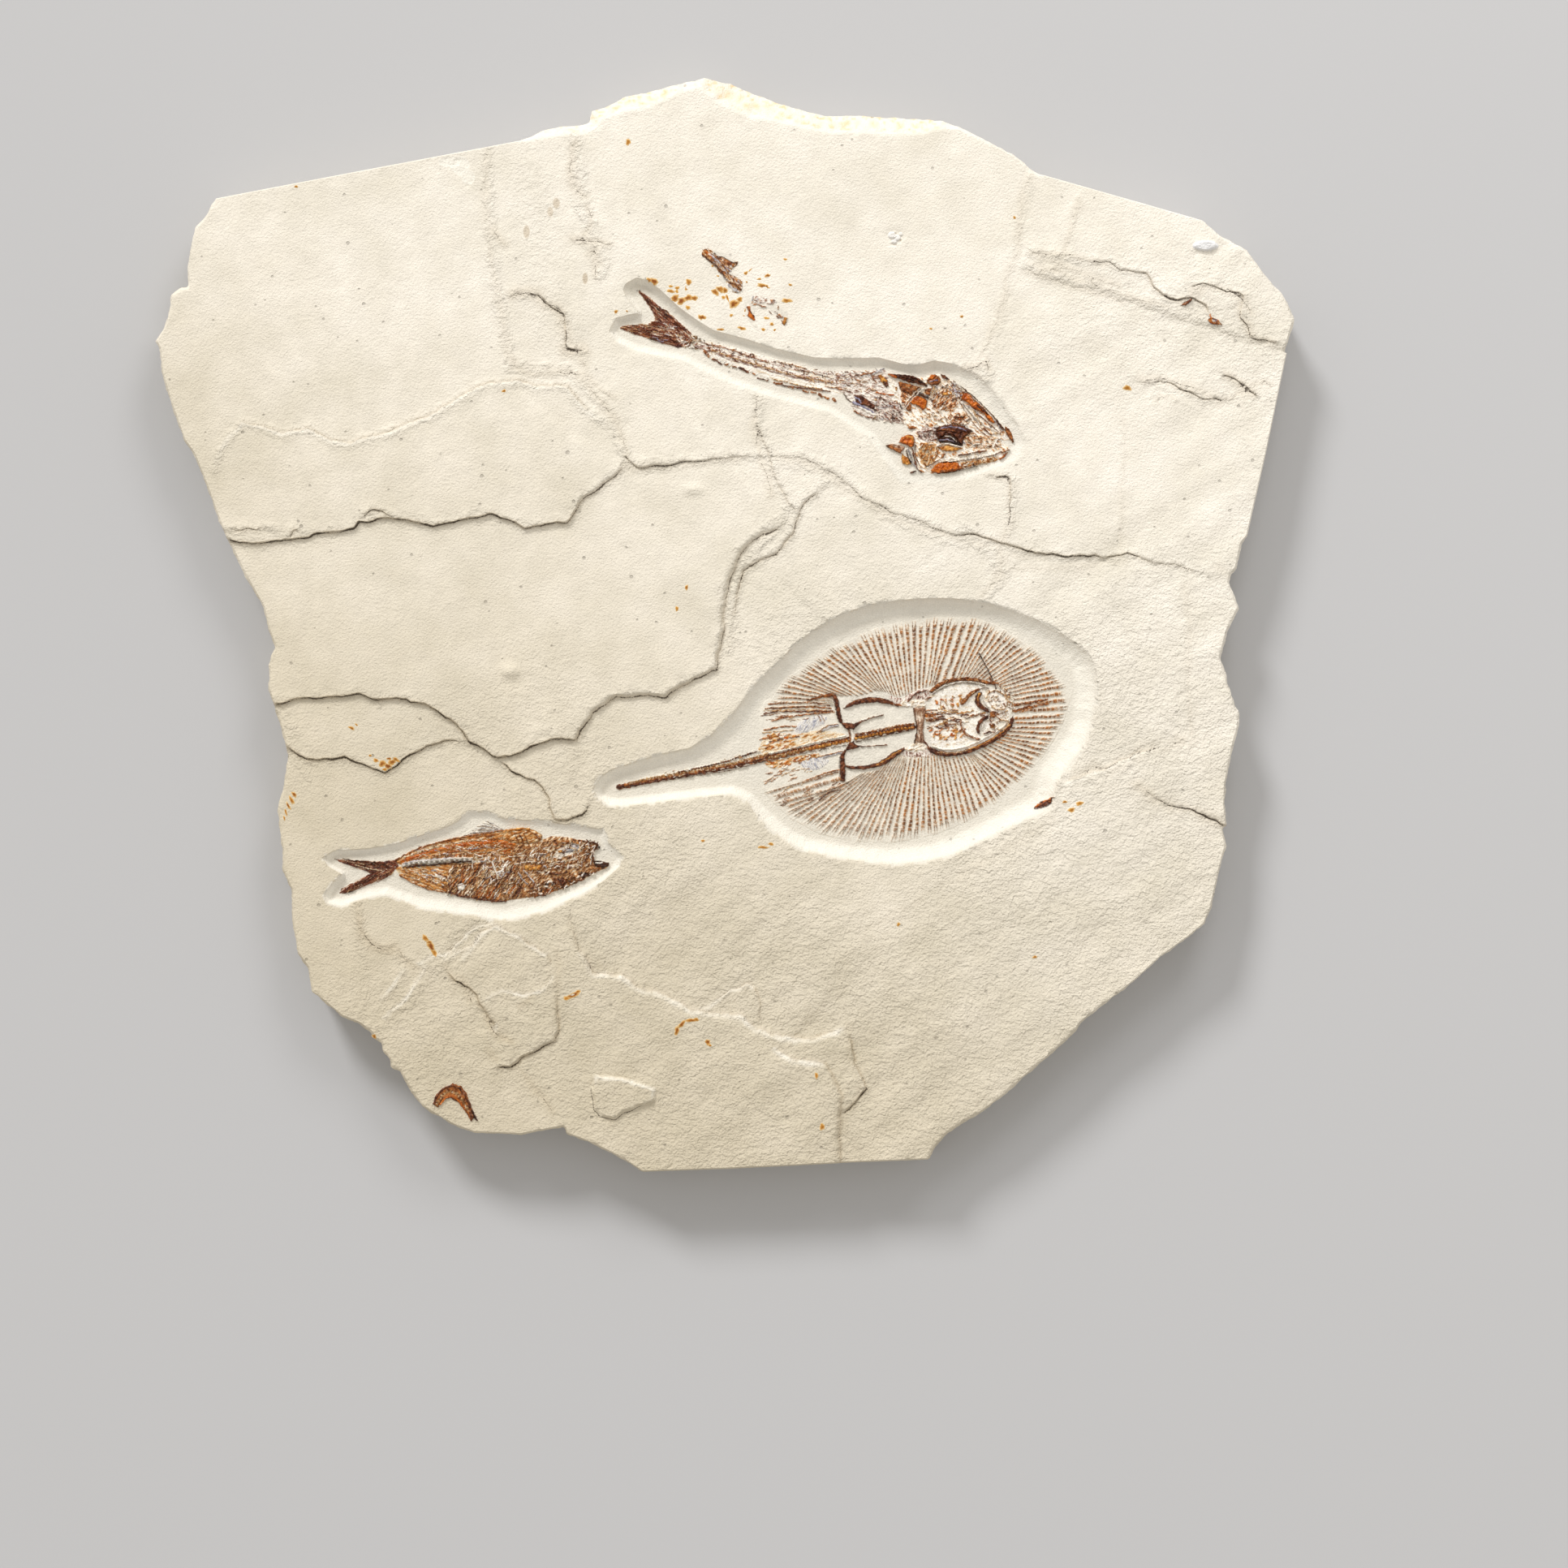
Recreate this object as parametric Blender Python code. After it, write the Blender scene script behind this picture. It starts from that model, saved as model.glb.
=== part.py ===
"""A pale limestone slab with prepared fossils: a ray, two fish, a small curled fish and loose bones.

The slab lies on its flat back, with its face up. X is to the right and Y to the top of the
face. Every length in the tables below is in millimetres, and MM turns it into metres.
"""

import math

import bpy
import numpy as np
from mathutils.geometry import delaunay_2d_cdt

MM = 0.001

THICKNESS = 28.0  # from the back to the undisturbed face
FIT_GAP = 0.3  # between a fossil's underside and the stone that holds it
GRID_STEP = 23.0  # between the plain points of the face
BACK_SHRINK = 0.994  # the back is this much smaller than the face
CREASE_CLEARANCE = 3.0  # between a ledge and a recess or the slab's edge, where the ledge's creases stop

RAY_DEPTH = 6.0
DEEP_FISH_DEPTH = 4.0
LONG_FISH_TAIL = (-43.0, 160.0)
LONG_FISH_SNOUT = (137.0, 91.0)
LONG_FISH_DEPTHS = (4.2, 1.7)  # along the fish's axis, at the tail and at the snout
LONG_FISH_SIDE_TILT = 0.075  # more depth per millimetre above that axis

PLATE_RIM = 0.7  # a fossil's thickness at its outline
RAY_PITCH = 3.4  # between the tips of two fin rays

# The outline, clockwise from the left end of the upper left saw cut: x, y, and the width of
# the broken bevel between the face and the outline there.
UPPER_LEFT_SAW_CUT = [(-251.0, 210.0, 0.6), (-103.5, 238.0, 0.6)]
CROWN = [
    (-95.0, 241.0, 2.5), (-90.5, 244.0, 4.5), (-81.5, 246.0, 5.0), (-71.0, 246.5, 5.0),
    (-67.0, 248.0, 5.0), (-66.5, 254.0, 7.0), (-60.0, 255.0, 6.0), (-54.5, 258.5, 7.0),
    (-47.5, 261.5, 8.0), (-39.5, 263.0, 8.5), (-29.5, 265.5, 6.5), (-20.5, 267.5, 4.5),
    (-10.5, 270.0, 5.0), (-3.5, 269.0, 9.5), (4.5, 267.0, 13.0), (15.5, 262.5, 13.0),
    (26.5, 258.0, 10.5), (36.0, 255.0, 9.5), (44.0, 253.0, 9.5), (52.5, 251.5, 9.5),
    (66.5, 252.0, 10.0), (78.5, 251.0, 9.5), (96.5, 250.0, 8.5), (105.5, 249.0, 5.5),
    (114.5, 246.0, 2.0), (126.5, 240.0, 1.2), (142.5, 231.5, 1.2), (148.5, 227.0, 1.2),
    (154.0, 222.0, 1.2),
]
UPPER_RIGHT_SAW_CUT = [(157.0, 221.5, 0.6), (235.5, 199.0, 0.6)]
RIGHT_SHOULDER = [
    (242.5, 193.0, 1.5), (249.5, 189.0, 1.5), (257.5, 184.5, 1.5), (265.0, 174.0, 1.5),
    (270.5, 167.5, 1.5), (274.5, 163.5, 1.5), (278.0, 157.5, 1.5), (281.0, 150.0, 1.5),
    (278.0, 139.5, 1.5), (276.0, 134.5, 1.2),
]
RIGHT_SAW_CUT = [(277.0, 133.5, 0.6), (266.5, 83.5, 0.6), (257.5, 43.5, 0.8)]
RIGHT_BREAK = [
    (255.0, 39.5, 1.5), (252.5, 27.5, 1.5), (249.5, 24.0, 1.5), (249.0, 20.5, 1.5),
    (250.5, 15.5, 1.5), (254.0, 8.0, 1.5), (251.5, 3.5, 1.5), (248.0, -3.5, 1.5),
    (246.5, -9.5, 1.5), (244.5, -16.5, 1.5), (246.0, -20.5, 1.5), (248.0, -28.5, 1.5),
    (251.5, -39.5, 1.5), (254.0, -44.5, 1.5), (253.5, -51.5, 1.5), (251.0, -59.5, 1.5),
    (247.0, -78.5, 1.2), (246.5, -88.5, 1.2), (247.5, -99.5, 1.2), (245.5, -101.0, 1.2),
    (247.5, -108.5, 1.2), (244.0, -121.5, 1.2), (240.0, -139.5, 1.2), (236.5, -148.0, 1.2),
]
LOWER_RIGHT_BREAK = [
    (228.5, -154.5, 1.0), (214.5, -164.5, 1.0), (202.5, -175.5, 1.0), (190.5, -185.0, 1.0),
    (182.5, -191.0, 1.2), (175.5, -197.0, 1.5), (173.0, -201.0, 1.5), (168.5, -205.5, 1.5),
    (156.5, -216.0, 1.2), (146.5, -224.5, 1.2), (138.5, -232.0, 1.2), (126.5, -241.0, 1.2),
    (117.0, -246.5, 1.5), (110.5, -251.0, 1.5), (105.5, -256.0, 1.5), (102.5, -260.0, 1.2),
]
FOOT_SAW_CUT = [(100.5, -264.0, 0.8), (62.5, -265.5, 0.8), (2.5, -268.5, 0.8), (-41.0, -270.0, 0.8)]
LOWER_LEFT_BREAK = [
    (-51.5, -263.5, 1.2), (-65.5, -256.5, 1.2), (-78.5, -251.5, 1.2), (-79.5, -248.0, 1.2),
    (-100.5, -252.0, 1.2), (-123.5, -251.0, 1.2), (-133.5, -247.5, 1.2), (-141.5, -243.0, 1.2),
    (-149.5, -238.0, 1.2), (-155.0, -231.0, 1.5), (-158.0, -225.5, 1.5), (-161.0, -220.5, 1.5),
    (-165.0, -218.5, 1.5), (-165.5, -215.0, 1.5), (-169.0, -211.0, 1.5), (-169.5, -207.0, 1.5),
    (-172.5, -205.0, 1.5), (-175.0, -201.5, 1.5), (-180.5, -197.5, 1.5), (-189.5, -193.5, 1.2),
    (-199.5, -185.0, 1.2), (-204.0, -181.5, 1.2),
]
LEFT_BREAK = [
    (-206.0, -169.5, 1.2), (-211.0, -162.5, 1.2), (-214.0, -144.5, 1.2), (-214.0, -131.5, 1.2),
    (-218.5, -121.5, 1.2), (-218.5, -111.5, 1.2), (-220.0, -102.5, 1.2), (-221.0, -90.0, 1.5),
    (-218.5, -81.5, 1.5), (-216.0, -64.5, 1.5), (-217.0, -60.0, 1.5), (-221.0, -45.5, 1.2),
    (-225.5, -31.5, 1.2), (-224.5, -15.5, 1.2), (-222.0, -11.5, 1.2), (-225.5, -2.5, 1.2),
    (-228.0, 8.5, 1.2), (-234.5, 19.0, 1.5), (-239.0, 27.5, 1.5), (-246.5, 43.5, 1.2),
    (-251.0, 54.5, 1.2), (-256.0, 68.5, 1.2), (-262.0, 83.5, 1.2), (-267.0, 90.5, 1.2),
    (-273.0, 107.5, 1.2), (-278.0, 123.5, 1.2), (-279.0, 135.5, 1.2), (-281.0, 139.5, 1.2),
    (-276.5, 147.5, 1.5), (-274.0, 155.5, 1.5), (-273.5, 163.0, 1.5), (-268.0, 166.0, 1.5),
    (-265.0, 166.5, 1.5), (-265.5, 175.5, 1.5), (-263.5, 187.5, 1.5), (-261.5, 196.0, 1.5),
    (-257.0, 200.5, 1.5), (-253.5, 206.5, 1.2),
]
OUTLINE = (
    UPPER_LEFT_SAW_CUT + CROWN + UPPER_RIGHT_SAW_CUT + RIGHT_SHOULDER + RIGHT_SAW_CUT
    + RIGHT_BREAK + LOWER_RIGHT_BREAK + FOOT_SAW_CUT + LOWER_LEFT_BREAK + LEFT_BREAK
)

# Where one bedding sheet ends and the next lies lower. The higher side is on the left of the
# way the points run. rise and ramp hold (share of the length, millimetres): how high the step
# is there, and how wide its slope. reach is how far the step is felt to each side.
LEDGES = {
    "tongue_foot": dict(
        line=[
            (-252.0, 42.0), (-232.0, 40.0), (-219.0, 41.5), (-208.0, 43.0), (-192.0, 46.0),
            (-183.0, 47.5), (-181.0, 50.5), (-165.0, 52.5), (-153.0, 51.0), (-144.0, 48.5),
            (-131.0, 51.5), (-116.0, 54.5), (-104.0, 50.5), (-98.0, 47.5), (-84.0, 50.5),
            (-78.0, 50.0), (-72.0, 60.5), (-56.0, 72.5), (-50.0, 79.5), (-49.0, 83.0),
        ],
        rise=[(0.0, 1.8), (0.8, 2.2), (0.95, 1.2), (1.0, 0.0)],
        ramp=[(0.0, 1.2), (0.8, 1.2), (0.85, 2.6), (1.0, 2.6)],
        reach=90.0,
    ),
    "tongue_brow": dict(
        line=[
            (-58.0, 99.5), (-67.5, 104.5), (-72.5, 110.0), (-77.5, 117.0), (-94.5, 117.0),
            (-101.5, 120.0), (-117.5, 118.0), (-130.5, 112.0), (-141.5, 104.5), (-150.5, 101.0),
            (-165.5, 94.5), (-184.5, 89.0), (-193.5, 90.0), (-205.5, 96.0), (-217.5, 94.0),
            (-237.5, 99.5), (-248.5, 86.5), (-251.5, 76.5),
        ],
        rise=[(0.0, 0.0), (0.08, 1.0), (0.5, 1.4), (0.85, 0.9), (1.0, 0.0)],
        ramp=[(0.0, 2.4), (1.0, 2.4)],
        reach=50.0,
    ),
    "sheet_edge": dict(
        line=[
            (-226.0, -40.0), (-207.5, -36.0), (-189.5, -35.5), (-180.5, -34.5), (-169.5, -37.0),
            (-156.5, -37.0), (-148.5, -39.0), (-135.5, -46.5), (-126.5, -57.0), (-112.5, -65.5),
            (-106.0, -65.0), (-92.0, -58.5), (-83.0, -56.0), (-73.5, -57.0), (-72.0, -52.5),
            (-65.5, -43.0), (-53.5, -35.0), (-49.5, -35.5), (-37.5, -33.5), (-30.0, -35.5),
            (-21.5, -29.5), (-12.5, -25.0), (-5.0, -22.0), (-4.5, -16.0), (-2.0, -3.0),
            (-1.5, 11.5), (2.0, 23.5), (6.5, 35.5), (17.5, 45.0), (26.5, 48.0), (32.5, 57.0),
        ],
        rise=[(0.0, 2.2), (0.4, 2.6), (0.9, 2.6), (1.0, 0.0)],
        ramp=[(0.0, 1.2), (0.47, 1.2), (0.52, 3.2), (0.72, 2.6), (0.8, 4.6), (1.0, 3.5)],
        reach=90.0,
    ),
    "wedge_edge": dict(
        line=[
            (-112.5, -66.0), (-105.5, -72.5), (-93.5, -77.0), (-89.5, -81.5), (-86.5, -87.5),
            (-84.5, -96.0), (-76.5, -96.5), (-68.5, -92.0), (-67.0, -86.5),
        ],
        rise=[(0.0, 0.0), (0.12, 1.4), (0.85, 1.4), (1.0, 0.0)],
        ramp=[(0.0, 1.2), (1.0, 1.2)],
        reach=30.0,
    ),
    "left_wedge_edge": dict(
        line=[
            (-220.0, -59.0), (-207.5, -65.5), (-202.0, -67.0), (-187.5, -65.5), (-177.5, -69.0),
            (-168.0, -73.0), (-159.5, -67.0), (-149.5, -61.0), (-138.5, -57.0), (-126.5, -57.5),
        ],
        rise=[(0.0, 1.4), (0.85, 1.4), (1.0, 0.0)],
        ramp=[(0.0, 1.2), (1.0, 1.2)],
        reach=35.0,
    ),
    "terrace": dict(
        line=[
            (1.5, -12.5), (2.5, -3.0), (4.5, 11.5), (8.5, 27.0), (18.5, 33.0), (25.5, 35.5),
            (32.5, 45.5), (36.5, 57.5), (45.0, 65.5), (50.5, 71.5),
        ],
        rise=[(0.0, 0.0), (0.3, 1.0), (0.85, 1.0), (1.0, 0.0)],
        ramp=[(0.0, 2.4), (1.0, 2.0)],
        reach=25.0,
    ),
    "right_crack": dict(
        line=[
            (102.5, 47.5), (112.5, 44.5), (122.5, 45.0), (135.5, 40.5), (152.5, 36.0),
            (169.5, 33.5), (182.5, 34.5), (191.5, 31.5),
        ],
        rise=[(0.0, 0.0), (0.2, 0.9), (0.85, 1.5), (1.0, 0.0)],
        ramp=[(0.0, 1.2), (1.0, 1.2)],
        reach=40.0,
    ),
    "shoulder_joint": dict(
        line=[
            (147.5, 177.5), (156.5, 172.5), (170.5, 169.0), (186.5, 164.5), (202.5, 159.5),
            (215.5, 155.0), (240.5, 147.0), (260.5, 140.5), (284.0, 135.0),
        ],
        rise=[(0.0, 0.0), (0.1, 0.8), (1.0, 0.8)],
        ramp=[(0.0, 5.0), (1.0, 5.0)],
        reach=40.0,
    ),
    "shoulder_crack": dict(
        line=[
            (150.5, 183.5), (166.5, 181.0), (190.5, 178.0), (195.5, 174.5), (208.0, 173.0),
            (210.5, 167.5), (215.5, 162.0), (222.5, 160.0), (230.0, 161.0), (237.5, 157.5),
            (239.5, 151.5),
        ],
        rise=[(0.0, 0.0), (0.5, 0.6), (0.7, 1.1), (0.95, 1.1), (1.0, 0.0)],
        ramp=[(0.0, 1.2), (1.0, 1.2)],
        reach=20.0,
    ),
    "crown_step": dict(
        line=[
            (-106.5, 163.5), (-92.5, 162.5), (-85.5, 157.0), (-79.0, 152.5), (-78.0, 136.5),
            (-69.5, 134.5),
        ],
        rise=[(0.0, 0.0), (0.4, 1.0), (0.85, 1.0), (1.0, 0.0)],
        ramp=[(0.0, 1.2), (1.0, 1.2)],
        reach=18.0,
    ),
    "centre_joint": dict(
        line=[(-49.0, 83.0), (-42.5, 77.0), (-29.5, 79.0), (-11.5, 81.0), (20.5, 84.0)],
        rise=[(0.0, 0.0), (0.15, 0.8), (1.0, 0.0)],
        ramp=[(0.0, 1.6), (1.0, 1.6)],
        reach=25.0,
    ),
    "lower_step": dict(
        line=[
            (59.5, -199.5), (48.5, -203.0), (42.5, -205.0), (28.5, -204.0), (16.5, -200.5),
            (7.5, -193.0), (-9.5, -192.0), (-17.5, -190.5), (-29.5, -183.0), (-42.5, -180.0),
            (-50.5, -174.0), (-64.5, -172.5), (-71.5, -162.5), (-75.5, -152.5),
        ],
        rise=[(0.0, 0.0), (0.08, 1.8), (0.75, 2.0), (0.9, 1.0), (1.0, 0.0)],
        ramp=[(0.0, 3.4), (1.0, 3.4)],
        reach=60.0,
    ),
    "foot_step": dict(
        line=[
            (56.5, -272.0), (55.5, -252.5), (56.5, -232.5), (49.0, -217.0), (32.5, -215.0),
            (24.0, -209.0), (23.0, -204.0),
        ],
        rise=[(0.0, 1.6), (0.85, 1.6), (1.0, 0.0)],
        ramp=[(0.0, 3.6), (1.0, 3.6)],
        reach=40.0,
    ),
    "foot_terrace": dict(
        line=[
            (56.5, -243.0), (63.5, -236.5), (70.0, -228.5), (63.5, -217.0), (61.0, -202.5),
            (59.5, -199.5),
        ],
        rise=[(0.0, 0.0), (0.15, 1.4), (0.85, 1.2), (1.0, 0.0)],
        ramp=[(0.0, 1.8), (1.0, 1.8)],
        reach=14.0,
    ),
    "patch_left": dict(
        line=[
            (-138.0, -169.0), (-133.5, -175.5), (-126.0, -178.5), (-121.5, -185.0),
            (-118.0, -191.5), (-113.0, -198.0), (-113.0, -202.5),
        ],
        rise=[(0.0, 0.0), (0.15, 1.2), (0.85, 1.2), (1.0, 0.0)],
        ramp=[(0.0, 1.2), (1.0, 1.2)],
        reach=20.0,
    ),
    "patch_foot": dict(
        line=[
            (-114.0, -218.0), (-106.5, -218.5), (-99.5, -213.0), (-85.5, -205.5),
            (-82.5, -200.5), (-83.0, -186.5), (-84.0, -173.5),
        ],
        rise=[(0.0, 0.0), (0.1, 1.8), (0.6, 1.5), (0.8, 0.7), (1.0, 0.0)],
        ramp=[(0.0, 1.8), (1.0, 2.4)],
        reach=26.0,
    ),
    "patch_brow": dict(
        line=[
            (-84.0, -173.5), (-88.0, -163.5), (-104.0, -153.0), (-113.5, -148.5),
            (-119.5, -151.5), (-131.5, -168.0),
        ],
        rise=[(0.0, 0.0), (0.2, 1.0), (0.7, 1.0), (1.0, 0.0)],
        ramp=[(0.0, 2.2), (1.0, 2.2)],
        reach=20.0,
    ),
    "notch_edge": dict(
        line=[(224.5, -57.0), (202.5, -64.5), (188.5, -71.0), (176.5, -75.5), (165.0, -79.5)],
        rise=[(0.0, 0.0), (0.3, 1.0), (0.9, 1.0), (1.0, 0.0)],
        ramp=[(0.0, 3.0), (1.0, 3.0)],
        reach=25.0,
    ),
    "right_edge_crack": dict(
        line=[(202.5, -79.0), (218.5, -89.0), (232.5, -92.5), (252.0, -101.0)],
        rise=[(0.0, 0.0), (0.4, 0.6), (1.0, 1.4)],
        ramp=[(0.0, 1.2), (1.0, 1.2)],
        reach=25.0,
    ),
}
FLAKE = [
    (-65.0, -230.5), (-64.0, -239.0), (-61.5, -242.0), (-54.5, -243.0), (-42.5, -236.5),
    (-36.0, -235.0), (-34.0, -229.5), (-43.5, -225.5), (-64.0, -222.0),
]
FLAKE_RISE, FLAKE_RAMP = 1.4, 1.6

# Low bumps and pits: x, y, half length, half width, height.
BUMPS = [
    (-14.5, 66.5, 7.0, 3.5, 1.1),
    (-105.5, -23.0, 7.0, 4.5, 1.0),
    (236.5, 186.5, 6.5, 2.6, 1.0),
    (84.0, 191.0, 5.5, 5.0, -1.0),
]

# The rims of the prepared recesses, clockwise: x, y, and the width of the sloping wall there.
RAY_RIM = [
    (-65.5, -81.0, 4.0), (-61.5, -75.0, 4.0), (-56.5, -71.5, 4.5), (-45.5, -68.0, 5.0),
    (-32.5, -64.0, 6.0), (-18.0, -61.0, 7.0), (-7.0, -54.5, 8.0), (4.0, -43.5, 8.5),
    (14.5, -29.5, 8.5), (25.5, -19.5, 8.5), (32.5, -11.5, 8.5), (42.5, -3.5, 8.5),
    (52.5, 2.5, 8.5), (62.5, 7.0, 8.5), (72.5, 10.0, 8.5), (82.5, 11.5, 8.5),
    (92.5, 12.5, 8.5), (102.5, 13.0, 8.5), (112.5, 12.8, 8.5), (122.5, 11.8, 8.5),
    (132.5, 10.0, 9.0), (142.5, 7.0, 9.5), (152.5, 3.0, 10.0), (162.5, -2.0, 11.0),
    (173.5, -9.5, 11.0), (178.5, -14.0, 11.0), (181.5, -19.5, 11.5), (183.5, -28.5, 12.0),
    (183.5, -36.5, 12.0), (181.5, -51.5, 12.0), (177.5, -60.5, 12.0), (172.5, -66.5, 12.0),
    (164.5, -77.0, 12.0), (161.5, -89.5, 12.0), (154.5, -94.8, 12.0), (146.5, -97.5, 11.0),
    (130.5, -105.5, 10.0), (112.5, -114.0, 10.0), (102.5, -116.8, 10.0), (82.5, -119.0, 10.0),
    (62.5, -116.5, 8.0), (50.5, -114.5, 8.0), (38.5, -112.0, 8.0), (29.5, -107.5, 8.0),
    (22.5, -102.0, 7.5), (15.5, -95.5, 7.5), (10.5, -88.0, 6.0), (6.5, -85.0, 5.0),
    (2.5, -84.0, 5.0), (-13.5, -85.5, 5.0), (-25.5, -87.0, 5.0), (-49.5, -90.0, 5.0),
    (-57.5, -90.0, 5.0), (-63.5, -86.0, 4.0),
]
DEEP_FISH_RIM = [
    (-199.0, -115.0, 3.0), (-193.0, -111.5, 3.0), (-177.0, -110.5, 3.2), (-163.5, -108.5, 3.5),
    (-152.0, -104.5, 3.5), (-138.0, -100.0, 3.5), (-133.0, -97.5, 3.5), (-126.5, -92.5, 3.5),
    (-117.5, -92.5, 3.5), (-110.0, -95.5, 3.5), (-92.5, -97.0, 3.5), (-77.5, -98.5, 3.5),
    (-60.0, -101.0, 4.0), (-57.0, -108.0, 3.5), (-50.5, -115.0, 4.0), (-51.5, -119.5, 4.0),
    (-60.0, -127.0, 3.0), (-71.0, -133.5, 4.0), (-90.0, -142.5, 6.5), (-103.5, -145.5, 7.0),
    (-111.0, -146.5, 7.0), (-130.5, -143.0, 7.0), (-151.5, -140.0, 6.5), (-167.5, -133.5, 5.0),
    (-175.5, -135.0, 5.0), (-189.5, -139.5, 5.0), (-196.5, -137.5, 4.0), (-198.0, -133.5, 3.5),
    (-193.5, -127.0, 3.0), (-189.0, -123.5, 2.2), (-196.0, -119.5, 2.2),
]
LONG_FISH_RIM = [
    (-50.5, 165.0, 3.5), (-49.0, 168.0, 3.0), (-43.5, 171.0, 3.0), (-38.0, 169.5, 3.0),
    (-31.5, 164.5, 3.5), (-23.0, 156.5, 3.5), (-14.0, 150.0, 3.5), (-6.0, 145.0, 3.5),
    (11.0, 140.5, 3.5), (22.5, 136.5, 3.5), (44.0, 131.5, 3.5), (58.5, 131.0, 3.5),
    (75.5, 131.5, 3.5), (87.0, 128.5, 3.0), (93.5, 127.5, 3.5), (103.0, 130.0, 3.5),
    (112.0, 128.5, 4.0), (124.5, 123.0, 5.0), (131.5, 116.5, 5.0), (145.0, 98.0, 4.0),
    (148.5, 88.5, 4.0), (143.5, 80.0, 4.0), (118.5, 71.0, 4.0), (102.5, 68.5, 4.0),
    (86.0, 70.0, 4.5), (74.5, 85.5, 5.0), (70.5, 91.5, 5.0), (64.0, 96.0, 4.5),
    (50.5, 104.5, 4.0), (24.5, 111.0, 4.5), (4.5, 117.5, 4.5), (-13.0, 125.5, 4.5),
    (-21.0, 129.5, 4.5), (-45.0, 134.5, 4.5), (-54.0, 139.0, 4.0), (-57.5, 144.5, 3.5),
    (-54.0, 151.0, 3.0), (-48.0, 152.5, 2.5), (-43.0, 153.5, 2.5), (-49.0, 161.0, 3.5),
]

# The ray's fin rays: root x, root y, tip x, tip y, clockwise from the left end of the upper
# fan. Others lie evenly between these.
FIN_RAYS = [
    (53.5, -39.5, 20.0, -41.5), (54.5, -35.0, 29.5, -27.0), (65.0, -35.0, 40.0, -20.5),
    (74.5, -32.5, 49.5, -13.0), (79.0, -33.0, 61.0, -8.0), (84.5, -35.0, 74.5, -2.0),
    (92.0, -32.5, 89.5, 1.5), (99.5, -30.0, 104.0, 3.5), (103.5, -29.0, 114.5, 3.0),
    (112.5, -26.5, 123.0, 3.0), (118.0, -25.0, 133.0, 0.0), (123.0, -26.0, 143.5, -6.5),
    (131.5, -27.0, 154.0, -13.0), (137.0, -30.5, 162.0, -23.0), (142.0, -35.0, 167.5, -30.0),
    (143.0, -39.0, 170.0, -37.5), (143.0, -46.5, 168.0, -45.0), (142.0, -51.0, 165.5, -51.0),
    (138.0, -54.5, 162.0, -57.0), (132.5, -57.5, 157.0, -65.0), (128.5, -61.0, 150.0, -72.5),
    (123.0, -64.0, 143.0, -80.0), (120.0, -65.0, 133.5, -88.5), (114.5, -66.0, 124.5, -94.5),
    (106.0, -65.0, 113.0, -100.0), (100.0, -65.0, 101.0, -104.0), (95.5, -66.0, 90.5, -106.5),
    (89.5, -66.5, 79.0, -107.5), (86.0, -65.5, 65.5, -107.5), (81.0, -68.5, 55.5, -105.5),
    (74.5, -72.5, 44.5, -102.0), (66.5, -74.0, 33.0, -96.0), (59.0, -79.5, 25.0, -89.0),
    (55.5, -72.5, 19.5, -83.0),
]
RAY_TAIL = [
    (20.5, -77.0), (18.0, -72.5), (8.5, -71.5), (-5.5, -73.0), (-21.5, -76.5), (-37.5, -79.0),
    (-55.0, -81.0), (-45.5, -76.5), (-29.5, -74.0), (-13.5, -71.0), (2.5, -67.5),
    (14.5, -62.5), (20.5, -54.5), (20.0, -46.5),
]
# Raised bars: half width, height above the plate, points.
RAY_BARS = [
    (1.5, 1.6, [(58.0, -41.5), (67.5, -37.5), (74.5, -37.0), (83.5, -39.0), (91.0, -42.5)]),
    (1.5, 1.6, [(59.0, -70.5), (69.0, -71.0), (79.0, -67.5), (86.5, -63.0), (92.0, -59.5)]),
    (2.0, 1.8, [(53.0, -36.0), (54.5, -43.5), (58.0, -49.5), (62.5, -50.5), (62.0, -60.0)]),
    (2.0, 1.8, [(62.0, -60.0), (58.5, -65.5), (58.0, -72.0), (57.5, -79.0)]),
    (3.2, 2.0, [(95.5, -39.5), (95.5, -60.0)]),
    (
        1.6, 1.8,
        [
            (97.0, -35.5), (101.0, -32.0), (107.5, -28.0), (118.0, -26.0), (128.5, -28.0),
            (137.0, -31.0), (142.5, -37.0), (143.0, -44.0), (141.0, -50.0), (133.0, -57.0),
            (122.5, -63.0), (111.0, -65.0), (101.5, -62.5),
        ],
    ),
    (2.0, 1.8, [(91.0, -50.0), (67.0, -55.0), (49.0, -59.5), (31.5, -63.5), (14.5, -67.5)]),
    (1.4, 1.3, [(14.5, -67.5), (-13.5, -73.0), (-45.5, -78.5)]),
    (1.5, 1.8, [(123.0, -36.5), (126.0, -41.0), (130.5, -43.0), (126.0, -47.5), (125.0, -51.5)]),
    (2.2, 1.2, [(99.5, -46.0), (112.0, -46.5), (122.0, -44.0)]),
]

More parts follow.
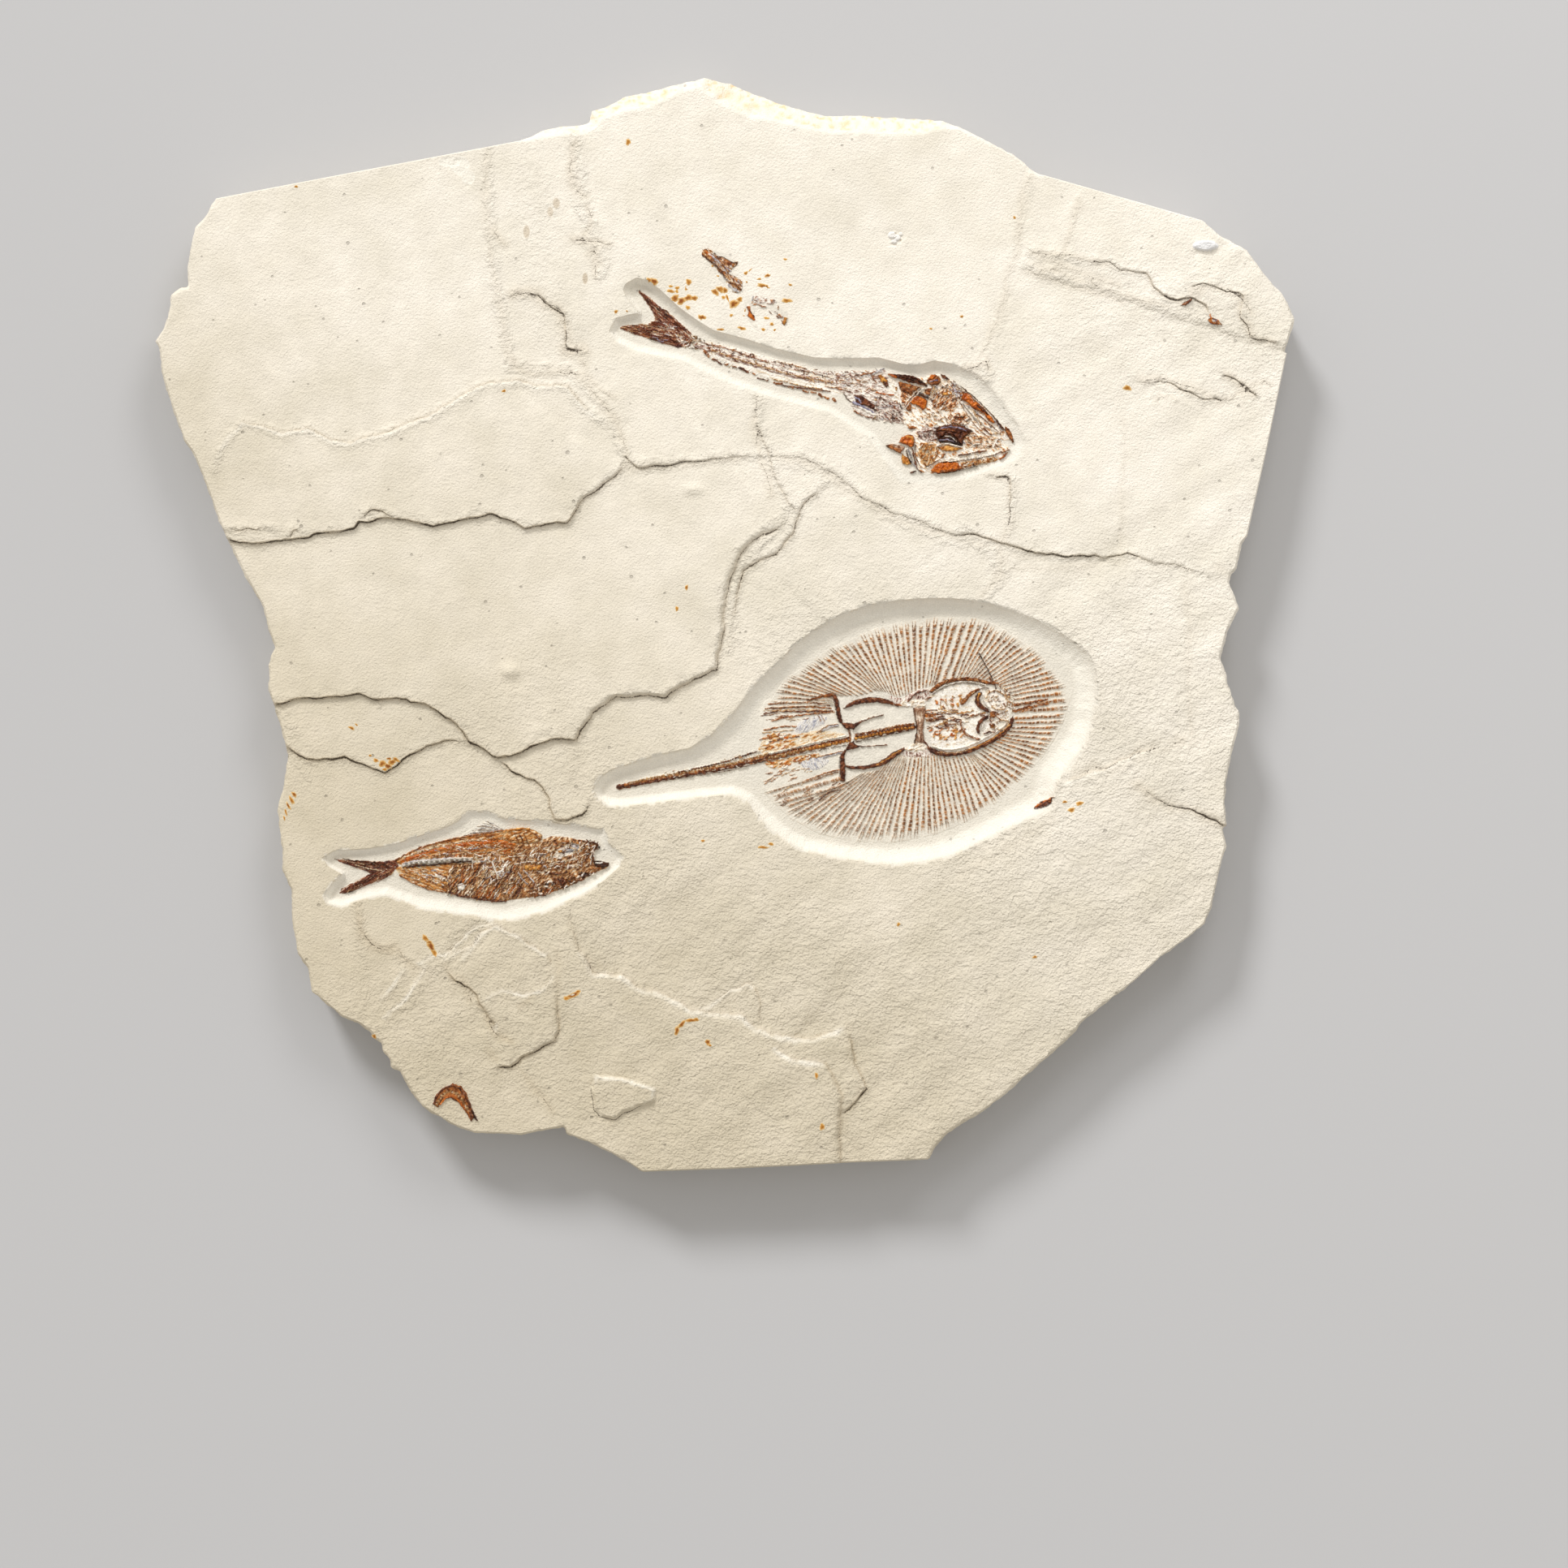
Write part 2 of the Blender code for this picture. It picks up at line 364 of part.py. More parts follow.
LONG_FISH = [
    (-43.5, 165.5), (-38.5, 162.0), (-31.5, 156.5), (-24.0, 151.0), (-18.5, 146.0),
    (-14.0, 140.5), (-3.0, 138.5), (14.0, 134.0), (31.0, 129.0), (42.5, 126.0), (53.0, 124.0),
    (70.5, 125.0), (78.0, 126.5), (90.0, 123.5), (98.0, 120.5), (103.0, 123.5), (107.0, 123.5),
    (113.5, 119.0), (123.0, 112.0), (131.0, 104.0), (138.0, 98.0), (142.5, 90.0),
    (136.5, 92.0), (136.5, 88.0), (140.0, 86.0), (136.0, 81.5), (116.5, 76.0), (98.5, 73.5),
    (90.5, 75.0), (87.0, 82.5), (78.5, 88.0), (85.5, 90.0), (91.0, 93.5), (94.0, 95.5),
    (89.0, 99.0), (74.0, 101.5), (61.5, 106.5), (54.0, 110.5), (39.0, 115.0), (21.0, 120.0),
    (11.0, 124.5), (-6.0, 130.0), (-13.0, 135.5), (-26.0, 137.0), (-43.0, 142.0),
    (-52.0, 145.5), (-52.0, 147.0), (-39.0, 148.0), (-35.0, 150.0), (-40.0, 157.0),
]
LONG_FISH_BARS = [
    (1.6, 1.0, [(-18.0, 143.0), (-2.0, 134.5), (26.5, 125.5), (46.5, 121.0), (66.0, 117.0)]),
    (0.9, 0.8, [(-41.5, 163.0), (-29.0, 151.0), (-19.5, 144.5)]),
    (0.9, 0.8, [(-49.5, 146.0), (-34.0, 144.5), (-19.5, 142.0)]),
    (1.0, 1.2, [(114.0, 117.5), (126.0, 107.0), (141.0, 91.5)]),
    (1.0, 1.2, [(106.0, 80.0), (122.0, 81.5), (138.0, 85.5)]),
]
# Raised plates: height, corner points.
LONG_FISH_PLATES = [
    (1.4, [(80.0, 123.5), (90.0, 123.0), (95.0, 121.0), (98.5, 118.0), (92.0, 118.5)]),
    (1.2, [(85.0, 119.5), (96.5, 117.0), (90.0, 108.5)]),
    (1.2, [(90.5, 111.0), (97.0, 112.5), (99.5, 106.5), (94.0, 104.5)]),
    (1.4, [(100.0, 122.0), (106.0, 122.0), (107.5, 118.0), (100.5, 117.5)]),
    (1.4, [(118.0, 115.0), (122.0, 113.0), (133.0, 102.0), (131.5, 100.5), (117.5, 110.5)]),
    (1.4, [(101.5, 76.5), (106.0, 79.5), (115.5, 79.5), (116.5, 77.0), (102.0, 74.5)]),
    (1.4, [(84.0, 90.0), (87.5, 92.0), (91.0, 93.0), (93.0, 91.0), (92.5, 88.5)]),
    (1.2, [(104.0, 97.5), (112.0, 97.0), (119.0, 96.5), (117.0, 90.5), (108.0, 92.5)]),
    (0.9, [(63.0, 112.0), (75.0, 109.0), (77.0, 103.5), (62.5, 107.5)]),
]

DEEP_FISH = [
    (-193.0, -115.5), (-177.0, -116.5), (-164.5, -115.5), (-154.5, -112.5), (-145.5, -108.5),
    (-132.0, -105.5), (-124.5, -100.5), (-117.5, -97.5), (-109.0, -101.5), (-97.5, -101.0),
    (-89.5, -105.0), (-82.0, -103.5), (-71.0, -107.0), (-63.0, -107.5), (-62.0, -109.0),
    (-65.0, -112.5), (-65.5, -115.5), (-58.0, -117.0), (-57.5, -118.5), (-62.5, -123.0),
    (-73.0, -128.0), (-85.5, -132.5), (-100.5, -135.5), (-113.5, -137.0), (-125.0, -135.5),
    (-139.5, -132.0), (-148.0, -132.5), (-155.5, -127.0), (-165.5, -124.0), (-179.5, -129.5),
    (-190.5, -132.5), (-183.0, -126.0), (-180.0, -123.0), (-189.0, -118.5),
]
DEEP_FISH_BARS = [
    (1.3, 1.2, [(-161.0, -119.5), (-142.0, -119.0), (-125.0, -117.5), (-105.0, -118.0)]),
    (0.8, 0.8, [(-190.5, -117.0), (-176.0, -119.5), (-163.0, -119.5)]),
    (0.8, 0.8, [(-187.5, -130.5), (-176.0, -124.0), (-163.0, -120.5)]),
    (0.8, 0.8, [(-148.0, -112.5), (-128.0, -107.5), (-104.0, -104.0)]),
]
DEEP_FISH_RIB_FEET = [(-142.0, -129.0), (-134.0, -131.0), (-126.0, -132.5), (-118.0, -133.0), (-110.0, -133.0)]
DEEP_FISH_RIB = (7.5, 11.0)  # from a rib's foot to its head
DEEP_FISH_PLATES = [
    (1.3, [(-98.0, -104.0), (-92.5, -106.5), (-92.0, -116.0), (-99.0, -125.0), (-104.0, -112.0)]),
    (1.0, [(-86.0, -107.5), (-76.0, -109.5), (-70.0, -113.5), (-84.0, -116.0)]),
    (1.2, [(-86.0, -119.0), (-70.0, -117.0), (-64.5, -121.0), (-76.0, -126.5), (-86.0, -127.0)]),
]

CURLED_FISH = [
    (-141.5, -238.5), (-144.5, -236.5), (-142.5, -231.5), (-139.5, -228.5), (-134.5, -226.0),
    (-130.0, -227.5), (-127.0, -231.5), (-124.5, -238.5), (-121.5, -245.5), (-124.5, -243.5),
    (-125.5, -246.0), (-128.0, -240.5), (-131.5, -236.0), (-135.5, -233.5), (-139.5, -235.0),
]
LOOSE_JAW = [
    (-11.5, 185.0), (-8.0, 186.5), (1.5, 182.0), (6.5, 178.5), (5.0, 175.5), (-1.0, 172.5),
    (3.5, 171.5), (8.0, 168.5), (7.5, 164.5), (2.5, 163.0), (-2.5, 168.5), (-7.0, 177.0),
    (-11.0, 181.5),
]
BONE_SCRAPS = [
    (9.5, 161.5), (14.5, 161.0), (24.5, 159.5), (25.5, 157.0), (31.0, 154.5), (31.5, 149.0),
    (28.5, 147.5), (26.0, 152.0), (20.5, 155.0), (15.5, 155.5), (13.5, 150.5), (17.5, 146.0),
    (15.0, 145.5), (9.0, 151.5),
]
CRACK_BONE_LEFT = [(222.0, 154.0), (225.5, 157.5), (230.0, 160.0), (231.5, 158.0), (226.5, 155.0)]
CRACK_BONE_RIGHT = [(238.0, 151.0), (240.5, 153.5), (245.5, 150.5), (247.5, 146.0), (240.0, 147.5)]
EDGE_BONE = [(151.0, -90.8), (158.0, -85.5), (162.0, -81.5), (164.5, -85.0), (158.0, -89.0)]
SMALL_BONE_CREST = 0.9


def principled(name, colour, roughness):
    """An sRGB colour as a plain Principled material."""
    material = bpy.data.materials.new(name)
    material.use_nodes = True
    linear = [(part / 255 / 12.92) if part < 11 else ((part / 255 + 0.055) / 1.055) ** 2.4 for part in colour]
    shader = material.node_tree.nodes["Principled BSDF"]
    shader.inputs["Base Color"].default_value = (*linear, 1.0)
    shader.inputs["Roughness"].default_value = roughness
    shader.inputs["Metallic"].default_value = 0.0
    material.diffuse_color = (*linear, 1.0)
    return material


def plane_points(line):
    return np.asarray([point[:2] for point in line], float)


def along_line(points, line, closed=False):
    """Each point's distance to each segment of a line, and its share along that segment."""
    starts = plane_points(line)
    ends = np.roll(starts, -1, 0)
    if not closed:
        starts, ends = starts[:-1], ends[:-1]
    runs = ends - starts
    away = points[:, None] - starts[None]
    share = np.clip((away * runs).sum(2) / (runs**2).sum(1), 0.0, 1.0)
    gap = away - share[..., None] * runs
    return np.hypot(gap[..., 0], gap[..., 1]), share


def left_normals(line, closed):
    """Unit normals to the left of the line, of its segments and of its points."""
    starts = plane_points(line)
    runs = np.roll(starts, -1, 0) - starts
    if not closed:
        runs = runs[:-1]
    normals = np.stack([-runs[:, 1], runs[:, 0]], 1) / np.hypot(*runs.T)[:, None]
    if closed:
        corners = normals + np.roll(normals, 1, 0)
    else:
        corners = np.vstack([normals[:1], normals[1:] + normals[:-1], normals[-1:]])
    return normals, corners / np.hypot(*corners.T)[:, None]


def signed_distance(points, line, closed=False):
    """Distance to a line, positive on its left, and the share of its length at the nearest place."""
    distances, shares = along_line(points, line, closed)
    segment = distances.argmin(1)
    rows = np.arange(len(points))
    distance, share = distances[rows, segment], shares[rows, segment]
    starts = plane_points(line)
    ends = np.roll(starts, -1, 0)
    normals, corners = left_normals(line, closed)
    nearest = starts[segment] + share[:, None] * (ends[segment] - starts[segment])
    normal = normals[segment]
    normal = np.where((share == 0.0)[:, None], corners[segment], normal)
    normal = np.where((share == 1.0)[:, None], corners[(segment + 1) % len(corners)], normal)
    side = np.where(((points - nearest) * normal).sum(1) < 0, -1.0, 1.0)
    lengths = np.hypot(*(ends - starts).T)[: len(normals)]
    before = np.concatenate([[0.0], np.cumsum(lengths)])
    return side * distance, (before[segment] + share * lengths[segment]) / before[-1]


def inside(points, outline):
    """Whether each point is inside a closed outline, by counting the sides crossed."""
    starts = plane_points(outline)
    ends = np.roll(starts, -1, 0)
    x, y = points[:, 0][:, None], points[:, 1][:, None]
    spans = (starts[:, 1] > y) != (ends[:, 1] > y)
    slope = (ends[:, 0] - starts[:, 0]) / np.where(ends[:, 1] == starts[:, 1], 1.0, ends[:, 1] - starts[:, 1])
    return ((spans & (x < starts[:, 0] + slope * (y - starts[:, 1]))).sum(1) % 2).astype(bool)


def moved_aside(line, distances, closed):
    """The line moved to its left by a distance for each point, less the points that fold over."""
    corners = left_normals(line, closed)[1]
    distances = np.broadcast_to(distances, len(line))
    moved = plane_points(line) + corners * distances[:, None]
    clear = along_line(moved, line, closed)[0].min(1) >= 0.8 * np.abs(distances)
    return [tuple(point) if good else None for point, good in zip(moved, clear)]


def slope_share(points, loop):
    """How far each point is across the slope that runs along a loop of x, y, width, and its width."""
    widths = np.array([point[2] for point in loop])
    distances, shares = along_line(points, loop, True)
    width = widths + shares * (np.roll(widths, -1) - widths)
    nearest = (distances / width).argmin(1)
    rows = np.arange(len(points))
    width = width[rows, nearest]
    return np.clip(distances[rows, nearest] / width, 0.0, 1.0), width


def ray_floor(points):
    return np.full(len(points), THICKNESS - RAY_DEPTH)


def deep_fish_floor(points):
    return np.full(len(points), THICKNESS - DEEP_FISH_DEPTH)


def long_fish_floor(points):
    """A flat floor that rises towards the snout and towards the fish's belly."""
    tail, snout = np.array(LONG_FISH_TAIL), np.array(LONG_FISH_SNOUT)
    axis = (snout - tail) / np.hypot(*(snout - tail))
    upward = np.array([-axis[1], axis[0]])
    share = (points - tail) @ axis / np.hypot(*(snout - tail))
    depth = LONG_FISH_DEPTHS[0] + (LONG_FISH_DEPTHS[1] - LONG_FISH_DEPTHS[0]) * share
    return THICKNESS - depth - LONG_FISH_SIDE_TILT * ((points - tail) @ upward)


RECESSES = [(RAY_RIM, ray_floor), (DEEP_FISH_RIM, deep_fish_floor), (LONG_FISH_RIM, long_fish_floor)]


def swell(points):
    """The face's slow waves, under half a millimetre high."""
    x, y = points[:, 0], points[:, 1]
    return (
        0.30 * np.sin(x / 61.0 + 0.7) * np.cos(y / 74.0 - 0.4)
        + 0.18 * np.sin(x / 33.0 - y / 41.0)
    )


def sheet_height(points):
    """The face with its ledges and bumps, before the recesses are cut."""
    height = THICKNESS + swell(points)
    for ledge in LEDGES.values():
        distance, share = signed_distance(points, ledge["line"])
        rise = np.interp(share, *zip(*ledge["rise"]))
        ramp = np.interp(share, *zip(*ledge["ramp"]))
        fade = np.exp(-((distance / ledge["reach"]) ** 2))
        height += rise * np.clip(distance / ramp, -0.5, 0.5) * fade
    height += FLAKE_RISE * np.clip(signed_distance(points, FLAKE, True)[0] / FLAKE_RAMP + 0.5, 0.0, 1.0)
    for x, y, half_length, half_width, bump in BUMPS:
        span = ((points[:, 0] - x) / half_length) ** 2 + ((points[:, 1] - y) / half_width) ** 2
        height += bump * np.clip(1.0 - span, 0.0, 1.0)
    return height


def bevel_drop(width):
    """How far the broken edge falls across a bevel of this width."""
    return np.minimum(0.8 + 0.8 * width, 14.0)


def face_height(points):
    """The finished face: sheets, recesses and the bevel along the outline."""
    height = sheet_height(points)
    for rim, floor in RECESSES:
        wall = 1.0 - (1.0 - slope_share(points, rim)[0]) ** 1.6
        cut = np.maximum(height - floor(points), 0.15)
        height = np.where(inside(points, rim), height - cut * wall, height)
    share, width = slope_share(points, OUTLINE)
    return height - bevel_drop(width) * (1.0 - share)


def triangulated(outline, creases, fill):
    """A flat triangulation inside the outline that keeps the creases: points, triangles."""
    points = [tuple(point[:2]) for point in outline]
    count = len(points)
    edges = []
    for crease in creases:
        for start, end in zip(crease, crease[1:]):
            if start is None or end is None:
                continue
            edges.append((len(points), len(points) + 1))
            points += [tuple(start[:2]), tuple(end[:2])]
    points += [tuple(point) for point in fill]
    found = delaunay_2d_cdt(points, edges, [list(range(count))], 1, 1e-4)
    return np.array([tuple(point) for point in found[0]]), [tuple(face) for face in found[2]]


def border(faces):
    """The points along the triangulation's border, in order."""
    sides = {}
    for face in faces:
        for start, end in zip(face, face[1:] + face[:1]):
            sides[(start, end)] = True
    following = {start: end for start, end in sides if (end, start) not in sides}
    loop = [next(iter(following))]
    while following[loop[-1]] != loop[0]:
        loop.append(following[loop[-1]])
    return loop


def closed_solid(name, top, faces, rings, material):
    """A solid with a modelled top, the rings of its side from top to bottom, and a flat underside."""
    loop = border(faces)
    points = [tuple(point) for point in top]
    quads = []
    upper = loop
    for ring in rings:
        lower = list(range(len(points), len(points) + len(ring)))
        points += [tuple(point) for point in ring]
        for i in range(len(upper)):
            j = (i + 1) % len(upper)
            quads.append((upper[i], lower[i], lower[j], upper[j]))
        upper = lower
    under_points, under_faces = triangulated(rings[-1], [], [])
    assert len(under_points) == len(rings[-1])
    under = [tuple(upper[i] for i in reversed(face)) for face in under_faces]
    mesh = bpy.data.meshes.new(name)
    mesh.from_pydata([[MM * part for part in point] for point in points], [], faces + quads + under)
    mesh.materials.append(material)
    body = bpy.data.objects.new(name, mesh)
    bpy.context.scene.collection.objects.link(body)
    return body


def fill_points(outline, creases, step, clearance):
    """A staggered grid inside the outline, clear of the outline and the creases."""
    edge = plane_points(outline)
    low, high = edge.min(0), edge.max(0)
    rows = np.arange(low[1], high[1], step * math.sqrt(0.75))
    grid = np.array([
        (x + (step / 2 if number % 2 else 0.0), y)
        for number, y in enumerate(rows)
        for x in np.arange(low[0], high[0], step)
    ])
    grid = grid[inside(grid, outline)]
    clear = along_line(grid, outline, True)[0].min(1) > clearance
    for crease in creases:
        for start, end in zip(crease, crease[1:]):
            if start is not None and end is not None and start != end:
                clear &= along_line(grid, [start, end])[0].min(1) > clearance
    return grid[clear]


def ledge_creases():
    """The upper and the lower line of every ledge, where they lie on open face."""
    creases = []
    for ledge in LEDGES.values():
        shares = signed_distance(plane_points(ledge["line"]), ledge["line"])[1]
        half = np.interp(shares, *zip(*ledge["ramp"])) / 2
        creases += [moved_aside(ledge["line"], side * half, False) for side in (1.0, -1.0)]
    for side in (0.5, -0.5):
        crease = moved_aside(FLAKE, side * FLAKE_RAMP, True)
        creases.append(crease + crease[:1])
    return [[open_face(point) for point in crease] for crease in creases]


def open_face(point):
    """The point, or None where a recess or the slab's edge is too near."""
    if point is None:
        return None
    spot = np.array([point])
    if not inside(spot, OUTLINE)[0] or along_line(spot, OUTLINE, True)[0].min() < CREASE_CLEARANCE:
        return None
    for rim, _ in RECESSES:
        if inside(spot, rim)[0] or along_line(spot, rim, True)[0].min() < CREASE_CLEARANCE:
            return None
    return point


def recess_creases():
    """Each recess's rim, the bend in its wall and the edge of its floor."""
    creases = []
    for rim, _ in RECESSES:
        widths = np.array([point[2] for point in rim])
        for share in (0.0, 0.45, 1.0):
            crease = moved_aside(rim, -share * widths, True)
            creases.append(crease + crease[:1])
    return creases


def make_slab():
    """The limestone slab, its outline broken and saw cut, its back flat."""
    bevel = moved_aside(OUTLINE, [-point[2] for point in OUTLINE], True)
    creases = ledge_creases() + recess_creases() + [bevel + bevel[:1]]
    fill = fill_points(OUTLINE, creases, GRID_STEP, 0.35 * GRID_STEP)
    flat, faces = triangulated(OUTLINE, creases, fill)
    top = np.column_stack([flat, face_height(flat)])
    edge = top[border(faces)]
    waist = edge * (1.0, 1.0, 0.0) + (0.0, 0.0, 0.4 * THICKNESS)
    back = edge * (BACK_SHRINK, BACK_SHRINK, 0.0)
    material = principled("limestone", (236, 228, 208), 0.9)
    return closed_solid("slab", top, faces, [waist, back], material)


def bar_creases(bars):
    """The crest and both feet of each raised bar."""
    creases = []
    for half_width, _, line in bars:
        creases += [moved_aside(line, side * half_width, False) for side in (1.0, 0.0, -1.0)]
    return creases


def plate_creases(plates, bevel):
    """The foot and the top edge of each raised plate."""
    creases = []
    for _, corners in plates:
        inner = moved_aside(corners, -bevel, True)
        creases += [corners + corners[:1], inner + inner[:1]]
    return creases


def relief(points, bars, plates, bevel):
    """How far the bars and plates stand above a fossil's base."""
    height = np.zeros(len(points))
    for half_width, rise, line in bars:
        distance = along_line(points, line)[0].min(1)
        height = np.maximum(height, rise * np.clip(1.0 - distance / half_width, 0.0, 1.0))
    for rise, corners in plates:
        depth = np.where(inside(points, corners), along_line(points, corners, True)[0].min(1), 0.0)
        height = np.maximum(height, rise * np.clip(depth / bevel, 0.0, 1.0))
    return height


def make_plate(name, outline, bars, plates, floor, material, step):
    """A fossil as a thin plate on its floor, with raised bars and plates fused to it."""
    bevel = 0.8
    creases = bar_creases(bars) + plate_creases(plates, bevel)
    creases = [
        [point if point is not None and inside(np.array([point]), outline)[0] else None for point in crease]
        for crease in creases
    ]
    fill = fill_points(outline, creases, step, 0.4 * step)
    flat, faces = triangulated(outline, creases, fill)
    depth = along_line(flat, outline, True)[0].min(1)
    crown = PLATE_RIM * (1.0 + 0.9 * np.clip(depth / (1.2 * step), 0.0, 1.0))
    inward = np.clip(depth / bevel, 0.0, 1.0)
    base = floor(flat) + FIT_GAP
    top = np.column_stack([flat, base + crown + inward * relief(flat, bars, plates, bevel)])
    edge = flat[border(faces)]
    under = np.column_stack([edge, floor(edge) + FIT_GAP])
    return closed_solid(name, top, faces, [under], material)


def deep_fish_ribs():
    """Slanted ribs across the belly, all alike."""
    return [
        (0.9, 0.9, [foot, (foot[0] + DEEP_FISH_RIB[0], foot[1] + DEEP_FISH_RIB[1])])
        for foot in DEEP_FISH_RIB_FEET
    ]


def fin_rays():
    """Every fin ray, as root and tip, spaced evenly between the ones in FIN_RAYS."""
    rays = []
    for first, second in zip(FIN_RAYS, FIN_RAYS[1:]):
        first, second = np.array(first), np.array(second)
        steps = max(1, round(math.dist(first[2:], second[2:]) / RAY_PITCH))
        rays += [first + (second - first) * step / steps for step in range(steps)]
    rays.append(np.array(FIN_RAYS[-1]))
    return rays


def make_ray():
    """The ray: a disc of fused fin rays with a comb edge, its girdles, jaws and tail."""
    valley_reach, crest, valley = 0.86, 1.1, 0.35
    outline, heights = [], []
    creases, crease_heights = [], []
    rays = fin_rays()
    for number, ray in enumerate(rays):
        root, tip = ray[:2], ray[2:]
        outline.append(tuple(tip))
        heights.append(valley)
        middle = root + (tip - root) * 0.72
        creases.append([tuple(root), tuple(middle), tuple(tip)])
        crease_heights.append([valley, crest, valley])
        if number + 1 < len(rays):
            between = (ray + rays[number + 1]) / 2
            notch = between[:2] + (between[2:] - between[:2]) * valley_reach
            outline.append(tuple(notch))
            heights.append(0.0)
            creases.append([tuple(between[:2]), tuple(notch)])
            crease_heights.append([valley, 0.0])
    outline += RAY_TAIL
    heights += [0.0] * len(RAY_TAIL)
    known = dict(zip(outline, heights))
    for crease, levels in zip(creases, crease_heights):
        known.update(zip(crease, levels))
    creases += [
        [point if point is not None and inside(np.array([point]), outline)[0] else None for point in crease]
        for crease in bar_creases(RAY_BARS)
    ]
    fill = fill_points(outline, creases, 9.0, 3.5)
    flat, faces = triangulated(outline, creases, fill)
    spots = np.array(list(known))
    levels = np.array(list(known.values()))
    gaps = np.hypot(*(flat[:, None] - spots[None]).transpose(2, 0, 1))
    nearest = gaps.argmin(1)
    fan = np.where(gaps.min(1) < 0.01, levels[nearest], valley)
    rise = PLATE_RIM + np.maximum(fan, relief(flat, RAY_BARS, [], 1.0))
    top = np.column_stack([flat, ray_floor(flat) + FIT_GAP + rise])
    edge = flat[border(faces)]
    under = np.column_stack([edge, ray_floor(edge) + FIT_GAP])
    return closed_solid("ray_fossil", top, faces, [under], principled("ray_cartilage", (150, 92, 52), 0.5))


def make_small_bone(name, outline, colour):
    """A loose bone as a crested plate, lying just clear of the face on the plane that fits it best."""
    edge = plane_points(outline)
    between = (edge + np.roll(edge, 1, 0)) / 2
    around = np.vstack([edge, between, (edge + edge.mean(0)) / 2, edge.mean(0)[None]])
    heights = face_height(around)
    plane = np.linalg.lstsq(np.column_stack([around, np.ones(len(around))]), heights, rcond=None)[0]
    clear = (heights - around @ plane[:2] - plane[2]).max()

    def floor(points):
        return points @ plane[:2] + plane[2] + clear

    centre = edge.mean(0)
    spread = edge - centre
    axis = np.linalg.svd(spread, full_matrices=False)[2][0]
    reach = 0.6 * np.abs(spread @ axis).max()
    ridge = [tuple(centre - reach * axis), tuple(centre), tuple(centre + reach * axis)]
    bars = [(1.3, SMALL_BONE_CREST, ridge)]
    return make_plate(name, outline, bars, [], floor, principled(name + "_bone", colour, 0.45), 5.0)


def main():
    for old in list(bpy.data.objects):
        bpy.data.objects.remove(old, do_unlink=True)
    make_slab()
    make_ray()
    make_plate(
        "long_fish_fossil", LONG_FISH, LONG_FISH_BARS, LONG_FISH_PLATES, long_fish_floor,
        principled("long_fish_bone", (160, 84, 40), 0.35), 8.0,
    )
    make_plate(
        "deep_fish_fossil", DEEP_FISH, DEEP_FISH_BARS + deep_fish_ribs(), DEEP_FISH_PLATES, deep_fish_floor,
        principled("deep_fish_bone", (150, 98, 58), 0.4), 8.0,
    )
    make_small_bone("curled_fish_fossil", CURLED_FISH, (122, 70, 34))
    make_small_bone("loose_jaw_bone", LOOSE_JAW, (132, 74, 48))
    make_small_bone("scattered_bone", BONE_SCRAPS, (170, 104, 52))
    make_small_bone("crack_bone_left", CRACK_BONE_LEFT, (130, 74, 50))
    make_small_bone("crack_bone_right", CRACK_BONE_RIGHT, (150, 100, 80))
    make_small_bone("edge_bone", EDGE_BONE, (150, 92, 62))


main()
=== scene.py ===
"""The look of the fossil slab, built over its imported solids: broken limestone with bedding
ledges and cracks, three carved recesses, and the fossils in them.

Lengths in the tables and in the mesh code are millimetres, colours are levels of 0 to 255. The
tables hold what was measured: the outline, ledges, cracks, rims, bones and flecks. Everything
between them, such as grain, wear and fibres, is noise."""

import math
import random

import bpy
import numpy as np
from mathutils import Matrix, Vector
from mathutils.geometry import delaunay_2d_cdt
from mathutils.kdtree import KDTree


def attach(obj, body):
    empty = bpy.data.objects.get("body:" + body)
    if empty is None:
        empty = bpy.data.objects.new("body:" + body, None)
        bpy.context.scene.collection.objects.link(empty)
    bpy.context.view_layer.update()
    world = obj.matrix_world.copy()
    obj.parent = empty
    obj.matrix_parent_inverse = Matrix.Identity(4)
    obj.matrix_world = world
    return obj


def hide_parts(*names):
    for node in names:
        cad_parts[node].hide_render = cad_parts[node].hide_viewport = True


MM = 0.001
THICKNESS = 28.0
# The box of the solids: half its length and height, and a little less than its top.
HALF_LENGTH, HALF_HEIGHT = 281.0, 270.0
HIGHEST = 30.4
RAY_DEPTH = 6.0
DEEP_FISH_DEPTH = 4.0
# The long fish's floor rises from its tail to its snout, and towards its belly.
LONG_FISH_TAIL = (-43.0, 160.0)
LONG_FISH_SNOUT = (137.0, 91.0)
LONG_FISH_DEPTHS = (4.2, 1.7)
LONG_FISH_SIDE_TILT = 0.075

# The slab's mesh: points along its edges, on the open face, and close to what bends.
EDGE_SPACING = 1.3
COARSE_GRID = 2.5
DENSE_GRID = 1.12
DENSE_REACH = 3.2
# A bevel narrower than this marks a sawn stretch of the outline.
SAWN_BEVEL = 0.9
# The levels of the rings down the sides, from 1 at the face to 0 at the back.
SIDE_LEVELS = (0.88, 0.76, 0.6, 0.42, 0.24, 0.08, 0.0)
# From this distance outside a crack's or a ledge's line its painted shadow line no longer shows.
SHADOW_LINE_REACH = 2.4

# The fan: the pitch of the rays' tips, the grid across and along each ray, the joints.
RAY_PITCH = 3.4
FAN_OFFSETS = (-0.5, -0.34, -0.2, -0.07, 0.07, 0.2, 0.34)
FAN_ROWS = 112
JOINT_SPACING = 2.1

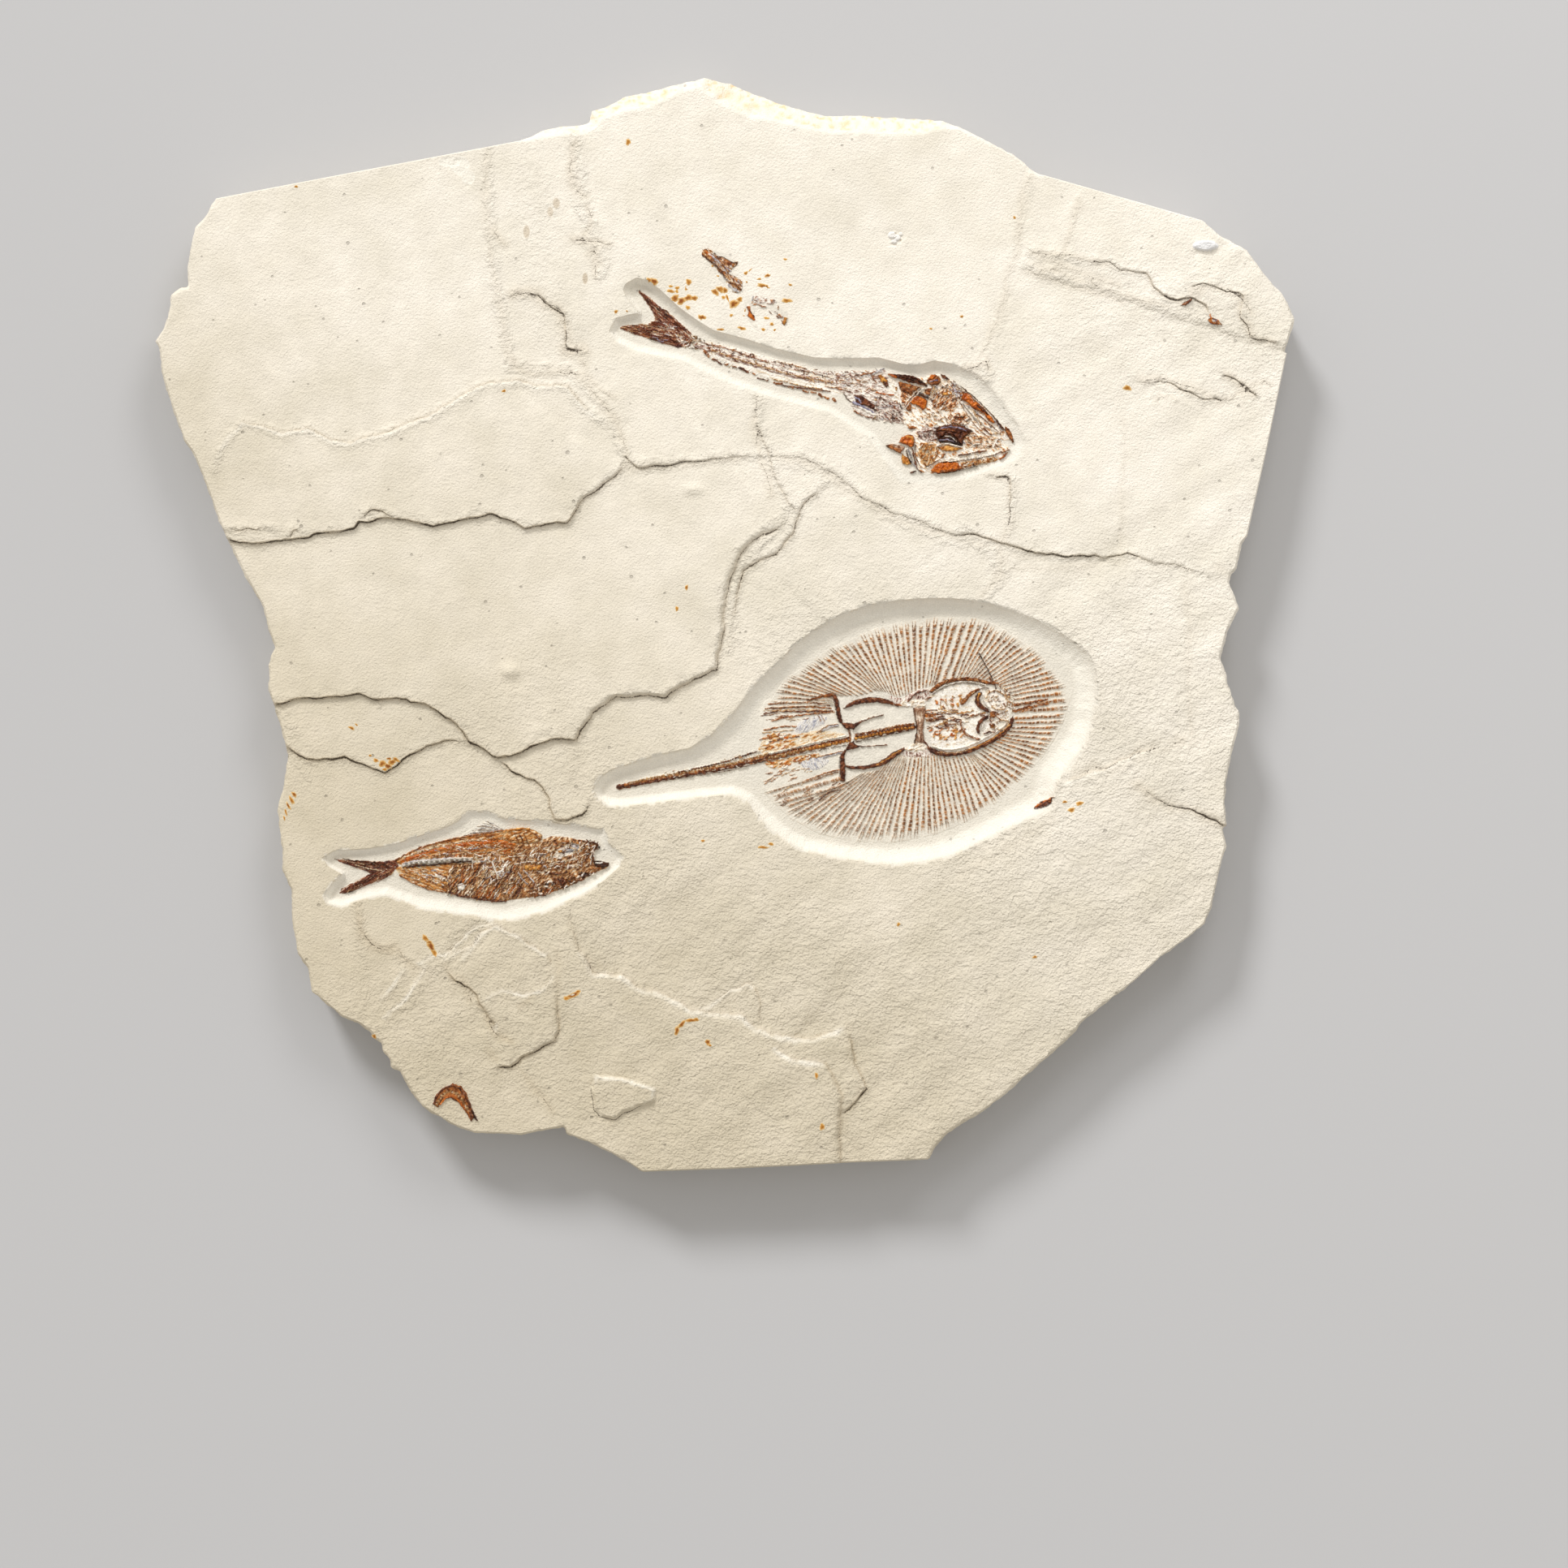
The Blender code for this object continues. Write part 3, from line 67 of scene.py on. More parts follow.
# The studio, in metres, and the way across the face that leads away from the key light.
CAMERA_HEIGHT = 2.4
CAMERA_PLACE = (0.029, -0.0788, CAMERA_HEIGHT + 0.028)
FRAME_WIDTH = 0.7728
SENSOR_WIDTH = 36.0
KEY_STRENGTH = 1.95
KEY_PLACE = (-0.9, 1.7, 1.15)
WASH_POWER = 9.5
WASH_PLACE = (0.55, 1.5, 1.3)
WORLD_STRENGTH = 0.62
WORLD_TINT = (1.0, 0.965, 0.91)
AWAY_FROM_LIGHT = (0.35, -0.94)

STONE_PALE = (242.0, 235.0, 221.5)
STONE_WARM = (212.0, 200.5, 177.0)
STONE_FRESH = (229.0, 223.0, 210.0)
# Whiter fresh-cut stone, also used as painted light: highlights on ledges facing the light and a
# lift of the shade on the recess walls.
PALE_CUT_AND_PAINTED_LIGHT = (247.0, 242.0, 230.0)
# The brown of the painted shade in cracks, pits and at flake edges.
CREVICE_SHADE = (58.0, 42.0, 28.0)
# Brown for real stains and for the painted shade along ledges and cracks.
DIRT_AND_SHADE_BROWN = (128.0, 98.0, 60.0)
SHELL = (236.0, 235.0, 235.0)
CROWN_PALE = (241.0, 234.0, 219.0)
CROWN_AMBER = (238.0, 208.0, 164.0)
CHIP_WHITE = (242.0, 236.0, 224.0)
FLAW_DARK = (62.0, 36.0, 26.0)
FIN_EDGE, FIN_EDGE_WARMTH = (170.0, 114.0, 68.0), (30.0, 20.0, 6.0)
FIN_CORE, FIN_CORE_WARMTH = (94.0, 55.0, 30.0), (62.0, 36.0, 10.0)
FIN_PALE = (176.0, 158.0, 142.0)
FIN_DUST = (178.0, 150.0, 124.0)
# The colour of the painted highlights on the fin rays.
FIN_PAINTED_HIGHLIGHT = (236.0, 228.0, 222.0)

# Each pigment drifts between its dark and its light tone.
COLOURS = {
    "sand": ((196, 168, 130), (226, 206, 172)),
    "tan": ((150, 108, 66), (204, 166, 118)),
    "amber": ((164, 96, 36), (222, 160, 80)),
    "orange": ((152, 70, 22), (212, 116, 40)),
    "rust": ((104, 54, 24), (174, 106, 54)),
    "maroon": ((64, 32, 20), (122, 70, 42)),
    "dark": ((42, 25, 17), (78, 46, 30)),
    "lilac": ((112, 108, 130), (176, 172, 192)),
    "ashy": ((150, 146, 150), (212, 208, 206)),
    "white": ((226, 216, 200), (246, 240, 230)),
}

# How glossy each pigment is, from 0 to 1, and how much of it is worn away to bare stone.
GLOSS = {
    "amber": 0.9, "orange": 0.9, "maroon": 0.7, "dark": 0.7, "rust": 0.5, "sand": 0.1,
    "white": 0.1, "ashy": 0.15,
}
WEAR = {
    "white": 0.0, "ashy": 0.2, "lilac": 0.1, "sand": 1.0, "tan": 0.8, "rust": 0.7,
    "maroon": 0.35, "dark": 0.2, "amber": 0.15, "orange": 0.2,
}
WEAVE_WEAR = 0.25
# Plates wear by this share of what their pigment does.
PLATE_WEAR = 0.35

# Fibres run through their palette from dark bone, at 0, to bare matrix, at 1.
PALETTES = {
    "flank": (
        (0, (78, 46, 30)), (0.25, (122, 74, 42)), (0.45, (164, 112, 68)), (0.62, (196, 146, 92)),
        (0.78, (226, 202, 166)), (1, (240, 230, 214)),
    ),
    "band": (
        (0, (120, 66, 30)), (0.3, (172, 104, 44)), (0.5, (196, 134, 72)), (0.7, (218, 184, 136)),
        (1, (238, 226, 204)),
    ),
    "lobe": (
        (0, (52, 26, 24)), (0.35, (88, 44, 34)), (0.55, (124, 66, 42)), (0.75, (168, 118, 84)),
        (1, (232, 220, 202)),
    ),
    "skull": (
        (0, (66, 34, 24)), (0.22, (134, 70, 34)), (0.4, (194, 122, 66)), (0.55, (224, 186, 142)),
        (0.7, (240, 226, 204)), (1, (250, 244, 234)),
    ),
    "mess": (
        (0, (78, 44, 38)), (0.25, (140, 94, 78)), (0.42, (190, 164, 152)), (0.6, (226, 214, 200)),
        (1, (244, 238, 228)),
    ),
    "chalk": (
        (0, (150, 108, 78)), (0.25, (206, 182, 150)), (0.5, (234, 222, 202)), (1, (248, 242, 232)),
    ),
    "steel": (
        (0, (118, 118, 132)), (0.3, (166, 166, 178)), (0.55, (210, 208, 208)), (1, (240, 232, 218)),
    ),
    "taupe": (
        (0, (86, 52, 38)), (0.35, (134, 94, 70)), (0.65, (172, 136, 108)), (1, (232, 216, 196)),
    ),
    # The amber flecks run from their thin rim to their dark middle.
    "fleck": ((0, (226, 186, 120)), (0.45, (206, 148, 66)), (1, (132, 72, 32))),
}

# The outline, clockwise: x, y and the width of the bevel, under 0.9 where it was sawn.
OUTLINE = [
    (-251, 210, 0.6), (-103.5, 238, 0.6), (-95, 241, 2.5), (-90.5, 244, 4.5), (-81.5, 246, 5),
    (-71, 246.5, 5), (-67, 248, 5), (-66.5, 254, 7), (-60, 255, 6), (-54.5, 258.5, 7),
    (-47.5, 261.5, 8), (-39.5, 263, 8.5), (-29.5, 265.5, 6.5), (-20.5, 267.5, 4.5), (-10.5, 270, 5),
    (-3.5, 269, 9.5), (4.5, 267, 13), (15.5, 262.5, 13), (26.5, 258, 10.5), (36, 255, 9.5),
    (44, 253, 9.5), (52.5, 251.5, 9.5), (66.5, 252, 10), (78.5, 251, 9.5), (96.5, 250, 8.5),
    (105.5, 249, 5.5), (114.5, 246, 2), (126.5, 240, 1.2), (142.5, 231.5, 1.2), (148.5, 227, 1.2),
    (154, 222, 1.2), (157, 221.5, 0.6), (235.5, 199, 0.6), (242.5, 193, 1.5), (249.5, 189, 1.5),
    (257.5, 184.5, 1.5), (265, 174, 1.5), (270.5, 167.5, 1.5), (274.5, 163.5, 1.5),
    (278, 157.5, 1.5), (281, 150, 1.5), (278, 139.5, 1.5), (276, 134.5, 1.2), (277, 133.5, 0.6),
    (266.5, 83.5, 0.6), (257.5, 43.5, 0.8), (255, 39.5, 1.5), (252.5, 27.5, 1.5), (249.5, 24, 1.5),
    (249, 20.5, 1.5), (250.5, 15.5, 1.5), (254, 8, 1.5), (251.5, 3.5, 1.5), (248, -3.5, 1.5),
    (246.5, -9.5, 1.5), (244.5, -16.5, 1.5), (246, -20.5, 1.5), (248, -28.5, 1.5),
    (251.5, -39.5, 1.5), (254, -44.5, 1.5), (253.5, -51.5, 1.5), (251, -59.5, 1.5),
    (247, -78.5, 1.2), (246.5, -88.5, 1.2), (247.5, -99.5, 1.2), (245.5, -101, 1.2),
    (247.5, -108.5, 1.2), (244, -121.5, 1.2), (240, -139.5, 1.2), (236.5, -148, 1.2),
    (228.5, -154.5, 1), (214.5, -164.5, 1), (202.5, -175.5, 1), (190.5, -185, 1),
    (182.5, -191, 1.2), (175.5, -197, 1.5), (173, -201, 1.5), (168.5, -205.5, 1.5),
    (156.5, -216, 1.2), (146.5, -224.5, 1.2), (138.5, -232, 1.2), (126.5, -241, 1.2),
    (117, -246.5, 1.5), (110.5, -251, 1.5), (105.5, -256, 1.5), (102.5, -260, 1.2),
    (100.5, -264, 0.8), (62.5, -265.5, 0.8), (2.5, -268.5, 0.8), (-41, -270, 0.8),
    (-51.5, -263.5, 1.2), (-65.5, -256.5, 1.2), (-78.5, -251.5, 1.2), (-79.5, -248, 1.2),
    (-100.5, -252, 1.2), (-123.5, -251, 1.2), (-133.5, -247.5, 1.2), (-141.5, -243, 1.2),
    (-149.5, -238, 1.2), (-155, -231, 1.5), (-158, -225.5, 1.5), (-161, -220.5, 1.5),
    (-165, -218.5, 1.5), (-165.5, -215, 1.5), (-169, -211, 1.5), (-169.5, -207, 1.5),
    (-172.5, -205, 1.5), (-175, -201.5, 1.5), (-180.5, -197.5, 1.5), (-189.5, -193.5, 1.2),
    (-199.5, -185, 1.2), (-204, -181.5, 1.2), (-206, -169.5, 1.2), (-211, -162.5, 1.2),
    (-214, -144.5, 1.2), (-214, -131.5, 1.2), (-218.5, -121.5, 1.2), (-218.5, -111.5, 1.2),
    (-220, -102.5, 1.2), (-221, -90, 1.5), (-218.5, -81.5, 1.5), (-216, -64.5, 1.5),
    (-217, -60, 1.5), (-221, -45.5, 1.2), (-225.5, -31.5, 1.2), (-224.5, -15.5, 1.2),
    (-222, -11.5, 1.2), (-225.5, -2.5, 1.2), (-228, 8.5, 1.2), (-234.5, 19, 1.5), (-239, 27.5, 1.5),
    (-246.5, 43.5, 1.2), (-251, 54.5, 1.2), (-256, 68.5, 1.2), (-262, 83.5, 1.2), (-267, 90.5, 1.2),
    (-273, 107.5, 1.2), (-278, 123.5, 1.2), (-279, 135.5, 1.2), (-281, 139.5, 1.2),
    (-276.5, 147.5, 1.5), (-274, 155.5, 1.5), (-273.5, 163, 1.5), (-268, 166, 1.5),
    (-265, 166.5, 1.5), (-265.5, 175.5, 1.5), (-263.5, 187.5, 1.5), (-261.5, 196, 1.5),
    (-257, 200.5, 1.5), (-253.5, 206.5, 1.2),
]

# Ledges, higher on their left: line, (share of length, rise), (share, ramp), reach.
LEDGES = [
    ([
        (-252, 42), (-232, 40), (-219, 41.5), (-208, 43), (-192, 46), (-183, 47.5), (-181, 50.5),
        (-165, 52.5), (-153, 51), (-144, 48.5), (-131, 51.5), (-116, 54.5), (-104, 50.5),
        (-98, 47.5), (-84, 50.5), (-78, 50), (-72, 60.5), (-56, 72.5), (-50, 79.5), (-49, 83),
    ], [(0, 1.8), (0.8, 2.2), (0.95, 1.2), (1, 0)], [(0, 1.2), (0.8, 1.2), (0.85, 2.6), (1, 2.6)],
        90),
    ([
        (-58, 99.5), (-67.5, 104.5), (-72.5, 110), (-77.5, 117), (-94.5, 117), (-101.5, 120),
        (-117.5, 118), (-130.5, 112), (-141.5, 104.5), (-150.5, 101), (-165.5, 94.5), (-184.5, 89),
        (-193.5, 90), (-205.5, 96), (-217.5, 94), (-237.5, 99.5), (-248.5, 86.5), (-251.5, 76.5),
    ], [(0, 0), (0.08, 1), (0.5, 1.4), (0.85, 0.9), (1, 0)], [(0, 2.4), (1, 2.4)], 50),
    ([
        (-226, -40), (-207.5, -36), (-189.5, -35.5), (-180.5, -34.5), (-169.5, -37), (-156.5, -37),
        (-148.5, -39), (-135.5, -46.5), (-126.5, -57), (-112.5, -65.5), (-106, -65), (-92, -58.5),
        (-83, -56), (-73.5, -57), (-72, -52.5), (-65.5, -43), (-53.5, -35), (-49.5, -35.5),
        (-37.5, -33.5), (-30, -35.5), (-21.5, -29.5), (-12.5, -25), (-5, -22), (-4.5, -16),
        (-2, -3), (-1.5, 11.5), (2, 23.5), (6.5, 35.5), (17.5, 45), (26.5, 48), (32.5, 57),
    ], [(0, 2.2), (0.4, 2.6), (0.9, 2.6), (1, 0)], [
        (0, 1.2), (0.47, 1.2), (0.52, 3.2), (0.72, 2.6), (0.8, 4.6), (1, 3.5),
    ], 90),
    ([
        (-112.5, -66), (-105.5, -72.5), (-93.5, -77), (-89.5, -81.5), (-86.5, -87.5), (-84.5, -96),
        (-76.5, -96.5), (-68.5, -92), (-67, -86.5),
    ], [(0, 0), (0.12, 1.4), (0.85, 1.4), (1, 0)], [(0, 1.2), (1, 1.2)], 30),
    ([
        (-220, -59), (-207.5, -65.5), (-202, -67), (-187.5, -65.5), (-177.5, -69), (-168, -73),
        (-159.5, -67), (-149.5, -61), (-138.5, -57), (-126.5, -57.5),
    ], [(0, 1.4), (0.85, 1.4), (1, 0)], [(0, 1.2), (1, 1.2)], 35),
    ([
        (1.5, -12.5), (2.5, -3), (4.5, 11.5), (8.5, 27), (18.5, 33), (25.5, 35.5), (32.5, 45.5),
        (36.5, 57.5), (45, 65.5), (50.5, 71.5),
    ], [(0, 0), (0.3, 1), (0.85, 1), (1, 0)], [(0, 2.4), (1, 2)], 25),
    ([
        (102.5, 47.5), (112.5, 44.5), (122.5, 45), (135.5, 40.5), (152.5, 36), (169.5, 33.5),
        (182.5, 34.5), (191.5, 31.5),
    ], [(0, 0), (0.2, 0.9), (0.85, 1.5), (1, 0)], [(0, 1.2), (1, 1.2)], 40),
    ([
        (147.5, 177.5), (156.5, 172.5), (170.5, 169), (186.5, 164.5), (202.5, 159.5), (215.5, 155),
        (240.5, 147), (260.5, 140.5), (284, 135),
    ], [(0, 0), (0.1, 0.8), (1, 0.8)], [(0, 5), (1, 5)], 40),
    ([
        (150.5, 183.5), (166.5, 181), (190.5, 178), (195.5, 174.5), (208, 173), (210.5, 167.5),
        (215.5, 162), (222.5, 160), (230, 161), (237.5, 157.5), (239.5, 151.5),
    ], [(0, 0), (0.5, 0.6), (0.7, 1.1), (0.95, 1.1), (1, 0)], [(0, 1.2), (1, 1.2)], 20),
    ([(-106.5, 163.5), (-92.5, 162.5), (-85.5, 157), (-79, 152.5), (-78, 136.5), (-69.5, 134.5)],
        [(0, 0), (0.4, 1), (0.85, 1), (1, 0)], [(0, 1.2), (1, 1.2)], 18),
    ([(-49, 83), (-42.5, 77), (-29.5, 79), (-11.5, 81), (20.5, 84)], [(0, 0), (0.15, 0.8), (1, 0)],
        [(0, 1.6), (1, 1.6)], 25),
    ([
        (59.5, -199.5), (48.5, -203), (42.5, -205), (28.5, -204), (16.5, -200.5), (7.5, -193),
        (-9.5, -192), (-17.5, -190.5), (-29.5, -183), (-42.5, -180), (-50.5, -174), (-64.5, -172.5),
        (-71.5, -162.5), (-75.5, -152.5),
    ], [(0, 0), (0.08, 1.8), (0.75, 2), (0.9, 1), (1, 0)], [(0, 3.4), (1, 3.4)], 60),
    ([
        (56.5, -272), (55.5, -252.5), (56.5, -232.5), (49, -217), (32.5, -215), (24, -209),
        (23, -204),
    ], [(0, 1.6), (0.85, 1.6), (1, 0)], [(0, 3.6), (1, 3.6)], 40),
    ([(56.5, -243), (63.5, -236.5), (70, -228.5), (63.5, -217), (61, -202.5), (59.5, -199.5)],
        [(0, 0), (0.15, 1.4), (0.85, 1.2), (1, 0)], [(0, 1.8), (1, 1.8)], 14),
    ([
        (-138, -169), (-133.5, -175.5), (-126, -178.5), (-121.5, -185), (-118, -191.5),
        (-113, -198), (-113, -202.5),
    ], [(0, 0), (0.15, 1.2), (0.85, 1.2), (1, 0)], [(0, 1.2), (1, 1.2)], 20),
    ([
        (-114, -218), (-106.5, -218.5), (-99.5, -213), (-85.5, -205.5), (-82.5, -200.5),
        (-83, -186.5), (-84, -173.5),
    ], [(0, 0), (0.1, 1.8), (0.6, 1.5), (0.8, 0.7), (1, 0)], [(0, 1.8), (1, 2.4)], 26),
    ([
        (-84, -173.5), (-88, -163.5), (-104, -153), (-113.5, -148.5), (-119.5, -151.5),
        (-131.5, -168),
    ], [(0, 0), (0.2, 1), (0.7, 1), (1, 0)], [(0, 2.2), (1, 2.2)], 20),
    ([(224.5, -57), (202.5, -64.5), (188.5, -71), (176.5, -75.5), (165, -79.5)],
        [(0, 0), (0.3, 1), (0.9, 1), (1, 0)], [(0, 3), (1, 3)], 25),
    ([(202.5, -79), (218.5, -89), (232.5, -92.5), (252, -101)], [(0, 0), (0.4, 0.6), (1, 1.4)],
        [(0, 1.2), (1, 1.2)], 25),
    ([(-217, 41.5), (-214, 43.5), (-213, 46.5), (-210.5, 46.8), (-208.5, 45)],
        [(0, 0.1), (0.5, 0.7), (1, 0.1)], [(0, 0.8), (1, 0.8)], 3),
    ([(-246, 48), (-240, 46.5), (-236, 47.5), (-231, 46), (-226, 48), (-221, 46.5)],
        [(0, 0.3), (0.5, 0.5), (1, 0.1)], [(0, 0.8), (1, 0.8)], 3),
    ([(-181, 50.5), (-178, 54), (-174, 56.5), (-169, 55.5), (-165, 53.5), (-160, 52.5)],
        [(0, 0.1), (0.5, 0.9), (1, 0.1)], [(0, 0.8), (1, 0.8)], 3.5),
    ([
        (-49, 82.5), (-42.5, 77), (-37.5, 77), (-29.5, 78.5), (-21.5, 80), (-11.5, 81),
        (-1.5, 82.5), (12.5, 83.5),
    ], [(0, 0.7), (0.6, 0.5), (1, 0.2)], [(0, 1.2), (1, 1.2)], 6),
    ([
        (15.5, 115), (15.5, 107), (16.5, 99), (19, 91.5), (22, 84.5), (24, 75.5), (27, 67.5),
        (30.5, 61.5), (34.5, 57),
    ], [(0, 0.3), (0.5, 0.6), (1, 0.5)], [(0, 1.4), (1, 1.4)], 6),
    ([
        (22.5, 83), (35.5, 83), (46.5, 79), (58.5, 71.5), (70.5, 61), (83.5, 55), (98.5, 50.5),
        (108.5, 45),
    ], [(0, 0.3), (0.5, 0.55), (1, 0.5)], [(0, 1.6), (1, 1.4)], 6),
    ([(188.5, 33), (198.5, 35.5), (208.5, 31.5), (223.5, 29), (238.5, 25)],
        [(0, 0.9), (0.5, 0.5), (1, 0.3)], [(0, 1), (1, 1.4)], 6),
    ([(134.5, 73), (138, 73.5), (140.5, 71), (141, 61.5), (140.5, 53.5), (139, 45.5)],
        [(0, 0.9), (0.4, 0.9), (1, 0.3)], [(0, 1), (1, 1.4)], 4),
    ([
        (230.5, 167), (235.5, 168), (242.5, 166.5), (247.5, 164), (253.5, 163.5), (255.5, 161.5),
        (255, 155.5), (254.5, 150.5), (257.5, 146.5), (259.5, 142.5), (262.5, 140.5),
        (271.5, 139.5),
    ], [(0, 0.5), (0.5, 0.8), (1, 0.5)], [(0, 1), (1, 1)], 5),
    ([
        (207, 119.5), (213.5, 120), (219.5, 119.5), (223.5, 116.5), (229.5, 114), (235.5, 111.5),
        (244.5, 111),
    ], [(0, 0.3), (0.5, 0.8), (1, 0.4)], [(0, 0.9), (1, 0.9)], 4),
    ([(246, 123.5), (250.5, 121), (255.5, 118), (261.5, 112.5)], [(0, 0.6), (0.5, 0.8), (1, 0.4)],
        [(0, 0.9), (1, 0.9)], 4),
    ([
        (16.6, -194.4), (16.6, -185.2), (14.6, -180.4), (11, -177.6), (7.4, -179.2), (2.6, -180.4),
        (-2.6, -184.4), (-7.4, -188.4), (-13.4, -190.4),
    ], [(0, 0.4), (0.5, 0.8), (1, 0.3)], [(0, 1.4), (1, 1.4)], 5),
    ([
        (-57.5, -173), (-64.5, -171.5), (-68, -168.5), (-72.5, -161), (-75.5, -152.5),
        (-77.5, -140.5),
    ], [(0, 0.6), (0.5, 0.6), (1, 0.2)], [(0, 1.6), (1, 1.6)], 6),
    ([(-84.4, -174), (-89.8, -180.2), (-99, -183.3), (-109.8, -180.2), (-117.6, -184.8)],
        [(0, 0.36), (0.5, 0.6), (1, 0.24)], [(0, 1), (1, 1)], 3.5),
    ([
        (-114.5, -147), (-121.4, -148.8), (-128.4, -153.2), (-133.4, -159.6), (-139.1, -163.2),
        (-145.4, -164.4), (-151.5, -167.1),
    ], [(0, 0.45), (0.5, 0.75), (1, 0.3)], [(0, 1.2), (1, 1.2)], 4),
    ([(-117.4, -150.8), (-122.2, -156.4), (-131, -161.2), (-139.4, -166)],
        [(0, 0.3), (0.5, 0.5), (1, 0.2)], [(0, 1), (1, 1)], 3),
    ([(-147.8, -168.4), (-152.6, -177.2), (-157.6, -184.8), (-163.4, -189.6), (-168.4, -194.1)],
        [(0, 0.39), (0.5, 0.65), (1, 0.26)], [(0, 1.2), (1, 1.2)], 4),
    ([(-159, -170.8), (-163.8, -178.8), (-169.4, -184.4)], [(0, 0.24), (0.5, 0.4), (1, 0.16)],
        [(0, 1), (1, 1)], 3),
]

# The thin flake at the slab's foot: its outline, its height and the width of its slope.
FLAKE = [
    (-65, -230.5), (-64, -239), (-61.5, -242), (-54.5, -243), (-42.5, -236.5), (-36, -235),
    (-34, -229.5), (-43.5, -225.5), (-64, -222),
]
FLAKE_RISE, FLAKE_RAMP = 1.4, 1.6

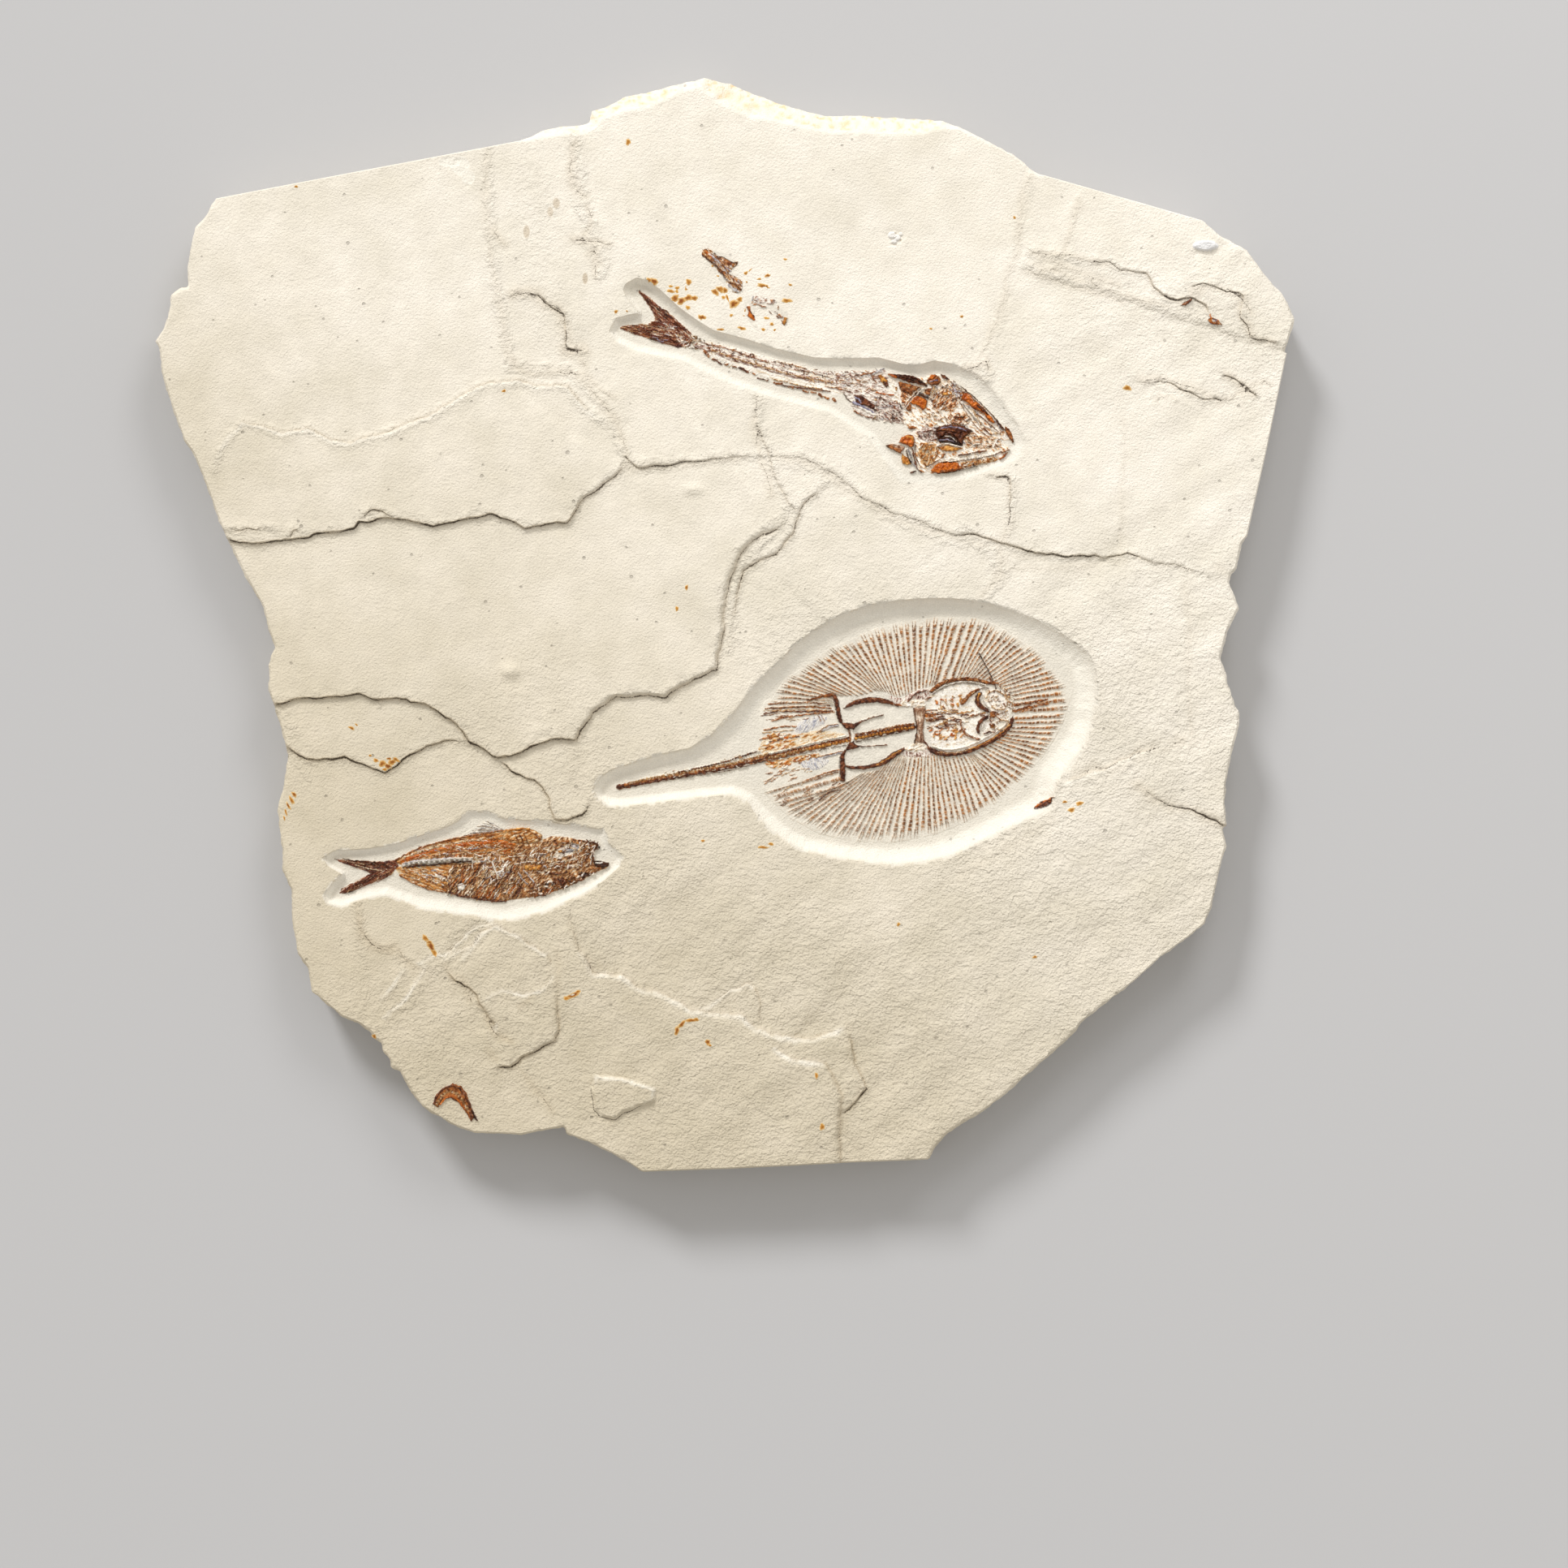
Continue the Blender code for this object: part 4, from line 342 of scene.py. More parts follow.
# Cracks: half width, depth, darkness, line.
CRACKS = [
    (0.45, 0.35, 0.35, [
        (-117.4, 231.6), (-118.2, 201.6), (-113.8, 172), (-109.4, 145.6), (-106.2, 130.8),
    ]),
    (0.5, 0.5, 0.6, [(-114.6, 194.8), (-112.2, 190.8), (-109.4, 187.6)]),
    (0.5, 0.7, 0.8, [
        (-105.4, 162.8), (-97.4, 163.6), (-92.6, 162), (-89.4, 158.8), (-84.2, 157.2),
        (-80.6, 154.4), (-78.2, 147.6), (-78.2, 135.6),
    ]),
    (0.6, 0.8, 0.9, [(-79.8, 135.6), (-75, 134.4), (-70.2, 134.8)]),
    (0.5, 0.5, 0.6, [
        (-74.2, 237.6), (-75.8, 231.6), (-76.2, 223.6), (-74.2, 215.6), (-69.4, 210.4),
    ]),
    (0.5, 0.6, 0.7, [(-74.2, 189.6), (-70.2, 188.8), (-65.4, 188.8), (-57.4, 187.6)]),
    (0.5, 0.6, 0.7, [(-66.2, 182.8), (-64.2, 184.4), (-63.4, 178.8)]),
    (0.4, 0.4, 0.5, [
        (-77.4, 125.6), (-69.4, 119.6), (-59.4, 107.6), (-53.4, 99.6), (-49.4, 87.6), (-47.8, 79.6),
    ]),
    (0.35, 0.3, 0.3, [(-100.6, 127.2), (-89.4, 126.4), (-77.4, 125.6)]),
    (0.5, 0.6, 0.8, [
        (-180.6, -145.2), (-179.4, -151.2), (-177.4, -154.4), (-173.4, -158.4), (-169.4, -160.4),
        (-164.6, -160.4),
    ]),
    (0.45, 0.5, 0.6, [(-163.4, -158), (-159.4, -163.2), (-153.4, -169.2)]),
    (0.35, 0.35, 0.5, [
        (-100.6, -220.4), (-98.6, -223.2), (-93.4, -229.2), (-89.4, -234.4), (-85.4, -239.6),
    ]),
    (0.5, 0.5, 0.6, [
        (202.6, -79.2), (210.6, -84.8), (218.6, -89.2), (232.6, -92.4), (238.6, -95.2),
        (246.6, -99.2),
    ]),
    (0.4, 0.25, 0.15, [(161, -96.8), (111.4, -127.2), (70.2, -150.4)]),
    (0.5, 0.5, 0.5, [
        (224.6, -57.2), (202.6, -64.4), (188.6, -70.8), (182.6, -70.4), (174.6, -74.4),
    ]),
    (0.4, 0.3, 0.25, [(196.2, 99.6), (197, 83.6), (195.8, 63.6), (195, 35.6)]),
    (0.4, 0.3, 0.3, [(225.8, 18.8), (229, -0.4), (228.2, -28.4), (230.6, -58)]),
    (0.45, 0.4, 0.5, [(15.4, 117.2), (14.6, 99.6), (16.6, 83.6), (20.6, 73.6), (22.6, 63.6)]),
    (0.4, 0.35, 0.4, [(-50.2, 77.6), (-41.4, 76.8), (-29.4, 78.4), (-9.4, 80.4), (10.6, 82.8)]),
    (0.45, 0.35, 0.35, [
        (22.6, 82.8), (36.6, 81.2), (46.6, 76.4), (58.6, 67.6), (70.6, 59.6), (83.4, 51.6),
        (98.6, 46.8), (108.6, 43.6),
    ]),
    (0.35, 0.25, 0.5, [
        (151, 178), (162.6, 174.8), (174.6, 169.6), (186.6, 165.2), (202.6, 160.4), (218.6, 156.4),
    ]),
    (0.35, 0.25, 0.5, [(154.6, 180.4), (166.6, 176.8), (180.6, 171.2), (194.6, 166.8)]),
    (0.4, 0.4, 0.5, [
        (130.2, 74.4), (138.6, 71.6), (140.2, 66.8), (141, 55.6), (139.8, 47.6), (136.6, 41.6),
    ]),
    (0.4, 0.35, 0.4, [(133, 40.4), (137, 31.6), (133.8, 21.6), (125.8, 13.6)]),
    (0.5, 0.5, 0.6, [
        (230.6, 163.6), (238.6, 166.8), (247.4, 165.2), (254.6, 160.4), (258.6, 154.8),
    ]),
    (0.35, 0.3, 0.3, [(242.6, 27.6), (249.8, 22.8)]),
    (0.4, 0.3, 0.3, [(137, 27.6), (162.6, 27.6), (188.6, 30.8), (198.6, 31.6)]),
    (0.35, 0.3, 0.25, [(108.6, 43.6), (122.6, 40.4), (138.6, 34.8), (158.6, 31.6)]),
    (0.4, 0.4, 0.5, [(-138.2, -168.4), (-133.4, -173.2), (-128.6, -178), (-125.4, -186.4)]),
    (0.4, 0.4, 0.5, [(-181.4, -136.4), (-181, -145.2)]),
    (0.35, 0.35, 0.4, [(-83, -160.4), (-82.2, -172.4), (-82.6, -188.4), (-83.4, -197.2)]),
    (0.35, 0.3, 0.3, [(-77.4, -144.4), (-74.2, -156.4), (-68.6, -164.4), (-61.4, -170.4)]),
    (0.35, 0.3, 0.3, [(57, -230.4), (55, -241.2), (55.4, -252.4), (55.8, -262.4)]),
    (0.35, 0.3, 0.35, [
        (61, -198.4), (60.6, -212.4), (67.4, -224.4), (65.8, -232.4), (59.4, -241.2),
        (57.8, -250.4),
    ]),
    (0.4, 0.2, 0.42, [
        (150.2, 220.8), (146.6, 213.2), (144.6, 199.2), (144.2, 183.2), (140.2, 178.8),
        (136.6, 158.4), (129.8, 138.8), (124.6, 131.6),
    ]),
    (0.3, 0.2, 0.6, [(150.8, 182.9), (161, 182.4), (171.6, 181.4), (180.6, 179.6), (187.8, 177.5)]),
    (0.3, 0.2, 0.5, [(149.8, 173.2), (162.6, 169.2), (178.6, 164), (194.6, 159.6)]),
    (0.35, 0.3, 0.7, [(155.8, 175.2), (159, 174.4), (162.6, 174.8)]),
    (0.35, 0.4, 0.8, [(-117.6, -193.2), (-116, -198), (-112.2, -202.4), (-105.4, -205.6)]),
    (0.3, 0.3, 0.6, [(-101.4, -188.4), (-97.4, -185.2), (-95, -182.8)]),
    (0.3, 0.3, 0.5, [(-117.4, -210), (-114.2, -211.6), (-115.8, -213.2), (-112.6, -214.8)]),
    (0.35, 0.3, 0.5, [(-73.8, 134.8), (-72.2, 132.4), (-69, 126.8)]),
    (0.35, 0.3, 0.6, [
        (-68.6, 205.6), (-66.6, 201.6), (-66.2, 198.4), (-68.6, 193.6), (-72, 189.2),
    ]),
    (0.35, 0.3, 0.6, [(-65, 180.4), (-63.8, 175.6), (-63.4, 171.6)]),
    (0.35, 0.25, 0.5, [
        (-104.6, 131.6), (-103.8, 126.4), (-95.4, 123.2), (-81.4, 124.4), (-69.4, 123.2),
        (-62.6, 116.8), (-54.6, 112),
    ]),
    (0.35, 0.2, 0.4, [(174.2, 210), (171.4, 199.6), (168.2, 187.6), (165.4, 176.8)]),
    (0.35, 0.4, 0.85, [(246.2, 123.2), (249, 121.2), (253, 119.2), (256.2, 117.2)]),
    (0.35, 0.4, 0.85, [(252.6, 117.2), (254.6, 116.6), (258.2, 114.6), (261.6, 112.6)]),
    (0.3, 0.25, 0.45, [(256.6, 117.4), (260.6, 118.6), (266.2, 119.2)]),
    (0.3, 0.3, 0.5, [(234.6, 111.6), (239.4, 110.8), (244.6, 110.8)]),
    (0.35, 0.45, 0.85, [
        (255.4, 162), (254.6, 156.4), (254.2, 151.6), (257, 146.8), (259.4, 143.2), (262.6, 140.6),
        (267.4, 140), (271, 139.8),
    ]),
    (0.4, 0.4, 0.6, [
        (205.4, 119.9), (212.3, 120.9), (220.1, 120.3), (224, 117.9), (229.9, 116), (235.8, 114),
        (243.6, 110.1), (249.5, 111.1), (253.4, 114), (261.2, 114),
    ]),
    (0.35, 0.3, 0.5, [(212.3, 110.1), (216.2, 113), (221.1, 112), (222, 110.1)]),
    (0.3, 0.3, 0.5, [(257.3, 115), (260.6, 118), (265.1, 119.9), (269, 117.9)]),
    (0.4, 0.5, 0.85, [
        (118.6, 126), (123, 126.8), (126.6, 129.4), (128.4, 129.8), (129.4, 127.6), (129.7, 125.6),
    ]),
    (0.3, 0.3, 0.45, [(123.8, 124.4), (125, 122.4), (127.4, 120.6), (129.8, 120.8)]),
]

# Flaky veins and broken joints: half width, height of the flakes, line.
VEINS = [
    (12, 0.35, [(-95.4, 221.6), (-93.4, 187.6), (-83.8, 147.6)]),
    (3.2, 0.8, [
        (-117.4, 232.4), (-116.2, 207.6), (-115.4, 187.6), (-112.6, 167.6), (-110.2, 147.6),
        (-104.6, 126.8),
    ]),
    (4.2, 0.9, [(-75, 241.6), (-72.6, 215.6), (-68.6, 202.8), (-63.4, 187.6), (-60.6, 173.6)]),
    (2.2, 0.6, [(-106.2, 162.8), (-97.4, 163.6), (-87.4, 158), (-79.4, 147.6), (-75, 134.8)]),
    (3.4, 0.8, [(-101.4, 126.8), (-77.4, 125.2), (-66.2, 115.6), (-57.4, 104.4), (-49.4, 85.2)]),
    (2, 0.35, [
        (149.8, 217.6), (145, 195.6), (140.2, 175.6), (137, 155.6), (131.4, 135.6), (126.6, 129.2),
    ]),
    (3.2, 0.35, [
        (152.6, 177.2), (174.6, 170.8), (196.6, 165.2), (218.6, 156.4), (242.6, 148.4),
        (270.6, 140.4),
    ]),
    (2.2, 0.4, [(222.6, 160.4), (232.6, 162.8), (242.6, 158.8), (250.6, 154)]),
    (3.6, 0.8, [
        (22.6, 81.2), (42.6, 77.6), (60.6, 67.6), (84.6, 51.6), (106.6, 42.8), (118.6, 40.4),
    ]),
    (4.6, 0.9, [(117.8, 45.6), (132.6, 35.6), (135.4, 25.6), (127.4, 13.6)]),
    (2.2, 0.5, [(17.8, 115.6), (16.2, 99.6), (17.8, 83.6), (22.6, 63.6)]),
    (2.4, 0.5, [(225.8, 18.8), (228.2, -12.4), (229, -36.4), (230.6, -57.2)]),
    (4, 1, [(4.6, -6.4), (1.8, 11.6), (8.6, 27.6), (18.6, 43.6), (32.6, 57.6)]),
    (3, 0.7, [
        (-181.4, -132.4), (-180.2, -152.4), (-178.2, -172.4), (-179, -192.4), (-175.4, -206.4),
    ]),
    (4, 1.1, [
        (-117.4, -146.4), (-133.4, -152.4), (-139.4, -166.4), (-149.4, -178.4), (-161.4, -188.4),
        (-169.4, -198.4),
    ]),
    (3, 0.8, [(-139.4, -166.4), (-151.4, -168.4), (-161.4, -162.4), (-175.4, -156.4)]),
    (2.6, 0.8, [
        (-75.4, -146.4), (-69.4, -158.4), (-57.4, -168.4), (-37.4, -178.4), (-17.4, -188.4),
        (8.6, -194.4), (26.6, -208.4), (56.6, -214.4),
    ]),
    (2.6, 0.7, [(56.6, -212.4), (54.6, -232.4), (55.4, -252.4), (57, -263.6)]),
    (3.6, 0.9, [(160.6, -86.4), (176.6, -77.2), (202.6, -66.4), (224.6, -57.2)]),
    (2, 0.6, [(-131.4, -172.4), (-117.4, -190.4), (-113.4, -208.4), (-101.4, -219.6)]),
    (3.2, 0.8, [(118.6, 123.6), (125.8, 128.4), (129, 124.4), (127.4, 117.2)]),
    (3, 0.7, [(210.6, 119.6), (224.6, 115.6), (242.6, 111.6), (256.6, 116.4)]),
    (2.6, 0.6, [(-45.4, 79.6), (-17.4, 79.6), (18.6, 83.6)]),
    (2.6, 0.7, [(-221.4, -36.4), (-213.4, -52.4), (-215, -64.4), (-205.4, -76.4)]),
]

# Bumps, pits and stains: x, y, half length, half width, height, how white or, below 0, how brown.
BUMPS = [
    (84, 191, 6, 5, -0.5, 0), (82.3, 191.7, 2.3, 1.9, 1, 0.55), (84.9, 190.4, 1.8, 1.5, 0.9, 0.6),
    (83.4, 188.6, 1.6, 1.3, 0.7, 0.5), (86.6, 192.2, 1.2, 1, 0.6, 0.4),
    (82.8, 187.2, 2.2, 0.9, -0.6, 0), (83.9, 192.6, 0.8, 0.6, -0.8, 0.01),
    (86.4, 189.3, 0.7, 0.6, -0.8, 0.01), (-135, 227.8, 6.6, 2.6, -0.2, 0.9),
    (-130.4, 225.8, 4.6, 4.8, -0.2, 0.9), (-126.6, 220.2, 3.4, 3.8, -0.2, 0.7),
    (-97.9, 193.4, 1.8, 3.6, 0, -0.3), (-83.2, 207.4, 2, 3, 0, -0.3),
    (-86.2, 203.2, 1.7, 2.8, 0, -0.25), (-69, 170.4, 1.5, 3.2, 0, -0.35),
    (-14.5, 66.5, 7, 3.5, 1.1, 0), (-105.5, -23, 7, 4.5, 1, 0), (236.7, 186.4, 6.6, 2.5, 1.5, 1),
    (-98.5, 86, 2, 1.6, 0.7, 0), (-107, 101, 2.6, 1.8, 0.5, 0), (-17.4, 66.4, 5.2, 2.4, 1, 0),
    (-106, -23.4, 5, 3, 1.6, 0), (-101, -30, 2.2, 1.6, -0.6, 0), (42.6, -225.6, 3, 2.2, 0.4, 0),
    (-138, 45.6, 0.9, 0.8, -1.2, 0), (-58.6, 64.8, 0.9, 0.8, -1.2, 0),
    (-15.4, -172.8, 1.6, 0.9, -1, 0),
]

# The rims of the three recesses: x, y and the width of the slope inside the rim.
RAY_RIM = [
    (-65.5, -81, 4), (-61.5, -75, 4), (-56.5, -71.5, 4.5), (-45.5, -68, 5), (-32.5, -64, 6),
    (-18, -61, 7), (-7, -54.5, 8), (4, -43.5, 8.5), (14.5, -29.5, 8.5), (25.5, -19.5, 8.5),
    (32.5, -11.5, 8.5), (42.5, -3.5, 8.5), (52.5, 2.5, 8.5), (62.5, 7, 8.5), (72.5, 10, 8.5),
    (82.5, 11.5, 8.5), (92.5, 12.5, 8.5), (102.5, 13, 8.5), (112.5, 12.8, 8.5), (122.5, 11.8, 8.5),
    (132.5, 10, 9), (142.5, 7, 9.5), (152.5, 3, 10), (162.5, -2, 11), (173.5, -9.5, 11),
    (178.5, -14, 11), (181.5, -19.5, 11.5), (183.5, -28.5, 12), (183.5, -36.5, 12),
    (181.5, -51.5, 12), (177.5, -60.5, 12), (172.5, -66.5, 12), (164.5, -77, 12),
    (161.5, -89.5, 12), (154.5, -94.8, 12), (146.5, -97.5, 11), (130.5, -105.5, 10),
    (112.5, -114, 10), (102.5, -116.8, 10), (82.5, -119, 10), (62.5, -116.5, 8), (50.5, -114.5, 8),
    (38.5, -112, 8), (29.5, -107.5, 8), (22.5, -102, 7.5), (15.5, -95.5, 7.5), (10.5, -88, 6),
    (6.5, -85, 5), (2.5, -84, 5), (-13.5, -85.5, 5), (-25.5, -87, 5), (-49.5, -90, 5),
    (-57.5, -90, 5), (-63.5, -86, 4),
]

DEEP_FISH_RIM = [
    (-199, -115, 3), (-193, -111.5, 3), (-177, -110.5, 3.2), (-163.5, -108.5, 3.5),
    (-152, -104.5, 3.5), (-138, -100, 3.5), (-133, -97.5, 3.5), (-126.5, -92.5, 3.5),
    (-117.5, -92.5, 3.5), (-110, -95.5, 3.5), (-92.5, -97, 3.5), (-77.5, -98.5, 3.5),
    (-60, -101, 4), (-57, -108, 3.5), (-50.5, -115, 4), (-51.5, -119.5, 4), (-60, -127, 3),
    (-71, -133.5, 4), (-90, -142.5, 6.5), (-103.5, -145.5, 7), (-111, -146.5, 7), (-130.5, -143, 7),
    (-151.5, -140, 6.5), (-167.5, -133.5, 5), (-175.5, -135, 5), (-189.5, -139.5, 5),
    (-196.5, -137.5, 4), (-198, -133.5, 3.5), (-193.5, -127, 3), (-189, -123.5, 2.2),
    (-196, -119.5, 2.2),
]

LONG_FISH_RIM = [
    (-50.5, 165, 3.5), (-49, 168, 3), (-43.5, 171, 3), (-38, 169.5, 3), (-31.5, 164.5, 3.5),
    (-23, 156.5, 3.5), (-14, 150, 3.5), (-6, 145, 3.5), (11, 140.5, 3.5), (22.5, 136.5, 3.5),
    (44, 131.5, 3.5), (58.5, 131, 3.5), (75.5, 131.5, 3.5), (87, 128.5, 3), (93.5, 127.5, 3.5),
    (103, 130, 3.5), (112, 128.5, 5.5), (124.5, 123, 8), (131.5, 116.5, 9.5), (145, 98, 8),
    (148.5, 88.5, 7), (143.5, 80, 6), (118.5, 71, 4), (102.5, 68.5, 4), (86, 70, 4.5),
    (74.5, 85.5, 5), (70.5, 91.5, 5), (64, 96, 4.5), (50.5, 104.5, 4), (24.5, 111, 4.5),
    (4.5, 117.5, 4.5), (-13, 125.5, 4.5), (-21, 129.5, 4.5), (-45, 134.5, 4.5), (-54, 139, 4),
    (-57.5, 144.5, 3.5), (-54, 151, 3), (-48, 152.5, 2.5), (-43, 153.5, 2.5), (-49, 161, 3.5),
]

# Some of the fin rays, in order around the disc: root x, y, tip x, y.
FIN_RAYS = [
    (53.5, -39.5, 20, -41.5), (54.5, -35, 29.5, -27), (65, -35, 40, -20.5),
    (74.5, -32.5, 49.5, -13), (79, -33, 61, -8), (84.5, -35, 74.5, -2), (92, -32.5, 89.5, 1.5),
    (99.5, -30, 104, 3.5), (103.5, -29, 114.5, 3), (112.5, -26.5, 123, 3), (118, -25, 133, 0),
    (123, -26, 143.5, -6.5), (131.5, -27, 154, -13), (137, -30.5, 162, -23), (142, -35, 167.5, -30),
    (143, -39, 170, -37.5), (143, -46.5, 168, -45), (142, -51, 165.5, -51), (138, -54.5, 162, -57),
    (132.5, -57.5, 157, -65), (128.5, -61, 150, -72.5), (123, -64, 143, -80),
    (120, -65, 133.5, -88.5), (114.5, -66, 124.5, -94.5), (106, -65, 113, -100),
    (100, -65, 101, -104), (95.5, -66, 90.5, -106.5), (89.5, -66.5, 79, -107.5),
    (86, -65.5, 65.5, -107.5), (81, -68.5, 55.5, -105.5), (74.5, -72.5, 44.5, -102),
    (66.5, -74, 33, -96), (59, -79.5, 25, -89), (55.5, -72.5, 19.5, -83),
]

# The outlines of the beds that the two fish and the ray's skeleton lie on.
LONG_FISH = [
    (-43.5, 165.5), (-38.5, 162), (-31.5, 156.5), (-24, 151), (-18.5, 146), (-14, 140.5),
    (-3, 138.5), (14, 134), (31, 129), (42.5, 126), (53, 124), (70.5, 125), (78, 126.5),
    (90, 123.5), (98, 120.5), (103, 123.5), (107, 123.5), (113.5, 119), (123, 112), (131, 104),
    (138, 98), (142.5, 90), (136.5, 92), (136.5, 88), (140, 86), (136, 81.5), (116.5, 76),
    (98.5, 73.5), (90.5, 75), (87, 82.5), (78.5, 88), (85.5, 90), (91, 93.5), (94, 95.5), (89, 99),
    (74, 101.5), (61.5, 106.5), (54, 110.5), (39, 115), (21, 120), (11, 124.5), (-6, 130),
    (-13, 135.5), (-26, 137), (-43, 142), (-52, 145.5), (-52, 147), (-39, 148), (-35, 150),
    (-40, 157),
]

DEEP_FISH = [
    (-193, -115.5), (-177, -116.5), (-164.5, -115.5), (-154.5, -112.5), (-145.5, -108.5),
    (-132, -105.5), (-124.5, -100.5), (-117.5, -97.5), (-109, -101.5), (-97.5, -101), (-89.5, -105),
    (-82, -103.5), (-71, -107), (-63, -107.5), (-62, -109), (-65, -112.5), (-65.5, -115.5),
    (-58, -117), (-57.5, -118.5), (-62.5, -123), (-73, -128), (-85.5, -132.5), (-100.5, -135.5),
    (-113.5, -137), (-125, -135.5), (-139.5, -132), (-148, -132.5), (-155.5, -127), (-165.5, -124),
    (-179.5, -129.5), (-190.5, -132.5), (-183, -126), (-180, -123), (-189, -118.5),
]

RAY_BODY = [
    (147.4, -29.2), (149.8, -37.2), (159.4, -35.6), (161, -46), (147.4, -46), (145, -54.4),
    (137, -60.4), (126.6, -66.8), (110.6, -68.4), (98.6, -67.6), (86.6, -72.4), (74.6, -76.4),
    (63.4, -76.4), (61, -86.4), (46.6, -94.8), (36.6, -92.4), (26.6, -90), (17.8, -82.4),
    (15.4, -72.4), (14.6, -70), (2.6, -74.4), (-17.4, -78), (-37.4, -81.2), (-55.4, -84),
    (-59, -80.8), (-55, -77.2), (-37.4, -73.6), (-17.4, -70), (2.6, -65.2), (13.8, -60.4),
    (16.2, -54.4), (15.4, -44.4), (18.6, -36.4), (36.6, -32.4), (49.8, -30.8), (60.2, -33.2),
    (74.6, -33.2), (87.4, -36.4), (97.8, -28.4), (110.6, -23.6), (122.6, -22), (121.8, -12.4),
    (127.4, -10.8), (131.4, -17.2), (136.2, -26), (142.6, -27.6),
]

